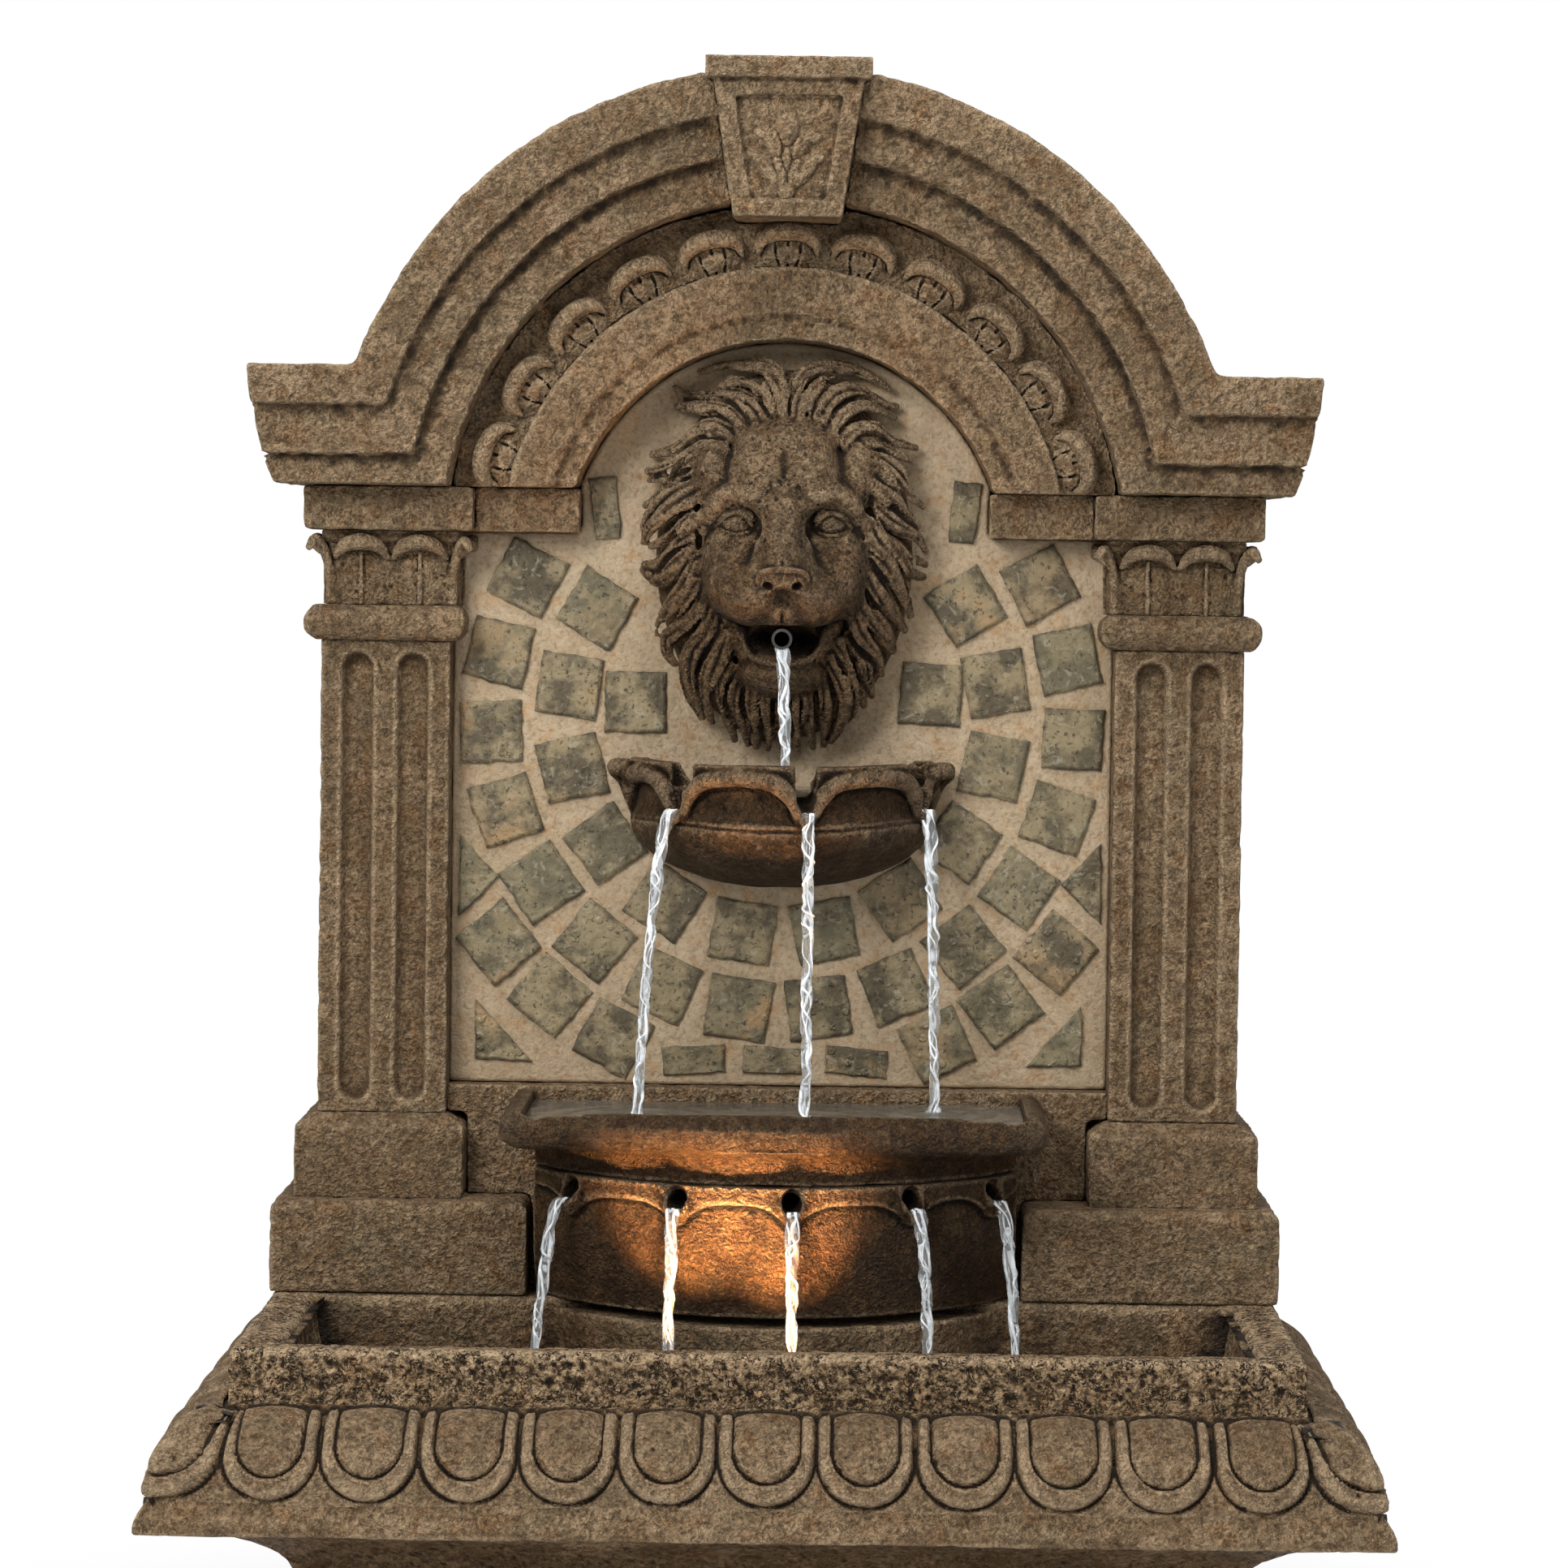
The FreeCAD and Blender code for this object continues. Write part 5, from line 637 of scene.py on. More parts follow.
def clayMesh(name, clay):
    # surface nets: one point in each crossed cell, one quad for each crossed edge
    field = clay.field
    inside = field < 0.0
    corners = [inside[i:inside.shape[0] - 1 + i, j:inside.shape[1] - 1 + j, k:inside.shape[2] - 1 + k]
               for i, j, k in np.ndindex(2, 2, 2)]
    count = sum(corner.astype(np.int8) for corner in corners)
    cells = np.argwhere((count > 0) & (count < 8))
    index = np.full(count.shape, -1, dtype=np.int64)
    index[tuple(cells.T)] = np.arange(len(cells))
    total, hits = np.zeros((len(cells), 3)), np.zeros(len(cells))
    for axis in range(3):
        for u, v in np.ndindex(2, 2):
            start = np.zeros(3, dtype=int)
            start[(axis + 1) % 3], start[(axis + 2) % 3] = u, v
            end = start.copy()
            end[axis] = 1
            a = field[tuple((cells + start).T)]
            b = field[tuple((cells + end).T)]
            crossed = (a < 0) != (b < 0)
            share = np.where(crossed, a / np.where(crossed, a - b, 1.0), 0.0)
            spot = start[None, :] + np.eye(3)[axis][None, :] * share[:, None]
            total += spot * crossed[:, None]
            hits += crossed
    origin = np.array([axis[0] for axis in clay.axes])
    points = origin + (cells + total / hits[:, None]) * clay.step
    faces = []
    for axis in range(3):
        u, v = (axis + 1) % 3, (axis + 2) % 3
        low = [slice(None)] * 3
        high = [slice(None)] * 3
        low[axis], high[axis] = slice(0, -1), slice(1, None)
        for other in (u, v):
            low[other] = high[other] = slice(1, -1)
        first, second = inside[tuple(low)], inside[tuple(high)]
        for outward in (True, False):
            edges = np.argwhere(first & ~second if outward else ~first & second)
            edges[:, u] += 1
            edges[:, v] += 1
            ring = []
            for du, dv in ((-1, -1), (0, -1), (0, 0), (-1, 0)):
                cell = edges.copy()
                cell[:, u] += du
                cell[:, v] += dv
                ring.append(index[tuple(cell.T)])
            faces.append(np.stack(ring if outward else ring[::-1], axis=1))
    return meshFromArrays(name, points, np.concatenate(faces))


def clayPiece(name, clay, look, node, material, seed, low, high, gain=1.0):
    mesh = clayMesh(name, clay)
    weather(mesh, look, seed)
    keepInside(mesh, low, high)
    markRelief(mesh, gain)
    return addPiece(name, mesh, [node], material)


# Lion mask: head, face and mane

carvedLook = {
    "wave": 0.25, "waveCell": 40.0, "lump": 0.25, "lumpCell": 7.0,
    "pit": 1.6, "pitCell": 4.5, "pitShare": 0.25, "patchCell": 30.0,
}
lionLook = {
    **carvedLook, "step": 1.4, "back": 106.0,
    "domeFront": 99.0, "domeHeight": 55.0, "domeAt": (0.0, 936.0), "domeHalf": (112.0, 152.0), "hairs": 4,
}

# each lock: its width, then points from root to tip as (x, z)
maneLocks = [
    (12, [(-2, 1031), (-4, 1051), (-10, 1067), (-23, 1074), (-43, 1066)]),
    (10, [(-10, 1031), (-14, 1048), (-25, 1060), (-40, 1063), (-49, 1062)]),
    (10, [(-18, 1028), (-23, 1043), (-37, 1052), (-56, 1052), (-74, 1054), (-83, 1061)]),
    (9, [(0, 1046), (-4, 1066), (-19, 1077), (-44, 1078), (-65, 1072)]),
    (9, [(-31, 1028), (-43, 1042), (-58, 1045), (-75, 1048), (-82, 1046)]),
    (11, [(-40, 1024), (-53, 1031), (-65, 1026), (-81, 1015), (-100, 1011)]),
    (9, [(-44, 1015), (-61, 1015), (-75, 1006), (-98, 999), (-103, 999)]),
    (8, [(-49, 1006), (-65, 1001), (-83, 993), (-101, 992)]),
    (9, [(-52, 998), (-70, 990), (-89, 981), (-104, 973)]),
    (14, [(-56, 987), (-73, 979), (-89, 968), (-101, 956), (-104, 945)]),
    (10, [(-61, 971), (-71, 959), (-84, 950), (-99, 943)]),
    (12, [(-62, 956), (-74, 943), (-89, 931), (-104, 929)]),
    (11, [(11, 1031), (12, 1046), (20, 1060), (35, 1071), (57, 1073)]),
    (9, [(5, 1043), (8, 1066), (24, 1077), (53, 1076), (76, 1062)]),
    (12, [(21, 1028), (26, 1043), (38, 1056), (54, 1058), (71, 1050), (82, 1049)]),
    (8, [(36, 1026), (42, 1040), (56, 1048), (71, 1045), (81, 1040)]),
    (10, [(42, 1020), (51, 1029), (65, 1031), (78, 1023), (97, 1018)]),
    (8, [(51, 1014), (63, 1020), (76, 1015), (93, 1009)]),
    (11, [(54, 1007), (69, 1006), (81, 996), (90, 985), (103, 975)]),
    (12, [(59, 995), (72, 985), (84, 975), (99, 960)]),
    (9, [(62, 982), (71, 971), (85, 960), (99, 953), (105, 941)]),
    (11, [(63, 964), (69, 948), (81, 936), (91, 925)]),
    (8, [(66, 956), (79, 945), (96, 936), (105, 932)]),
    (10, [(-64, 941), (-77, 930), (-92, 919), (-105, 926)]),
    (12, [(-63, 930), (-70, 912), (-81, 898), (-90, 884), (-92, 877)]),
    (12, [(-56, 916), (-58, 898), (-70, 884), (-84, 877), (-86, 866), (-79, 856)]),
    (13, [(-49, 900), (-53, 881), (-65, 866), (-68, 847), (-63, 828), (-59, 816)]),
    (11, [(-40, 880), (-46, 863), (-53, 847), (-55, 828), (-52, 813)]),
    (11, [(-35, 856), (-41, 841), (-40, 820), (-35, 800)]),
    (10, [(-26, 853), (-32, 834), (-29, 814), (-25, 797)]),
    (10, [(-17, 853), (-20, 831), (-17, 810), (-19, 795)]),
    (9, [(-8, 853), (-10, 831), (-9, 810), (-10, 794)]),
    (9, [(1, 853), (2, 831), (1, 810), (1, 794)]),
    (9, [(11, 853), (14, 831), (12, 810), (12, 794)]),
    (10, [(21, 853), (24, 831), (21, 813), (23, 795)]),
    (10, [(30, 855), (34, 834), (33, 814), (31, 797)]),
    (11, [(36, 863), (45, 847), (49, 830), (44, 813), (36, 800)]),
    (11, [(42, 875), (53, 859), (57, 842), (61, 827)]),
    (10, [(50, 883), (60, 867), (63, 850), (67, 834)]),
    (10, [(53, 909), (53, 894), (59, 878), (71, 863), (73, 850)]),
    (12, [(59, 919), (62, 902), (71, 888), (79, 875), (81, 867)]),
    (11, [(62, 933), (69, 916), (78, 900), (90, 883)]),
    (12, [(65, 947), (78, 933), (87, 914), (94, 894)]),
    (9, [(69, 953), (85, 941), (94, 926), (104, 923)]),
]


def maneDome(look, x, z):
    u, w = ((v - at) / half for v, at, half in zip((x, z), look["domeAt"], look["domeHalf"]))
    return look["domeFront"] - look["domeHeight"] * np.sqrt(np.clip(1.0 - u ** 2 - w ** 2, 0.02, 1.0))


def addMane(clay, look):
    # a dome, then each lock as a few twisted hairs with a groove along both sides
    hairs = look["hairs"]
    clay.add(egg((0, 101, 938), (95, 48, 137)), 1.0)
    for order, (width, points) in enumerate(maneLocks):
        path = curved(points, 9)
        run = np.gradient(path, axis=0)
        run /= np.linalg.norm(run, axis=1)[:, None]
        across = np.stack([-run[:, 1], run[:, 0]], axis=1)
        share = np.linspace(0.0, 1.0, len(path))
        swell = 1.5 * width * (0.7 + 0.4 * np.sin(math.pi * np.clip(share * 1.1, 0, 1))) * (1.0 - 0.72 * share ** 2.4)
        lift = 1.6 * ((order * 7) % 3 - 1)
        for hair in range(hairs):
            side = (hair - (hairs - 1) / 2.0) / hairs
            sway = 0.10 * np.sin(share * 5.0 + order + hair * 2.0)
            x, z = (path + across * ((side + sway) * swell)[:, None]).T
            depth = maneDome(look, x, z) + lift + 5.5 * abs(side)
            depth = depth + 3.0 - 3.0 * np.sin(math.pi * share) + 2.0 * share ** 3
            line = np.stack([x, np.minimum(depth, 100.0), z], axis=1)
            clay.add(strand(line, list(np.maximum(swell * 0.21, 1.6))), 1.0)
        for side in (-0.6, 0.6):
            x, z = (path + across * (side * swell)[:, None]).T
            line = np.stack([x, maneDome(look, x, z) + 1.0, z], axis=1)
            clay.cut(strand(line, [0.8, 2.9, 2.9, 0.8]), 1.2)


faceForms = [
    # the dark gap between the face and the mane, then the skull
    (both, (cut, 3, [(48, 56, 1012), (57, 57, 1000), (63, 60, 970), (60, 60, 940), (50, 58, 912), (43, 56, 890)],
            [1.0, 3.0, 4.5, 3.0], 10)),
    (middle, (add, 3, (0, 84, 968), (61, 50, 70)), (add, 8, (0, 70, 925), (44, 42, 46)),
     (add, 8, (0, 60, 1018), (37, 22, 17))),
    (both, (add, 6, (18, 52, 994), (23, 21, 31), 8), (add, 7, (43, 60, 938), (17, 20, 25), 16),
     (add, 7, (50, 66, 992), (15, 18, 28), -14)),
    (middle, (cut, 2.5, [(1, 31, 1030), (-1, 28.5, 1000), (0, 29, 972)], [3.4, 3.2, 1.6], 6)),
    (both, (cut, 2.5, [(6, 32, 986), (17, 30, 1001), (32, 36, 1010)], [0.6, 1.4, 0.6], 8)),
    (middle, (add, 5, [(0, 47, 980), (0, 36, 962), (0, 30, 944), (0, 27, 926)], [15, 14, 17], 6)),
    (both, (add, 3, [(9, 45, 976), (10, 35, 950), (13, 28, 926)], [8, 9, 12])),
    # muzzle, smooth and full, over the open mouth
    (both, (add, 9, (36, 50, 916), (21, 23, 24), -10), (add, 9, (20, 37, 907), (25, 27, 21), -14)),
    (middle, (add, 6, (0, 35, 896), (20, 22, 13)),
     (cut, 2, [(0, 9.5, 912), (0, 12, 898), (0, 18, 888)], [0.6, 1.2, 1.2])),
    # nose plate with curled nostrils
    (middle, (add, 1.5, slab((0, 17, 920), (17, 7, 7), 4.5)),
     (add, 1, [(-17, 15, 914), (-17.5, 12.5, 922), (-13, 11, 926), (0, 10.5, 927), (13, 11, 926), (17.5, 12.5, 922),
               (17, 15, 914)], [2.2, 2.2], 14)),
    (both, (add, 0.8, [(17.5, 14, 916), (16, 12.5, 911), (12, 12.5, 910.5), (9, 13, 913)], [2.0, 1.6], 8),
     (cut, 1, (10.5, 11.5, 915.5), (4.0, 5.0, 2.8), 20), (cut, 1, [(20, 15, 927), (21.5, 17, 915)], [0.8, 0.8])),
    (middle, (cut, 1, [(0, 27, 968), (0, 18.5, 945), (0, 11, 930)], [0.5, 0.9, 0.7])),
    # eyes in their sockets, with both lids and the brow over them
    (both, (cut, 4, (34.5, 40, 962), (17, 13, 12.5), 8), (cut, 4, (20, 36, 957), (4, 7, 8), -14),
     (add, 9, (31, 55, 930), (17, 19, 21), 20), (add, 1.2, (34.5, 54.5, 961.5), (13.5, 10.5, 9.6), 6),
     (add, 0.8, [(22.5, 48.5, 957), (27, 44.5, 965.5), (34.5, 43, 969), (43, 46, 966), (49, 52, 958)],
      [1.2, 2.2, 2.2, 1.4], 10),
     (add, 0.9, [(22, 46, 963), (27.5, 42.5, 971), (34.5, 41.5, 974.5), (45, 45, 971.5), (52, 52, 962)],
      [1.2, 1.8, 1.8, 1.2], 10),
     (add, 0.8, [(22.5, 48.5, 957), (28, 46.5, 953), (35.5, 46, 952), (43, 48.5, 954), (49, 52, 958)],
      [1.0, 1.7, 1.7, 1.2], 10),
     (add, 1.4, [(25, 47, 950), (34, 45.5, 947), (44, 49, 950)], [1.2, 1.8, 1.2], 8),
     (add, 9, [(13, 38, 973), (24, 36, 981), (38, 40, 982), (51, 49, 973), (57, 58, 960)], [3.0, 6.5, 6.5, 3.5], 10)),
    # mouth, lower lip and chin
    (middle, (add, 4, (0, 66, 852), (33, 28, 19))),
    (both, (add, 4, [(40, 60, 900), (35, 59, 882), (27, 58, 864)], [6, 7, 6], 8)),
    (middle, (cut, 2, (0, 42, 876), (29, 36, 13)), (cut, 3, slab((0, 30, 876), (25, 20, 9), 6.0)),
     (add, 2, [(-29, 50, 878), (-26, 42, 868), (-18, 36, 861.5), (0, 33, 859.5), (18, 36, 861.5), (26, 42, 868),
               (29, 50, 878)], [0.8, 1.8, 2.6, 2.8, 2.6, 1.8, 0.8], 18),
     (cut, 0.5, (0, 24, 877), (8.2, 30, 7.8))),
]


def makeLion(look):
    clay = Clay((-111, 4, 786), (111, 109, 1089), look["step"])
    addMane(clay, look)
    for sides, *forms in faceForms:
        sculpt(clay, sides, *forms)
    clay.trim(lambda x, y, z: y - look["back"])
    low, high = (-109, 8, 789), (109, 106, 1086)
    clayPiece("lionMask", clay, look, "lion_mask", lionStone, 950, low, high, 1.6)


makeLion(lionLook)
print("lion ready")


# Capitals: two broad leaves with rolled heads on the front, more round the side, and corner leaves

capitalLook = {**carvedLook, "step": 1.5, "pit": 1.4, "pitCell": 4.0, "leafWide": 20.5, "leafGap": 21.5}


def leafForms(clay, spot, radii, look):
    wide = look["leafWide"]
    head = [(-0.95, 3, 932), (-0.6, 9, 940.5), (0, 12, 943.5), (0.6, 9, 940.5), (0.95, 3, 932)]
    sculpt(clay, middle,
           (add, 1.2, spot(0, -8, 914), radii(wide, 13, 36)),
           (add, 1.6, [spot(x * wide, out, z) for x, out, z in head], [2.0, 5.0, 6.2, 5.0, 2.0], 16),
           (cut, 1.2, spot(0, 13, 931.5), radii(13.5, 8.5, 5.0)),
           (add, 0.6, [spot(0, 5, 898), spot(0, 6, 936)], [1.7, 1.5]))
    for side in both:
        edge = side * wide * 1.03
        sculpt(clay, middle,
               (cut, 0.5, [spot(side * 2.3, 5.5, 899), spot(side * 2.0, 6.0, 930)], [0.8, 0.6]),
               (cut, 0.6, [spot(edge, 1.5, 899), spot(edge, 3.0, 930)], [1.0, 1.2]))


def makeCapitals(look):
    clay = Clay((224, 60, 893), (356, 219, 956), look["step"])
    clay.add(slab((290, 150, 924.5), (46, 66, 28), 4), 1.0)
    clay.add(slab((290, 149, 950), (51, 70, 6), 3), 5.0)
    for centre in (290 - look["leafGap"], 290 + look["leafGap"]):
        leafForms(clay, lambda t, o, z: (centre + t, 84 - o, z), lambda a, b, c: (a, b, c), look)
    for centre in (107, 150, 193):
        leafForms(clay, lambda t, o, z: (336 + o, centre + t, z), lambda a, b, c: (b, a, c), look)
    leafForms(clay, lambda t, o, z: (244 - o, 106 + t, z), lambda a, b, c: (b, a, c), look)
    horn = [(-2, 86, 899), (-1, 85, 922), (2.5, 80, 937), (8, 73, 944.5), (12, 69, 939)]
    vein = [(1.2, 78.5, 900), (3, 76, 924), (8, 70, 938)]
    for x, side in ((337, 1), (243, -1)):
        sculpt(clay, middle,
               (add, 1.4, [(x + side * out, y, z) for out, y, z in horn], [3.6, 3.4, 3.8, 4.2, 2.6], 12),
               (cut, 0.8, [(x + side * out, y, z) for out, y, z in vein], [0.8, 0.8], 6))
    clay.trim(lambda x, y, z: np.maximum(y - 215.0, np.abs(z - 924.5) - 27.5))
    low, high = (228, 64.5, 897), (351.5, 215, 952)
    right = clayPiece("capitalRight", clay, look, "capital_right", castStone, 310, low, high).data
    mesh = meshFromArrays("capitalLeft", millimetres(right) * (-1, 1, 1), meshQuads(right)[:, ::-1])
    markRelief(mesh)
    addPiece("capitalLeft", mesh, ["capital_left"], castStone)


# Frieze: eleven hooded leaves on one arc

friezeLook = {
    **carvedLook, "step": 0.9, "pit": 0.9, "pitCell": 3.5,
    "leaves": 11, "spread": 14.6, "arc": 222.0, "centreZ": 943.5, "lowest": 985.4,
}


def makeFriezeLeaves(look):
    clay = Clay((-28, 47, -17), (28, 74, 17), look["step"])
    ledge = [(-25, 69, -6), (-22, 68.5, 6), (-13, 68, 13.2), (0, 68, 15.2), (13, 68, 13.2), (22, 68.5, 6), (25, 69, -6)]
    hood = [(-21.5, 66.5, -7), (-19.5, 62.5, 1), (-11.5, 58.5, 6.8), (0, 57.5, 8.6), (11.5, 58.5, 6.8), (19.5, 62.5, 1),
            (21.5, 66.5, -7)]
    sculpt(clay, middle, (add, 1.0, (0, 72, -4), (23, 8, 17)), (add, 0.6, ledge, [1.0, 1.5, 1.6, 1.5, 1.0], 20),
           (add, 1.5, (0, 71, -3), (19, 10, 14)))
    sculpt(clay, (-1, 0, 1), (cut, 0.8, [(10.5, 60.5, 4.0), (8.925, 64, -6), (6.3, 67, -16)], [1.1, 1.2, 1.0]))
    sculpt(clay, middle, (cut, 1.5, [(-15, 62, -4), (0, 58.5, 0.5), (15, 62, -4)], [1.5, 2.4, 1.5]),
           (add, 1.0, hood, [1.8, 4.4, 6.2, 6.8, 6.2, 4.4, 1.8], 20))
    clay.trim(lambda x, y, z: y - 70.6)
    leaf = clayMesh("friezeLeaf", clay)
    points, faces = millimetres(leaf), meshQuads(leaf)
    bpy.data.meshes.remove(leaf)
    leaves = []
    for order in range(look["leaves"]):
        angle = math.radians(90.0 + (order - (look["leaves"] - 1) / 2) * look["spread"])
        c, s = math.cos(angle), math.sin(angle)
        reach = look["arc"] + points[:, 2]
        z = np.maximum(look["centreZ"] + reach * s - points[:, 0] * c, look["lowest"])
        leaves.append((np.stack([reach * c + points[:, 0] * s, points[:, 1], z], axis=1), faces))
    mesh = joinArrays("friezeLeaves", leaves)
    weather(mesh, look, 410)
    markRelief(mesh, 1.7)
    addPiece("friezeLeaves", mesh, ["frieze_leaves"], castStone)


# Keystone ornament: a bud held in a cup of leaves

budLook = {**carvedLook, "step": 0.8, "pit": 0.6, "pitCell": 3.0, "lump": 0.15}
budPetals = [
    # x, z, half width, half length, lean to the left
    (-13, 1234, 4.6, 12, 35), (-8.5, 1233, 3.6, 10, 12), (-19.5, 1240, 3.6, 6, 62),
    (11, 1232, 4.2, 12, -38), (18.5, 1237, 3.4, 6, -66), (6, 1230, 3.2, 8, -16),
    (-13, 1212, 5.6, 16, 42), (-5.5, 1212, 4.6, 13, 16), (-21, 1222, 3.6, 6, 72),
    (11, 1212, 5.6, 16, -42), (4.5, 1211, 4.6, 12, -14), (20.5, 1222, 3.6, 6, -72),
    (-1, 1200, 6.5, 7, 0), (-1, 1222, 3.4, 9, 0),
]


def makeBud(look):
    clay = Clay((-27, 5, 1188), (27, 18, 1266), look["step"])
    clay.add(egg((-1, 15, 1246), (8.6, 6.5, 14.6)), 0.7)
    for x, z, wide, tall, lean in budPetals:
        c, s = math.cos(math.radians(lean)), math.sin(math.radians(lean))
        crease = [(x - s * tall * share, 10, z + c * tall * share) for share in (-0.6, 0.6)]
        sculpt(clay, middle, (add, 0.7, (x, 14.6, z), (wide, 4.6, tall), lean), (cut, 0.6, crease, [0.5, 0.5]))
    clay.trim(lambda x, y, z: y - 15.2)
    low, high = (-26, 8, 1193), (26, 15.2, 1262)
    clayPiece("keystoneBud", clay, look, "keystone_bud", castStone, 450, low, high)


makeCapitals(capitalLook)
makeFriezeLeaves(friezeLook)
makeBud(budLook)
print("leaves ready")


# Upper half bowl: everted lips between three notches, an ear at each end

upperBowlLook = {
    **carvedLook, "step": 1.5, "pit": 0.9, "pitCell": 5.0, "wave": 0.8, "waveCell": 25.0,
    "middleY": 106.0, "notches": (-41.0, 10.0, 66.0),
}


def around(turn, middleY, *spots):
    # points given as (radius, height), in one direction from an upright axis
    turn = math.radians(turn)
    return [(radius * math.sin(turn), middleY - radius * math.cos(turn), z) for radius, z in spots]


def roundBody(middleY, radiusAt, low, high):
    # a solid of revolution about an upright axis, its radius given for each height
    return makeForm(lambda x, y, z: (np.sqrt(x * x + (y - middleY) ** 2) - radiusAt(z)) * 0.8, low, high)


def makeUpperBowl(look):
    clay = Clay((-134, -18, 686), (134, 110, 790), look["step"])
    middleY = look["middleY"]

    def radiusAt(z):
        wall = 113.0 - 6.0 * np.sin(ramp(z, 742.0, 42.0) * math.pi)
        return np.where(z < 742.0, 113.0 * arch((742.0 - z) / 51.5), wall)
    clay.add(roundBody(middleY, radiusAt, (-120, -10, 690), (120, 110, 786)), 1.0)
    lip = [(2.5, 748, 111), (5.5, 763, 113), (12, 774, 112), (24, 778, 111.5)]
    ends = [-88.0, *look["notches"], 88.0]
    for start, stop in zip(ends[:-1], ends[1:]):
        path = [(start + min(turn, (stop - start) / 2), z, radius) for turn, z, radius in lip]
        path += [(stop - (turn - start), z, radius) for turn, z, radius in path[::-1]]
        line = [around(turn, middleY, (radius, z))[0] for turn, z, radius in path]
        clay.add(strand(line, [3.0, 6.0, 7.0, 7.5, 7.0, 6.0, 3.0], 22), 2.5)
    for turn in look["notches"]:
        sculpt(clay, middle,
               (cut, 2.0, around(turn, middleY, (92, 766), (112, 764), (128, 752)), [8.0, 7.5, 6.0]),
               (cut, 2.0, slab(around(turn, middleY, (108, 786))[0], (7.5, 16, 18), 5.0)),
               (add, 2.0, around(turn, middleY, (106, 752), (116, 747), (119, 744)), [7.0, 4.5, 3.0]),
               (cut, 1.5, around(turn, middleY, (96, 764), (124, 753)), [7.0, 4.5]))
    sculpt(clay, both,
           (add, 4.0, [(96, 96, 772), (110, 84, 779), (122, 86, 780), (124, 98, 776)], [9.0, 8.5, 6.5, 5.0], 8),
           (add, 5.0, [(118, 96, 775), (108, 96, 750)], [7.0, 5.0]),
           (cut, 2.5, (103, 88, 788), (9, 10, 9)), (cut, 3.0, (117, 76, 763), (6, 8, 9)))
    ridge = [(112.5, 741 - 2.0 * math.cos(math.radians(turn * 3)), turn) for turn in range(-84, 85, 6)]
    ridge = [around(turn, middleY, (radius, z))[0] for radius, z, turn in ridge]
    sculpt(clay, middle, (cut, 3.0, (0, 108, 792), (99, 98, 58)), (cut, 1.0, ridge, [0.6, 1.1, 0.6]))
    clay.trim(lambda x, y, z: np.maximum(y - middleY, z - 786.0))
    low, high = (-130, -13.5, 690), (130, 106, 786)
    clayPiece("upperBowl", clay, look, "upper_bowl", bowlStone, 500, low, high, 1.8)


# Shelf tray with a rounded rim over a cove

trayLook = {
    **carvedLook, "step": 2.0, "pit": 1.2, "pitCell": 6.0, "wave": 0.9, "waveCell": 35.0,
    "middleY": 178.0, "bow": 16.0,
}


def rounded(first, second, radius):
    # two faces that meet in a rounded edge
    first, second = first + radius, second + radius
    outside = np.sqrt(np.maximum(first, 0) ** 2 + np.maximum(second, 0) ** 2)
    return outside + np.minimum(np.maximum(first, second), 0) - radius


def makeTray(look):
    clay = Clay((-201, -62, 485), (201, 94, 544), look["step"])

    def rim(x, y, z):
        bowed = np.abs(y - look["bow"] * (x / 197.0) ** 2 - 26.0) - 84.0
        return rounded(rounded(np.abs(x) - 197.0, bowed, 20.0), np.abs(z - 526.0) - 14.0, 12.5)

    def coveRadius(z):
        return 221.0 + 15.0 * ramp(z, 492.0, 24.0) ** 2.2 + 1.5 * ramp(z, 493.0, -4.0)
    cove = roundBody(look["middleY"], coveRadius, (-178, -58, 489), (178, 92, 516))
    turned = cove["distance"]

    def ends(x, z):
        return np.maximum(np.abs(x) - 177.0 - 8.0 * ramp(z, 500.0, 14.0), np.abs(z - 502.0) - 13.0)
    cove["distance"] = lambda x, y, z: np.maximum(turned(x, y, z), ends(x, z))
    clay.add(makeForm(rim, (-197, -58, 512), (197, 110, 540)), 1.0)
    clay.add(cove, 3.0)
    clay.cut(slab((0, 26, 552), (180, 66, 35), 10.0), 4.0)
    clay.trim(lambda x, y, z: np.maximum(y - 90.0, 489.0 - z))
    low, high = (-197, -58, 489), (197, 90, 540)
    clayPiece("shelfTray", clay, look, "shelf_tray", bowlStone, 530, low, high)


# Scalloped bowl: five beaked spouts between arched lobes

scallopLook = {
    **carvedLook, "step": 1.8, "pit": 1.0, "pitCell": 6.0, "wave": 1.0, "waveCell": 40.0,
    "middleY": 178.0, "spouts": (-40.0, -17.5, 3.4, 25.7, 44.0),
}


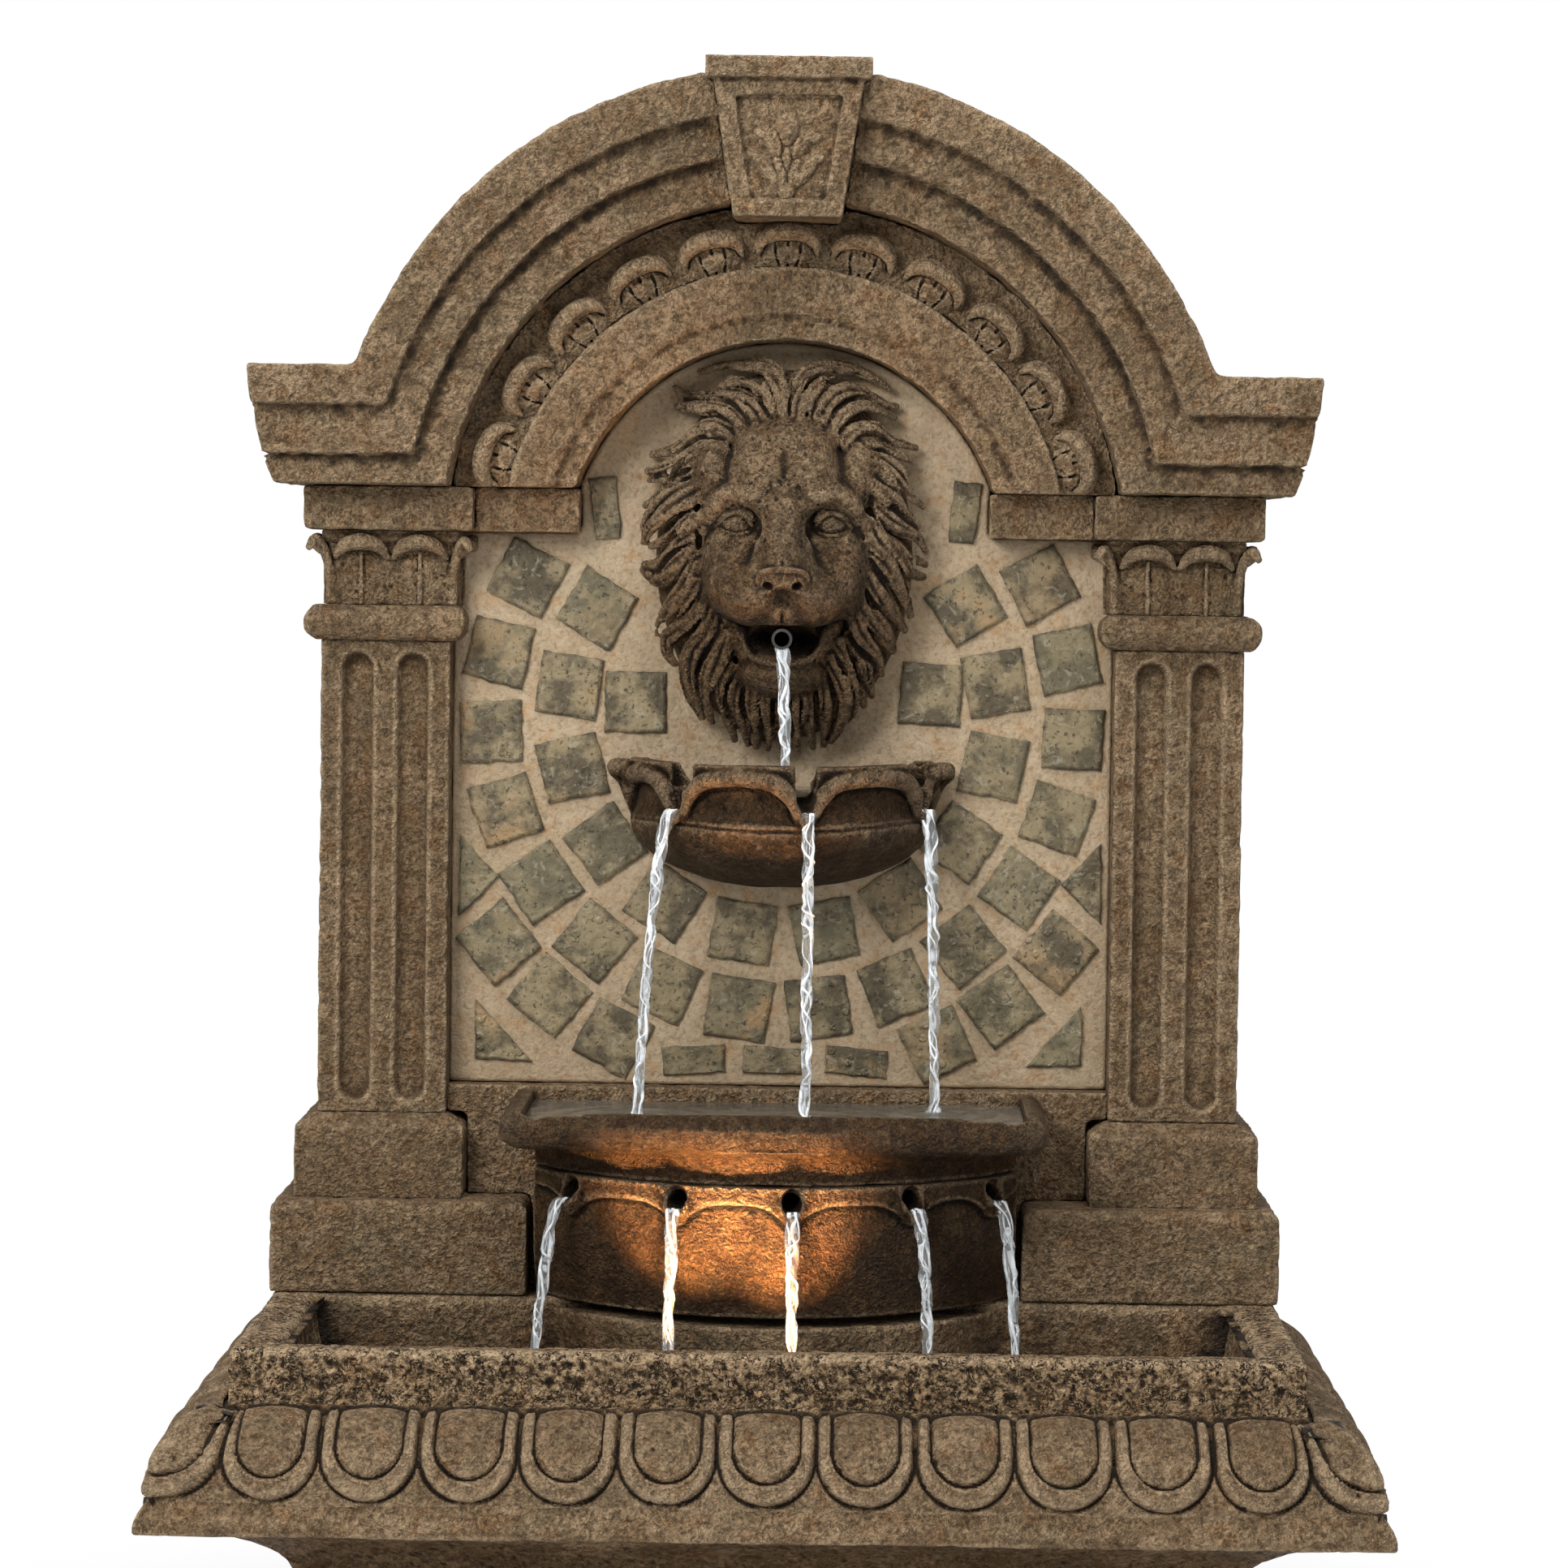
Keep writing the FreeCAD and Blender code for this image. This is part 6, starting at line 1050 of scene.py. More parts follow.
def makeScallopBowl(look):
    clay = Clay((-181, -68, 388), (181, 94, 493), look["step"])
    middleY = look["middleY"]

    def bodyRadius(z):
        return 209.0 + 14.0 * np.sin(ramp(z, 392.0, 78.0) * math.pi * 0.62) ** 1.3

    def lobe(lift, radius, bulge):
        def distance(x, y, z):
            turn = np.degrees(np.arctan2(x, middleY - y))
            away = np.min([np.abs(turn - spout) for spout in look["spouts"]], axis=0)
            edge = 476.0 + lift - 15.0 * np.exp(-(away / 3.6) ** 1.5)
            reach = radius + bulge * np.clip(1.0 - away / 10.0, 0, 1) - 9.0 * ramp(away, 11.0, 8.0)
            return np.maximum((np.sqrt(x * x + (y - middleY) ** 2) - reach) * 0.9, edge - z)
        return makeForm(distance, (-178, -60, 450), (178, 92, 489))
    clay.add(roundBody(middleY, bodyRadius, (-178, -50, 392), (178, 92, 480)), 1.0)
    clay.add(lobe(-9.0, 221.5, 1.5), 2.2)
    clay.add(lobe(0.0, 226.0, 3.0), 2.2)
    for turn in look["spouts"]:
        sculpt(clay, middle,
               (add, 3.0, around(turn, middleY, (214, 478), (228, 474), (236, 468)), [12.5, 9.5, 4.5]),
               (add, 3.0, around(turn, middleY, (222, 466), (234, 464)), [7.0, 3.5]))
    for turn in look["spouts"]:
        sculpt(clay, middle,
               (cut, 1.2, around(turn, middleY, (206, 479), (226, 478), (246, 473)), [6.0, 6.8, 5.0]),
               (cut, 2.0, around(turn, middleY, (232, 482), (246, 479)), [8.0, 9.0]))
    clay.cut(slab((0, 43, 470), (88, 38, 38), 8.0), 2.0)
    clay.trim(lambda x, y, z: np.maximum(np.maximum(y - 90.0, np.abs(x) - 177.0), np.abs(z - 440.5) - 48.5))
    low, high = (-177, -64, 392), (177, 90, 489)
    clayPiece("scallopBowl", clay, look, "scallop_bowl", bowlStone, 560, low, high, 1.6)


makeUpperBowl(upperBowlLook)
makeTray(trayLook)
makeScallopBowl(scallopLook)
print("bowls ready")


# Cast blocks of the wall, taken evenly from the solids and weathered

fluteLook = {
    "radius": 11.5, "depth": 10.0, "half": 166.0, "relief": 0.7, "shifts": (-20.5, 20.5), "stretch": 1.3,
    "shaftX": 293.25, "shaftY": 147.5, "shaftZ": 696.0, "front": 80.0, "side": 341.0,
}
slantLook = {"low": 985.0, "high": 1094.0, "level": 4.0, "from": 340.0, "end": 392.0, "slant": 9.0, "curl": 11.0}


def cutFlutes(mesh, look):
    # two round-ended flutes on the front and two on the outer side of a shaft
    points = millimetres(mesh)
    radius = look["radius"]
    along = np.maximum(np.abs(points[:, 2] - look["shaftZ"]) - (look["half"] - radius), 0.0)

    def groove(across):
        inward = np.clip(radius - np.hypot(across, along), 0.0, radius) / radius
        return inward > 0.0, look["depth"] * np.sqrt(np.clip(1.0 - (1.0 - inward) ** 3, 0.0, 1.0))
    for shift in look["shifts"]:
        here, sunk = groove(np.abs(points[:, 0]) - look["shaftX"] - shift)
        here &= points[:, 1] < look["front"] + 20.0
        points[:, 1] = np.where(here, np.maximum(points[:, 1], look["front"] + sunk), points[:, 1])
        here, sunk = groove(points[:, 1] - look["shaftY"] - look["stretch"] * shift)
        reach = np.abs(points[:, 0])
        here &= reach > look["side"] - 19.0
        points[:, 0] = np.where(here, np.sign(points[:, 0]) * np.minimum(reach, look["side"] - sunk), points[:, 0])
    setPoints(mesh, points)
    markRelief(mesh, look["relief"], 6)


def slantEnds(mesh, look):
    # draws the stepped ends of the cornice in along one slanting line
    points, start, count = millimetres(mesh), look["from"], 80
    reach = np.abs(points[:, 0])
    level = np.clip((points[:, 2] - look["low"]) / look["level"], 0, count - 1).astype(int)
    ends = np.zeros(count)
    np.maximum.at(ends, level, reach)
    share = ramp(points[:, 2], look["high"], look["low"] - look["high"])
    gap = np.maximum(ends[level] - (look["end"] - look["slant"] * share - look["curl"] * share ** 3), 0.0)
    points[:, 0] -= np.sign(points[:, 0]) * gap * ramp(reach, start, np.maximum(ends[level] - start, 1.0))
    setPoints(mesh, points)


# piece, node and cell size in mm, first the pairs, then the single blocks
pairs = [("plinthLower", "plinth_lower", 3.0), ("plinthUpper", "plinth_upper", 2.5), ("shaft", "column", 1.9),
         ("neckRing", "neck_ring", 2.2), ("abacus", "abacus", 2.2), ("impost", "impost", 2.2)]
blocks = [(name + side, node + "_" + side.lower(), voxel) for name, node, voxel in pairs for side in ("Left", "Right")]
blocks += [("archCornice", "arch_cornice", 3.0), ("archFrieze", "arch_frieze", 2.5), ("archRing", "arch_ring", 2.5),
           ("keystoneBlock", "keystone", 1.8), ("sillCourse", "sill_course", 2.6), ("pedestalFoot", "pedestal", 4.5)]
for index, (name, node, voxel) in enumerate(blocks):
    gain = 0.4 if "shaft" in name else 0.7
    piece = castPiece(name, node, voxel, castLook, castStone, 100 + 31 * index, gain)
    if name == "archCornice":
        slantEnds(piece.data, slantLook)
    if "shaft" in name:
        cutFlutes(piece.data, fluteLook)
bedLook = {**castLook, "wave": 0.3, "lump": 0.25, "pit": 0.5, "pitCell": 9.0, "pitShare": 0.1}
castPiece("mortarBed", "mortar_bed", 3.5, bedLook, mortarSand, 970)
print("cast blocks ready")


# Basin: body from the solid, rim band and egg moulding swept round its front and sides

basinLook = {
    "half": 369.0, "front": -159.0, "back": 215.0, "pitch": 67.0, "step": 1.5,
    "ringWide": 32.6, "ringLow": 40.0, "domeWide": 22.8, "domeLow": 34.0, "ringHigh": 5.2, "domeHigh": 6.0,
    "low": (-424.8, -214.8, 215.0), "high": (424.8, 214.9, 392.0),
    "wave": 0.5, "waveCell": 60.0, "lump": 0.45, "lumpCell": 12.0,
    "pit": 1.7, "pitCell": 5.5, "pitShare": 0.3, "patchCell": 40.0,
}
bandLook = {**basinLook, "wave": 0.8, "lump": 2.2, "lumpCell": 6.5, "pit": 4.0, "pitCell": 5.0, "pitShare": 0.55}


def sweepPath(look, fan):
    # stops from the back of the left side round the front to the back of the right side;
    # each has its place, its outward direction and its count of eggs from the middle
    half, front, back, pitch = look["half"], look["front"], look["back"], look["pitch"]
    inset = 14.0 if fan else 0.0
    across = np.linspace(0.0, 1.0, int(half / look["step"]) + 1)
    deep = np.linspace(0.0, 1.0, int((back - front) / look["step"] / 1.15) + 1)[1:]
    edge = (half - inset) / pitch
    rows = [((half - inset) * f, front, 0.0 if fan else f, -1.0, edge * f) for f in across]
    start = edge
    if fan:
        start = 12.0 - edge
        for turn in np.radians(np.linspace(0, 90, 46)[1:]):
            square = 0.12 + 0.88 / max(math.sin(turn), math.cos(turn))
            east, north = square * math.sin(turn), -square * math.cos(turn)
            cell = edge + (12.0 - 2 * edge) * turn / (math.pi / 2)
            rows.append((half + inset * (east - 1), front + inset * (north + 1), east, north, cell))
    side = back - front - inset
    for f in deep:
        rows.append((half, front + inset + f * side, 1.0, 0.0 if fan else f - 1.0, start + f * side / pitch))
    rows = np.array(rows)
    left = rows[:0:-1] * (-1, 1, -1, 1, -1)
    return np.vstack([left, rows])


def sweptMesh(name, path, reach, height, capTo):
    # reach and height hold one value for each stop and each row of the profile
    x = path[:, 0:1] + path[:, 2:3] * reach
    y = path[:, 1:2] + path[:, 3:4] * reach
    grid = np.stack([x, y, height], axis=2)
    first, last = grid[:1].copy(), grid[-1:].copy()
    first[..., 0] = -capTo
    last[..., 0] = capTo
    grid = np.concatenate([first, grid, last])
    index = np.arange(grid.shape[0] * grid.shape[1]).reshape(grid.shape[:2])
    return meshFromArrays(name, grid.reshape(-1, 3), gridQuads(index)[:, [0, 3, 2, 1]])


def profileLine(first, last, count):
    return np.stack([np.linspace(a, b, count) for a, b in zip(first, last)], axis=1)


def eggProfile():
    # points as (outward, height), and how many of them lie above the eggs
    top = np.array([(-3.0, 358.0), (-0.5, 354.5), (1.2, 351.5), (2.6, 349.0)])
    turn = np.linspace(0, math.pi / 2, 56)
    ovolo = np.stack([4 + 44 * np.sin(turn), 297 + 50 * np.cos(turn)], axis=1)
    below = np.array([(47.5, 294.5), (46.0, 292.0), (44.0, 290.0)])
    return np.vstack([top, ovolo, below]), len(top)


def coveProfile():
    # points as (outward, height), from behind the eggs down over the fascia and the cove
    slope = profileLine((34.0, 316.0), (53.0, 288.0), 18)
    lip = np.array([(54.2, 285.5), (54.9, 283.0)])
    fascia = profileLine((55.2, 281.0), (55.2, 277.5), 4)
    under = np.array([(54.4, 275.8), (53.0, 274.9), (50.0, 274.6)])
    turn = np.linspace(0.05, math.pi / 2, 36)
    cove = np.stack([50 - 94 * np.sin(turn) ** 1.25, 215 + 59.5 * np.cos(turn)], axis=1)
    return np.vstack([slope, lip, fascia, under, cove])


def eggRelief(look, t, run):
    # a dome in a ring, t across from the egg's middle and run down the profile
    outer = np.hypot(t, np.maximum(run - look["ringLow"], 0.0)) - look["ringWide"]
    inner = np.hypot(t, np.maximum(run - look["domeLow"], 0.0)) - look["domeWide"]
    between = 2.0 * inner / np.maximum(inner - outer, 0.1) - 1.0
    ring = look["ringHigh"] * arch(between) + 1.8 * np.exp(-((inner - 2.3) / 0.8) ** 2)
    dome = 1.5 + look["domeHigh"] * arch(1.0 + inner / look["domeWide"])
    high = np.where(inner < 0.0, dome, np.where(outer < 0.0, ring, 0.0))
    # the grooves inside and outside the ring
    high -= 2.6 * np.exp(-((inner - 0.2) / 0.9) ** 2)
    high -= 3.2 * np.exp(-(outer / 1.5) ** 2)
    return high * ramp(run, -4.0, 7.0) * ramp(run, 80.0, -5.0)


def makeMoulding(look):
    path = sweepPath(look, True)
    profile, skipped = eggProfile()
    along = np.gradient(profile, axis=0)
    outward = np.stack([-along[:, 1], along[:, 0]], axis=1)
    outward /= np.linalg.norm(outward, axis=1)[:, None]
    run = np.concatenate([[0.0], np.cumsum(np.linalg.norm(np.diff(profile, axis=0), axis=1))])
    run -= run[skipped]
    cell = path[:, 4]
    t = (cell - np.round(cell)) * look["pitch"]
    high = eggRelief(look, t[:, None], run[None, :])
    corner = (np.abs(path[:, 2]) > 0.001) & (np.abs(path[:, 3]) > 0.001)
    high = np.where(corner[:, None], high * ramp(profile[None, :, 0], -6.0, 18.0), high)
    reach, height = (profile[None, :, k] + outward[None, :, k] * high for k in range(2))
    mesh = sweptMesh("basinMoulding", path, reach, height, 340.0)
    weather(mesh, look, 610)
    keepInside(mesh, look["low"], (424.8, 214.1, 392.0))
    markRelief(mesh, 1.3)
    return mesh


def makeCove(look):
    path, profile = sweepPath(look, False), coveProfile()
    height = np.repeat(profile[None, :, 1], len(path), axis=0)
    dip = 2.2 * np.cos(2 * math.pi * path[:, 4:5]) * ramp(height, 296.0, 14.0)
    mesh = sweptMesh("basinCove", path, profile[None, :, 0] - dip, height, 325.0)
    weather(mesh, look, 625)
    keepInside(mesh, (-424.9, -214.9, 215.0), (424.9, 213.3, 392.0))
    markRelief(mesh, 1.0, 8)
    return mesh


def makeRimBand(look):
    path = sweepPath(look, False)
    inside = profileLine((-57.0, 264.0), (-32.5, 383.0), 40)
    over = np.array([(-31.4, 386.0), (-29.5, 388.4), (-26.0, 389.6), (-22.0, 390.2), (-17.0, 390.9), (-12.0, 391.4),
                     (-7.0, 391.8), (-4.0, 391.4), (-1.8, 390.2), (-0.5, 388.0)])
    face = profileLine((0.0, 386.0), (0.0, 353.0), 22)
    below = np.array([(-1.2, 350.8), (-4.0, 349.5), (-9.0, 349.0)])
    profile = np.vstack([inside, over, face, below])
    outer = np.arange(len(profile)) > len(inside) + len(over)
    scallop = 2.4 * np.cos(2 * math.pi * path[:, 4:5]) * ramp(profile[None, :, 1], 372.0, -16.0) * outer[None, :]
    reach = np.repeat(profile[None, :, 0], len(path), axis=0)
    mesh = sweptMesh("basinRim", path, reach, profile[None, :, 1] + scallop, 339.0)
    points = millimetres(mesh)
    outside = np.maximum(np.abs(points[:, 0]) - look["half"], look["front"] - points[:, 1]) > -2.5
    rough = 0.12 + 0.88 * ramp(points[:, 2], 355.0, 9.0) * ramp(points[:, 2], 391.0, -5.0)
    weather(mesh, look, 640, np.where(outside, rough, 0.3))
    keepInside(mesh, look["low"], (424.8, 213.7, 391.9))
    markRelief(mesh, 1.0)
    return mesh


def makeBasinBody(look):
    # the solid's own inside and underside; its outer faces step back behind the swept skin
    mesh = evenCopy("basinBody", "basin", 4.8)
    points = millimetres(mesh)
    x, y, z = points.T.copy()
    sideways, forward = np.abs(x) - look["half"], look["front"] - y
    reach = np.maximum(sideways, forward)
    # how far out the cove, the fascia and the eggs stand at each height, less room for the skin
    cove = 22.0 - np.sqrt(np.clip(66.0 ** 2 - (z - 215.0) ** 2, 0.0, None))
    eggs = 4.0 + 44.0 * arch((z - 303.0) / 44.0)
    limit = np.where(z < 279.0, cove, np.where(z < 303.0, 48.0, np.where(z < 347.0, eggs, 0.0))) - 6.0
    # the trough's wall is drawn in behind the rim band
    wall = (reach > -62.0) & (reach < -34.0) & (z > 264.0) & (z < 388.0) & (y < 45.0)
    shift = np.where(wall, reach + 13.0, np.minimum(reach, limit)) - reach
    points[:, 0] += np.where(sideways > forward, np.sign(x) * shift, 0.0)
    points[:, 1] -= np.where(sideways > forward, 0.0, shift)
    points[:, 2] = np.where((z > 386.0) & (points[:, 1] < 45.0), 385.0, z)
    setPoints(mesh, points)
    weather(mesh, castLook, 670)
    keepInside(mesh, look["low"], look["high"])
    markRelief(mesh)
    return mesh


# the swept pieces end at back planes of their own, because faces in one plane would flicker
addPiece("basinMoulding", makeMoulding(basinLook), ["basin"], castStone)
addPiece("basinCove", makeCove(basinLook), ["basin"], coveStone)
addPiece("basinRim", makeRimBand(bandLook), ["basin"], rimStone)
addPiece("basinBody", makeBasinBody(basinLook), ["basin"], basinStone)
print("basin ready")


# Slate tiles: split faces, worn edges, each with its own tone

tileLook = {"centreZ": 815.0, "front": 102.0, "bed": 106.0, "cells": 30, "cleft": 1.5, "wobble": 1.1}


def squareTile(x, z, turn, wide=46.0, tall=46.0):
    c, s = math.cos(math.radians(turn)), math.sin(math.radians(turn))
    return [(x + u * wide / 2 * c + w * tall / 2 * s, z + w * tall / 2 * c - u * wide / 2 * s)
            for u, w in ((-1, -1), (1, -1), (1, 1), (-1, 1))]


def ringTile(look, radius, angle):
    turn = math.radians(angle)
    return squareTile(radius * math.cos(turn), look["centreZ"] + radius * math.sin(turn), 90.0 - angle)


def chipTile(a, b, c):
    if (b[0] - a[0]) * (c[1] - a[1]) - (b[1] - a[1]) * (c[0] - a[0]) < 0:
        b, c = c, b
    return [a, b, c, ((a[0] + c[0]) / 2, (a[1] + c[1]) / 2)]


def tileMesh(name, look, outlines, seed):
    inner = np.linspace(0.04, 0.96, look["cells"])
    line = np.concatenate([[0.0, 0.0, 0.012], inner, [0.988, 1.0, 1.0]])
    count = len(line)
    ring = np.minimum(np.arange(count), count - 1 - np.arange(count))
    ring = np.minimum(ring[:, None], ring[None, :]).reshape(-1)
    edge = np.clip(1.0 - np.abs(ring - 2.0) / 6.0, 0.0, 1.0) * (ring < 8)
    faces = gridQuads(np.arange(count * count).reshape(count, count))
    u, w = line[:, None, None], line[None, :, None]
    tiles, tones = [], []
    random = np.random.default_rng(seed)
    for order, corners in enumerate(outlines):
        a, b, c, d = (np.array(corner) + random.uniform(-0.9, 0.9, 2) for corner in corners)
        flat = (1 - u) * (1 - w) * a + u * (1 - w) * b + u * w * c + (1 - u) * w * d
        spots = np.stack([flat[..., 0], np.zeros((count, count)), flat[..., 1]], axis=2).reshape(-1, 3)
        for axis, offset in ((0, 1), (2, 2)):
            spots[:, axis] += look["wobble"] * edge * layeredNoise(spots + order * 50.0, 8.0, seed + offset, 2)
        lean = random.uniform(0, math.pi)
        c1, s1 = math.cos(lean), math.sin(lean)
        x, y, z = spots.T
        grain = np.stack([(x * c1 + z * s1) * 0.45, y, z * c1 - x * s1], axis=1)
        layer = (layeredNoise(grain + order * 90.0, 17.0, seed + 3, 2) + 1.2) * 2.2
        step = np.floor(layer) + np.clip((layer - np.floor(layer) - 0.35) / 0.3, 0.0, 1.0)
        rise = look["cleft"] * (step / 4.4 - 0.5) + 0.35 * layeredNoise(grain * 1.8, 6.0, seed + 5, 3)
        face = look["front"] + 0.9 - np.clip(rise, -0.9, 0.9)
        # the outermost ring lies on the bed, the next one down the side, the third on the worn edge
        spots[:, 1] = np.select([ring == 0, ring == 1, ring == 2],
                                [look["bed"] - 0.05, look["front"] + 2.2, face + 0.9], face)
        tiles.append((spots, faces))
        tones.append(np.full(count * count, random.uniform(0.0, 1.0)))
    mesh = joinArrays(name, tiles)
    tones = np.concatenate(tones).astype(np.float32)
    mesh.attributes.new("tone", "FLOAT", "POINT").data.foreach_set("value", tones)
    markRelief(mesh, 0.8)
    return mesh


def slateMaterial():
    material, tree, surface = newMaterial("splitSlate")
    place, tone, relief = tree.place(), tree.attribute("tone"), tree.attribute("relief")
    shift = tree.put("CombineXYZ", {0: tone, 1: tree.times(tone, 7.0), 2: 0.0}).outputs[0]
    spot = tree.vector(place, shift, "ADD")
    cloud = tree.noise(spot, 38.0, 5.0, 0.65)
    fine = tree.noise(spot, 260.0, 4.0, 0.7)
    layers = tree.noise(spot, 90.0, 4.0, 0.6, 1.5)
    colour = tree.mix(tree.span(cloud, 0.4, 0.6), (0.07, 0.052, 0.024), (0.24, 0.185, 0.098))
    colour = tree.mix(tree.span(tone, 0.45, 0.9, 0.0, 0.45), colour, (0.15, 0.13, 0.07))
    rust = tree.span(tree.noise(spot, 19.0, 3.0, 0.6), 0.5, 0.62)
    rust = tree.times(rust, tree.span(tree.maths("FRACT", tree.times(tone, 3.7)), 0.35, 0.95))
    colour = tree.mix(tree.times(rust, 0.75), colour, (0.33, 0.19, 0.08))
    colour = tree.mix(tree.span(layers, 0.56, 0.68, 0.0, 0.55), colour, (0.32, 0.28, 0.2))
    colour = tree.mix(tree.span(fine, 0.44, 0.36, 0.0, 0.8), colour, (0.02, 0.015, 0.008))
    # painted shade: darker on the tiles' rolled edges, near-black in the crevices
    colour = tree.mix(tree.span(relief, 0.25, 0.9, 0.0, 0.7), colour, (0.035, 0.027, 0.016))
    colour = tree.mix(tree.span(relief, -0.1, -0.7, 0.0, 0.85), colour, (0.02, 0.013, 0.007))
    beads = tree.put("TexVoronoi", {"Vector": spot, "Scale": 95.0, "Randomness": 1.0}).outputs["Distance"]
    wet = tree.times(tree.span(beads, 0.34, 0.2), tree.span(tree.upward(place), 0.75, 0.62))
    wet = tree.times(wet, tree.span(tree.noise(spot, 60.0), 0.5, 0.56))
    height = tree.plus(tree.plus(tree.times(layers, 1.2), tree.times(fine, 0.6)), tree.times(wet, 0.9))
    tree.fill(surface, {
        "Base Color": colour,
        "Roughness": tree.minus(tree.span(fine, 0.3, 0.7, 0.75, 0.55), tree.times(wet, 0.5)),
        "Normal": tree.bump(0.8, 0.0012, height),
    })
    return material


def makeTiles(look):
    slate = slateMaterial()
    outer = [ringTile(look, 217.0, 270.0 + 15.8 * (k + 0.5)) for k in range(-8, 8)]
    inner = [ringTile(look, 161.0, 149.5 + 22.1 * k) for k in range(12)]
    inner += [squareTile(-133, 971, -6, 20, 45), squareTile(133, 971, 6, 20, 45)]
    inner += [squareTile(-109, 827, 0), squareTile(110, 836, 4)]
    lower = [ringTile(look, 269.0, angle) for angle in (218.9, 230.6, 242.7, 296.2, 308.0, 320.4)]
    lower += [squareTile(x, 560, turn, 46, 20) for x, turn in ((-63, -4), (-3, 2), (58, 5))]
    edge = []
    for side in both:
        edge.append(chipTile((side * 239.5, 726), (side * 239.5, 665), (side * 209.5, 695)))
        edge.append(chipTile((side * 226.5, 603), (side * 226.5, 558), (side * 184.5, 558)))
    for name, node, outlines, seed in (("tilesOuterRing", "slate_tiles_outer_ring", outer, 71),
                                       ("tilesInnerRing", "slate_tiles_inner_ring", inner, 72),
                                       ("tilesLower", "slate_tiles_lower", lower, 73),
                                       ("tilesEdge", "slate_tiles_edge", edge, 74)):
        addPiece(name, tileMesh(name, look, outlines, seed), [node], slate)


makeTiles(tileLook)
print("tiles ready")


# Finishes of the pump, lamp, hose, panel and fittings, on the solids' own shapes

def finishGroup():
    tree, given, result = newGroup("mouldedFinish", {
        "Base": (0.1, 0.1, 0.1, 1.0), "Worn": (0.2, 0.2, 0.2, 1.0), "Grain": 900.0, "Streak": 1.0, "Rough": 0.5})
    stretch = tree.put("CombineXYZ", {0: given["Streak"], 1: 1.0, 2: 1.0}).outputs[0]
    place = tree.vector(tree.place(), stretch, "MULTIPLY")
    cloud = tree.noise(place, 28.0, 4.0, 0.6)
    grain = tree.noise(place, given["Grain"], 2.0, 0.6)
    dust = tree.noise(place, 120.0, 4.0, 0.7)
    colour = tree.mix(tree.span(cloud, 0.35, 0.7, 0.0, 0.7), given["Base"], given["Worn"])
    colour = tree.mix(tree.span(dust, 0.55, 0.75, 0.0, 0.25), colour, (0.3, 0.27, 0.22))
    colour = tree.mix(tree.span(grain, 0.42, 0.34, 0.0, 0.3), colour, (0.01, 0.01, 0.01))
    rough = tree.plus(given["Rough"], tree.times(tree.minus(dust, 0.5), 0.35), True)
    tree.fill(result, {"Color": colour, "Roughness": rough, "Height": tree.plus(grain, tree.times(cloud, 0.5))})
    return tree.tree


moulded = finishGroup()
# the streak is the grain's scale along X: under 1 it draws the grain out
fittingKeys = ("Base", "Worn", "Grain", "Streak", "Rough", "metal")
fittingLooks = {
    "pump_plastic": ((0.012, 0.016, 0.022), (0.03, 0.035, 0.042), 1100.0, 1.0, 0.42, 0.0),
    "dial_plastic": ((0.5, 0.09, 0.03), (0.58, 0.15, 0.06), 1100.0, 1.0, 0.38, 0.0),
    "lamp_plastic": ((0.015, 0.015, 0.016), (0.035, 0.034, 0.033), 900.0, 1.0, 0.5, 0.0),
    "board_white": ((0.68, 0.68, 0.65), (0.55, 0.55, 0.5), 700.0, 1.0, 0.35, 0.0),
    "panel_board": ((0.13, 0.11, 0.085), (0.2, 0.17, 0.135), 420.0, 0.12, 0.7, 0.0),
    "hose_vinyl": ((0.2, 0.23, 0.21), (0.32, 0.34, 0.3), 500.0, 1.0, 0.25, 0.0),
    "rubber_black": ((0.012, 0.012, 0.012), (0.035, 0.033, 0.03), 800.0, 1.0, 0.75, 0.0),
    "shaft_ceramic": ((0.72, 0.71, 0.67), (0.6, 0.58, 0.53), 900.0, 6.0, 0.25, 0.0),
    "steel": ((0.5, 0.5, 0.49), (0.36, 0.35, 0.33), 1300.0, 0.1, 0.32, 1.0),
    "brass": ((0.55, 0.37, 0.13), (0.3, 0.2, 0.08), 900.0, 1.0, 0.38, 1.0),
    "dark_pipe": ((0.02, 0.017, 0.014), (0.05, 0.045, 0.04), 900.0, 1.0, 0.35, 0.0),
}


def fittingMaterial(name, look):
    look = dict(zip(fittingKeys, look))
    material, tree, surface = newMaterial(name)
    skin = tree.group(moulded, look).outputs
    tree.fill(surface, {"Base Color": skin["Color"], "Roughness": skin["Roughness"], "Metallic": look["metal"],
                        "Normal": tree.bump(0.35, 0.0003, skin["Height"])})
    return material


def lensMaterial():
    material, tree, surface = newMaterial("lensGlass")
    place = tree.place()
    ribs = tree.put("TexWave", {"Vector": place, "Scale": 140.0, "Distortion": 0.6, "Detail": 2.0}).outputs["Fac"]
    film = tree.noise(place, 220.0, 4.0, 0.6)
    tree.fill(surface, {
        "Base Color": tree.mix(film, (0.9, 0.8, 0.62), (0.98, 0.93, 0.82)),
        "Roughness": tree.span(film, 0.4, 0.7, 0.04, 0.2),
        "Normal": tree.bump(0.4, 0.0005, ribs),
        "Transmission Weight": 0.85, "IOR": 1.5,
    })
    return material


def dressSolids():
    finishes = {"lens_glass": lensMaterial(), "cast_stone": castStone}
    for slotName, look in fittingLooks.items():
        finishes[slotName] = fittingMaterial(slotName.replace("_", " ").title().replace(" ", ""), look)
    for entry in frame["record"]["subparts"]:
        if entry["material_slot"] in finishes:
            for slot in nodes[entry["node"]].material_slots:
                slot.material = finishes[entry["material_slot"]]


dressSolids()
print("fittings ready")


# Water: falling streams, and the surfaces they fall from and into

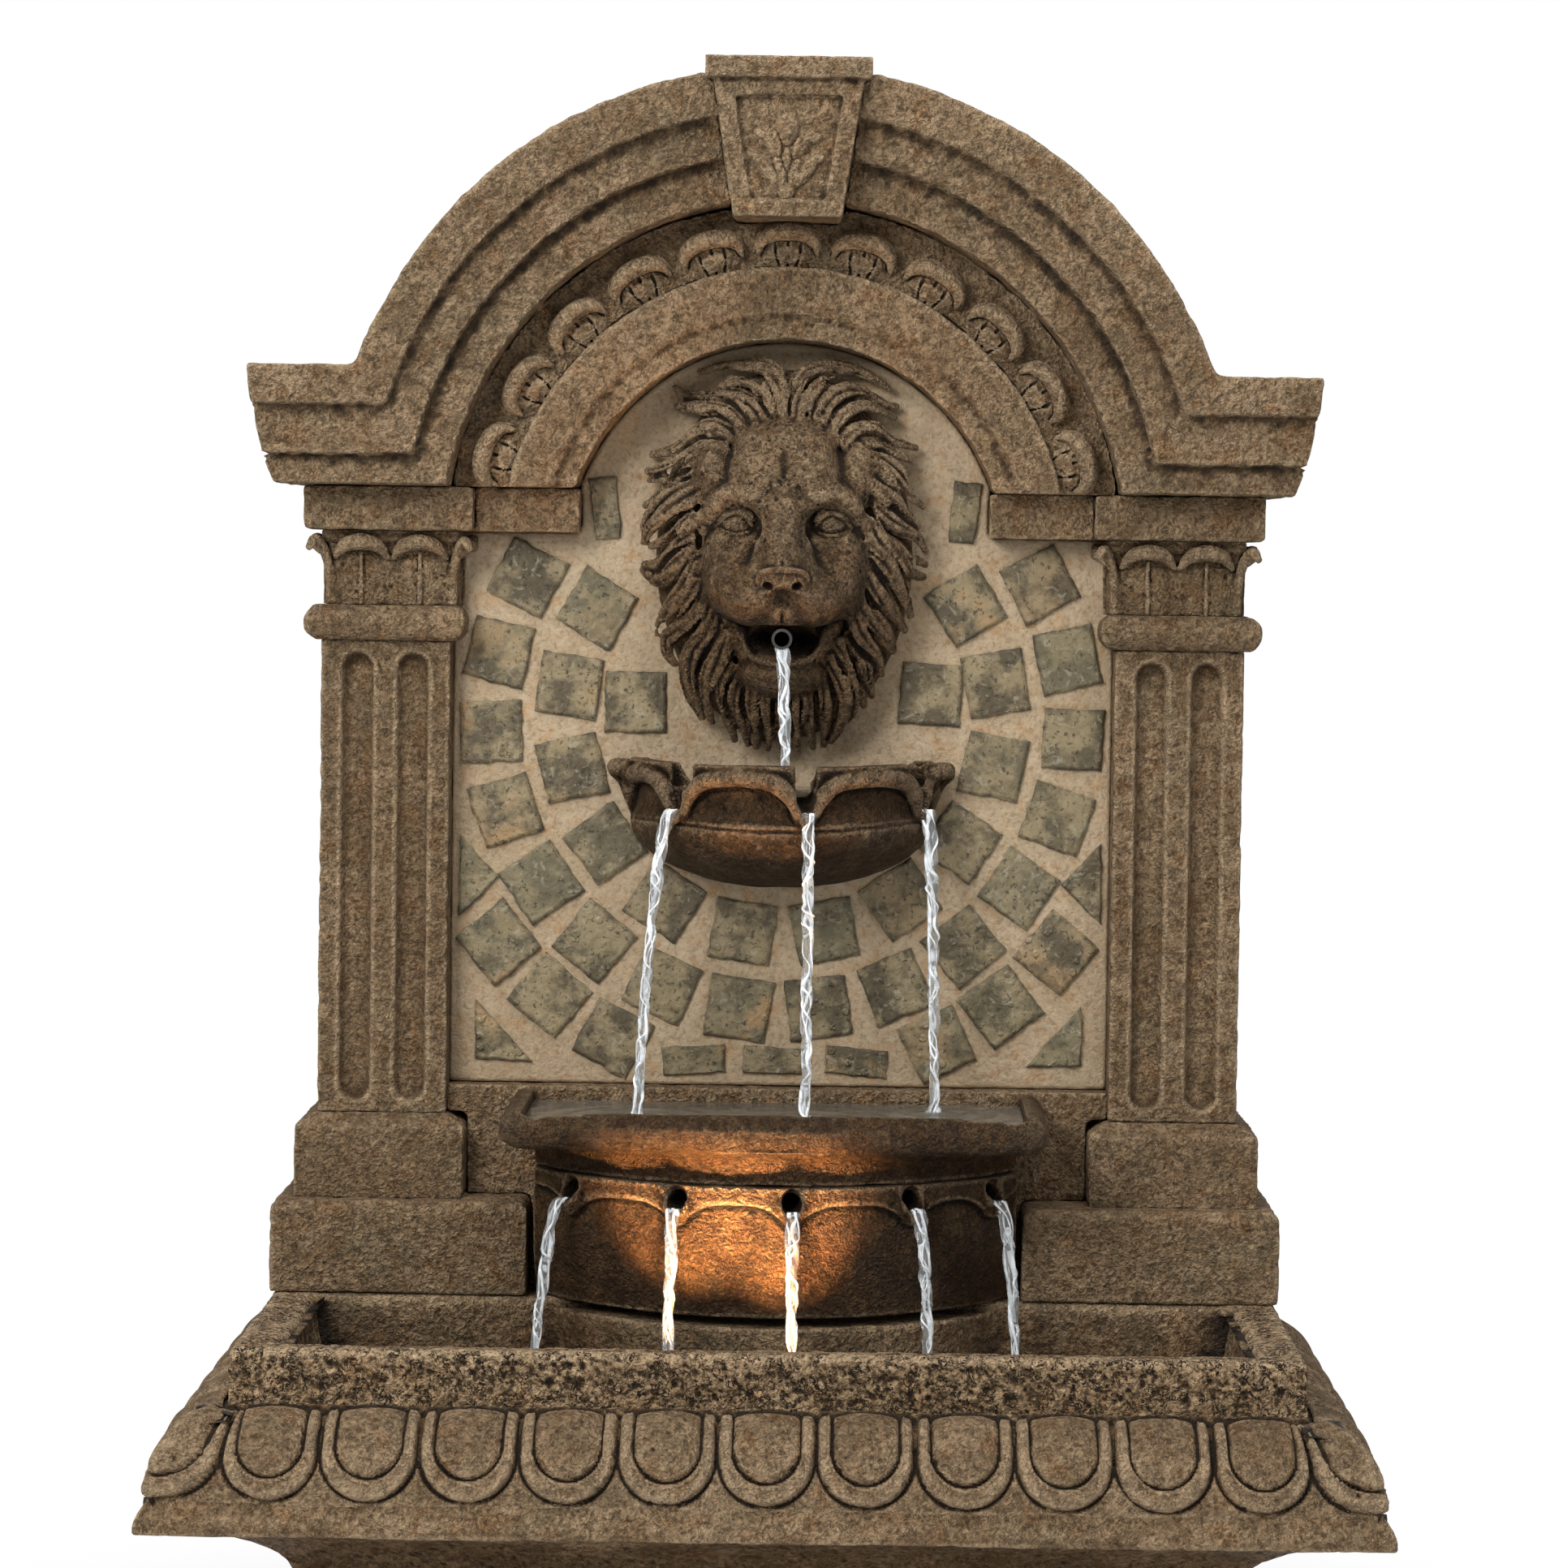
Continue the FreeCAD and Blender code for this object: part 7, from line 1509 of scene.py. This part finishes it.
waterLook = {
    "radius": 3.3, "twists": 2.6, "threads": 4, "cell": 2.0, "drops": [
        # start, outward drift, end height
        ((0.0, 24.0, 871.0), (4.0, -16.0), 768.0),
        ((-77.0, 18.0, 753.0), (-23.0, -18.0), 530.0),
        ((21.0, -9.0, 753.0), (1.0, -15.0), 530.0),
        ((108.0, 57.0, 753.0), (8.0, -12.0), 530.0),
        ((-152.0, -4.0, 473.0), (-20.0, -14.0), 341.0),
        ((-71.0, -47.0, 473.0), (-2.0, -16.0), 341.0),
        ((14.0, -57.0, 473.0), (1.0, -16.0), 341.0),
        ((102.0, -34.0, 473.0), (11.0, -15.0), 341.0),
        ((163.0, 8.0, 473.0), (14.0, -13.0), 341.0),
    ],
}


def fallPath(start, drift, endZ, count):
    share = np.linspace(0.0, 1.0, count)
    x, y = (start[k] + drift[k] * np.sqrt(share) for k in range(2))
    return np.stack([x, y, start[2] + (endZ - start[2]) * share], axis=1)


def ropeMesh(path, radius, lobes, twists, seed, share):
    # a twisted tube along the path, with a lobed section and a splash at its foot
    count, sides = len(path), 20
    turn = np.linspace(0, 2 * math.pi, sides, endpoint=False)
    along = np.linspace(0, 1, count)[:, None]
    length = np.linalg.norm(path[-1] - path[0])

    def lineNoise(stretch, offset, cell, seed):
        spots = np.stack([path[:, 2] * stretch, path[:, 0], np.full(count, offset)], axis=1)
        return valueNoise(spots, cell, seed)[:, None]
    wave = lineNoise(1.0, seed * 31.0, 13.0, seed)
    ripple = lineNoise(0.6, seed * 17.0, 9.0, seed + 3)
    spin = 2 * math.pi * twists * along * length / 250.0 + 1.1 * ripple
    wide = radius * (1.0 + 0.3 * wave + share * 0.35 * np.cos(lobes * (turn[None, :] - spin)))
    wide = wide * (1.0 - 0.25 * along) * (1.0 + 1.3 * ramp(along, 0.97, 0.03))
    x = path[:, 0:1] + wide * np.cos(turn)[None, :] * 1.15
    y = path[:, 1:2] + wide * np.sin(turn)[None, :]
    points = np.stack([x, y, np.repeat(path[:, 2:3], sides, axis=1)], axis=2).reshape(-1, 3)
    index = np.arange(count * sides).reshape(count, sides)
    return points, gridQuads(np.hstack([index, index[:, :1]]))


def waterMaterial(name, clear, light, dark, rough):
    material, tree, surface = newMaterial(name)
    place = tree.place()
    fine = tree.noise(place, 160.0, 4.0, 0.6, 0.8)
    height = tree.plus(tree.times(fine, 0.5), tree.noise(place, 34.0))
    tree.fill(surface, {
        "Base Color": tree.mix(tree.span(fine, 0.35, 0.65), dark, light),
        "Roughness": tree.span(fine, 0.4, 0.7, rough, rough + 0.12),
        "Normal": tree.bump(0.5, 0.0012, height),
        "Transmission Weight": clear, "IOR": 1.33,
    })
    return material


def surfaceMesh(name, inside, low, high, z, step, drops):
    # a rippled sheet of water over the cells that the test accepts
    gx, gy = np.meshgrid(*(np.arange(a, b, step) for a, b in zip(low, high)), indexing="ij")
    gz = np.full(gx.shape, z)
    for px, py in drops:
        away = np.hypot(gx - px, gy - py)
        gz += 1.3 * np.sin(away / 3.4) * np.exp(-away / 38.0) * np.clip(away / 5.0, 0.2, 1.0)
    spots = np.stack([gx.ravel(), gy.ravel(), np.zeros(gx.size)], axis=1)
    gz += 0.25 * layeredNoise(spots, 26.0, 5, 2).reshape(gx.shape)
    keep = inside(gx, gy)
    index = np.full(gx.shape, -1)
    index[keep] = np.arange(keep.sum())
    faces = gridQuads(index)
    faces = faces[(faces >= 0).all(axis=1)]
    return meshFromArrays(name, np.stack([gx[keep], gy[keep], gz[keep]], axis=1), faces)


def makeStreams(look):
    clear = waterMaterial("clearWater", 0.9, (0.93, 0.95, 0.96), (0.8, 0.83, 0.84), 0.03)
    # the opaque white threads are partly white aerated water, partly painted highlight
    foamAndHighlight = waterMaterial("whiteWaterAndHighlight", 0.0, (0.9, 0.91, 0.92), (0.66, 0.69, 0.71), 0.2)
    streams, threads, radius = [], [], look["radius"]
    for order, (start, drift, endZ) in enumerate(look["drops"]):
        length = start[2] - endZ
        count = int(length / 1.3)
        path = fallPath(start, drift, endZ, count)
        streams.append(ropeMesh(path, radius, 3, look["twists"], 800 + order, 1.0))
        share = np.linspace(0, 1, count)
        for thread in range(look["threads"]):
            spots = np.stack([path[:, 2], np.full(count, order * 90.0), np.full(count, thread * 70.0)], axis=1)
            wander = 0.9 * layeredNoise(spots, 46.0, 60 + order, 3)
            turn = 2 * math.pi * (thread / look["threads"] + wander + 1.4 * share * length / 250.0) + order
            reach = radius * (0.85 + 0.5 * valueNoise(spots, 17.0, 90 + order)) * (1.0 - 0.2 * share)
            line = path + np.stack([reach * np.cos(turn) * 1.15, reach * np.sin(turn), np.zeros(count)], axis=1)
            fade = 0.16 + 0.22 * np.clip(valueNoise(spots, 24.0, 30 + order) + 0.35, 0.0, 1.0)
            threads.append(ropeMesh(line, radius * fade[:, None], 2, 3.0, 900 + order * 4 + thread, 0.5))
    addPiece("waterStreams", joinArrays("waterStreams", streams), [], clear)
    addPiece("waterThreads", joinArrays("waterThreads", threads), [], foamAndHighlight)


def makePools(look):
    pool = waterMaterial("poolWater", 0.75, (0.5, 0.47, 0.4), (0.3, 0.28, 0.23), 0.03)

    def landings(low, high):
        return [(start[0] + drift[0], start[1] + drift[1]) for start, drift, endZ in look["drops"] if low < endZ < high]

    def inBasin(x, y):
        return (np.abs(x) < 330.5) & (y > -120.5) & (y < 47.0) & (np.hypot(x, y - 178.0) > 207.5)

    def inTray(x, y):
        return (np.abs(x) < 181.0) & (y > -36.0 + 16.0 * (x / 197.0) ** 2) & (y < 88.0)

    def inBowl(x, y):
        return (x / 95.0) ** 2 + ((y - 108.0) / 94.0) ** 2 < 1.0
    for name, inside, low, high, z, drops in (
            ("waterBasin", inBasin, (-331, -121), (331, 48), 340.0, landings(0, 400)),
            ("waterTray", inTray, (-182, -38), (182, 90), 531.0, landings(400, 600)),
            ("waterBowl", inBowl, (-96, 12), (96, 107), 766.0, [(1.0, 8.0)])):
        addPiece(name, surfaceMesh(name, inside, low, high, z, look["cell"], drops), [], pool)


makeStreams(waterLook)
makePools(waterLook)
print("water ready")


# Warm lamps under the tray, in metres and degrees

glowLook = {
    "power": 20.0, "tint": (1.0, 0.55, 0.24), "across": (-0.064, 0.006), "y": -0.116, "z": 0.352,
    "cone": 50.0, "tilt": 32.0, "blend": 0.7, "size": 0.02,
}


def makeGlow(look):
    for x in look["across"]:
        data = bpy.data.lights.new("warmLamp", "SPOT")
        data.energy = look["power"]
        data.color = look["tint"]
        data.spot_size = math.radians(look["cone"])
        data.spot_blend = look["blend"]
        data.shadow_soft_size = look["size"]
        lamp = link("warmLamp", data)
        lamp.location = (x, look["y"], look["z"])
        lamp.rotation_euler = (math.radians(180.0 - look["tilt"]), 0.0, 0.0)


makeGlow(glowLook)
print("lamp ready")
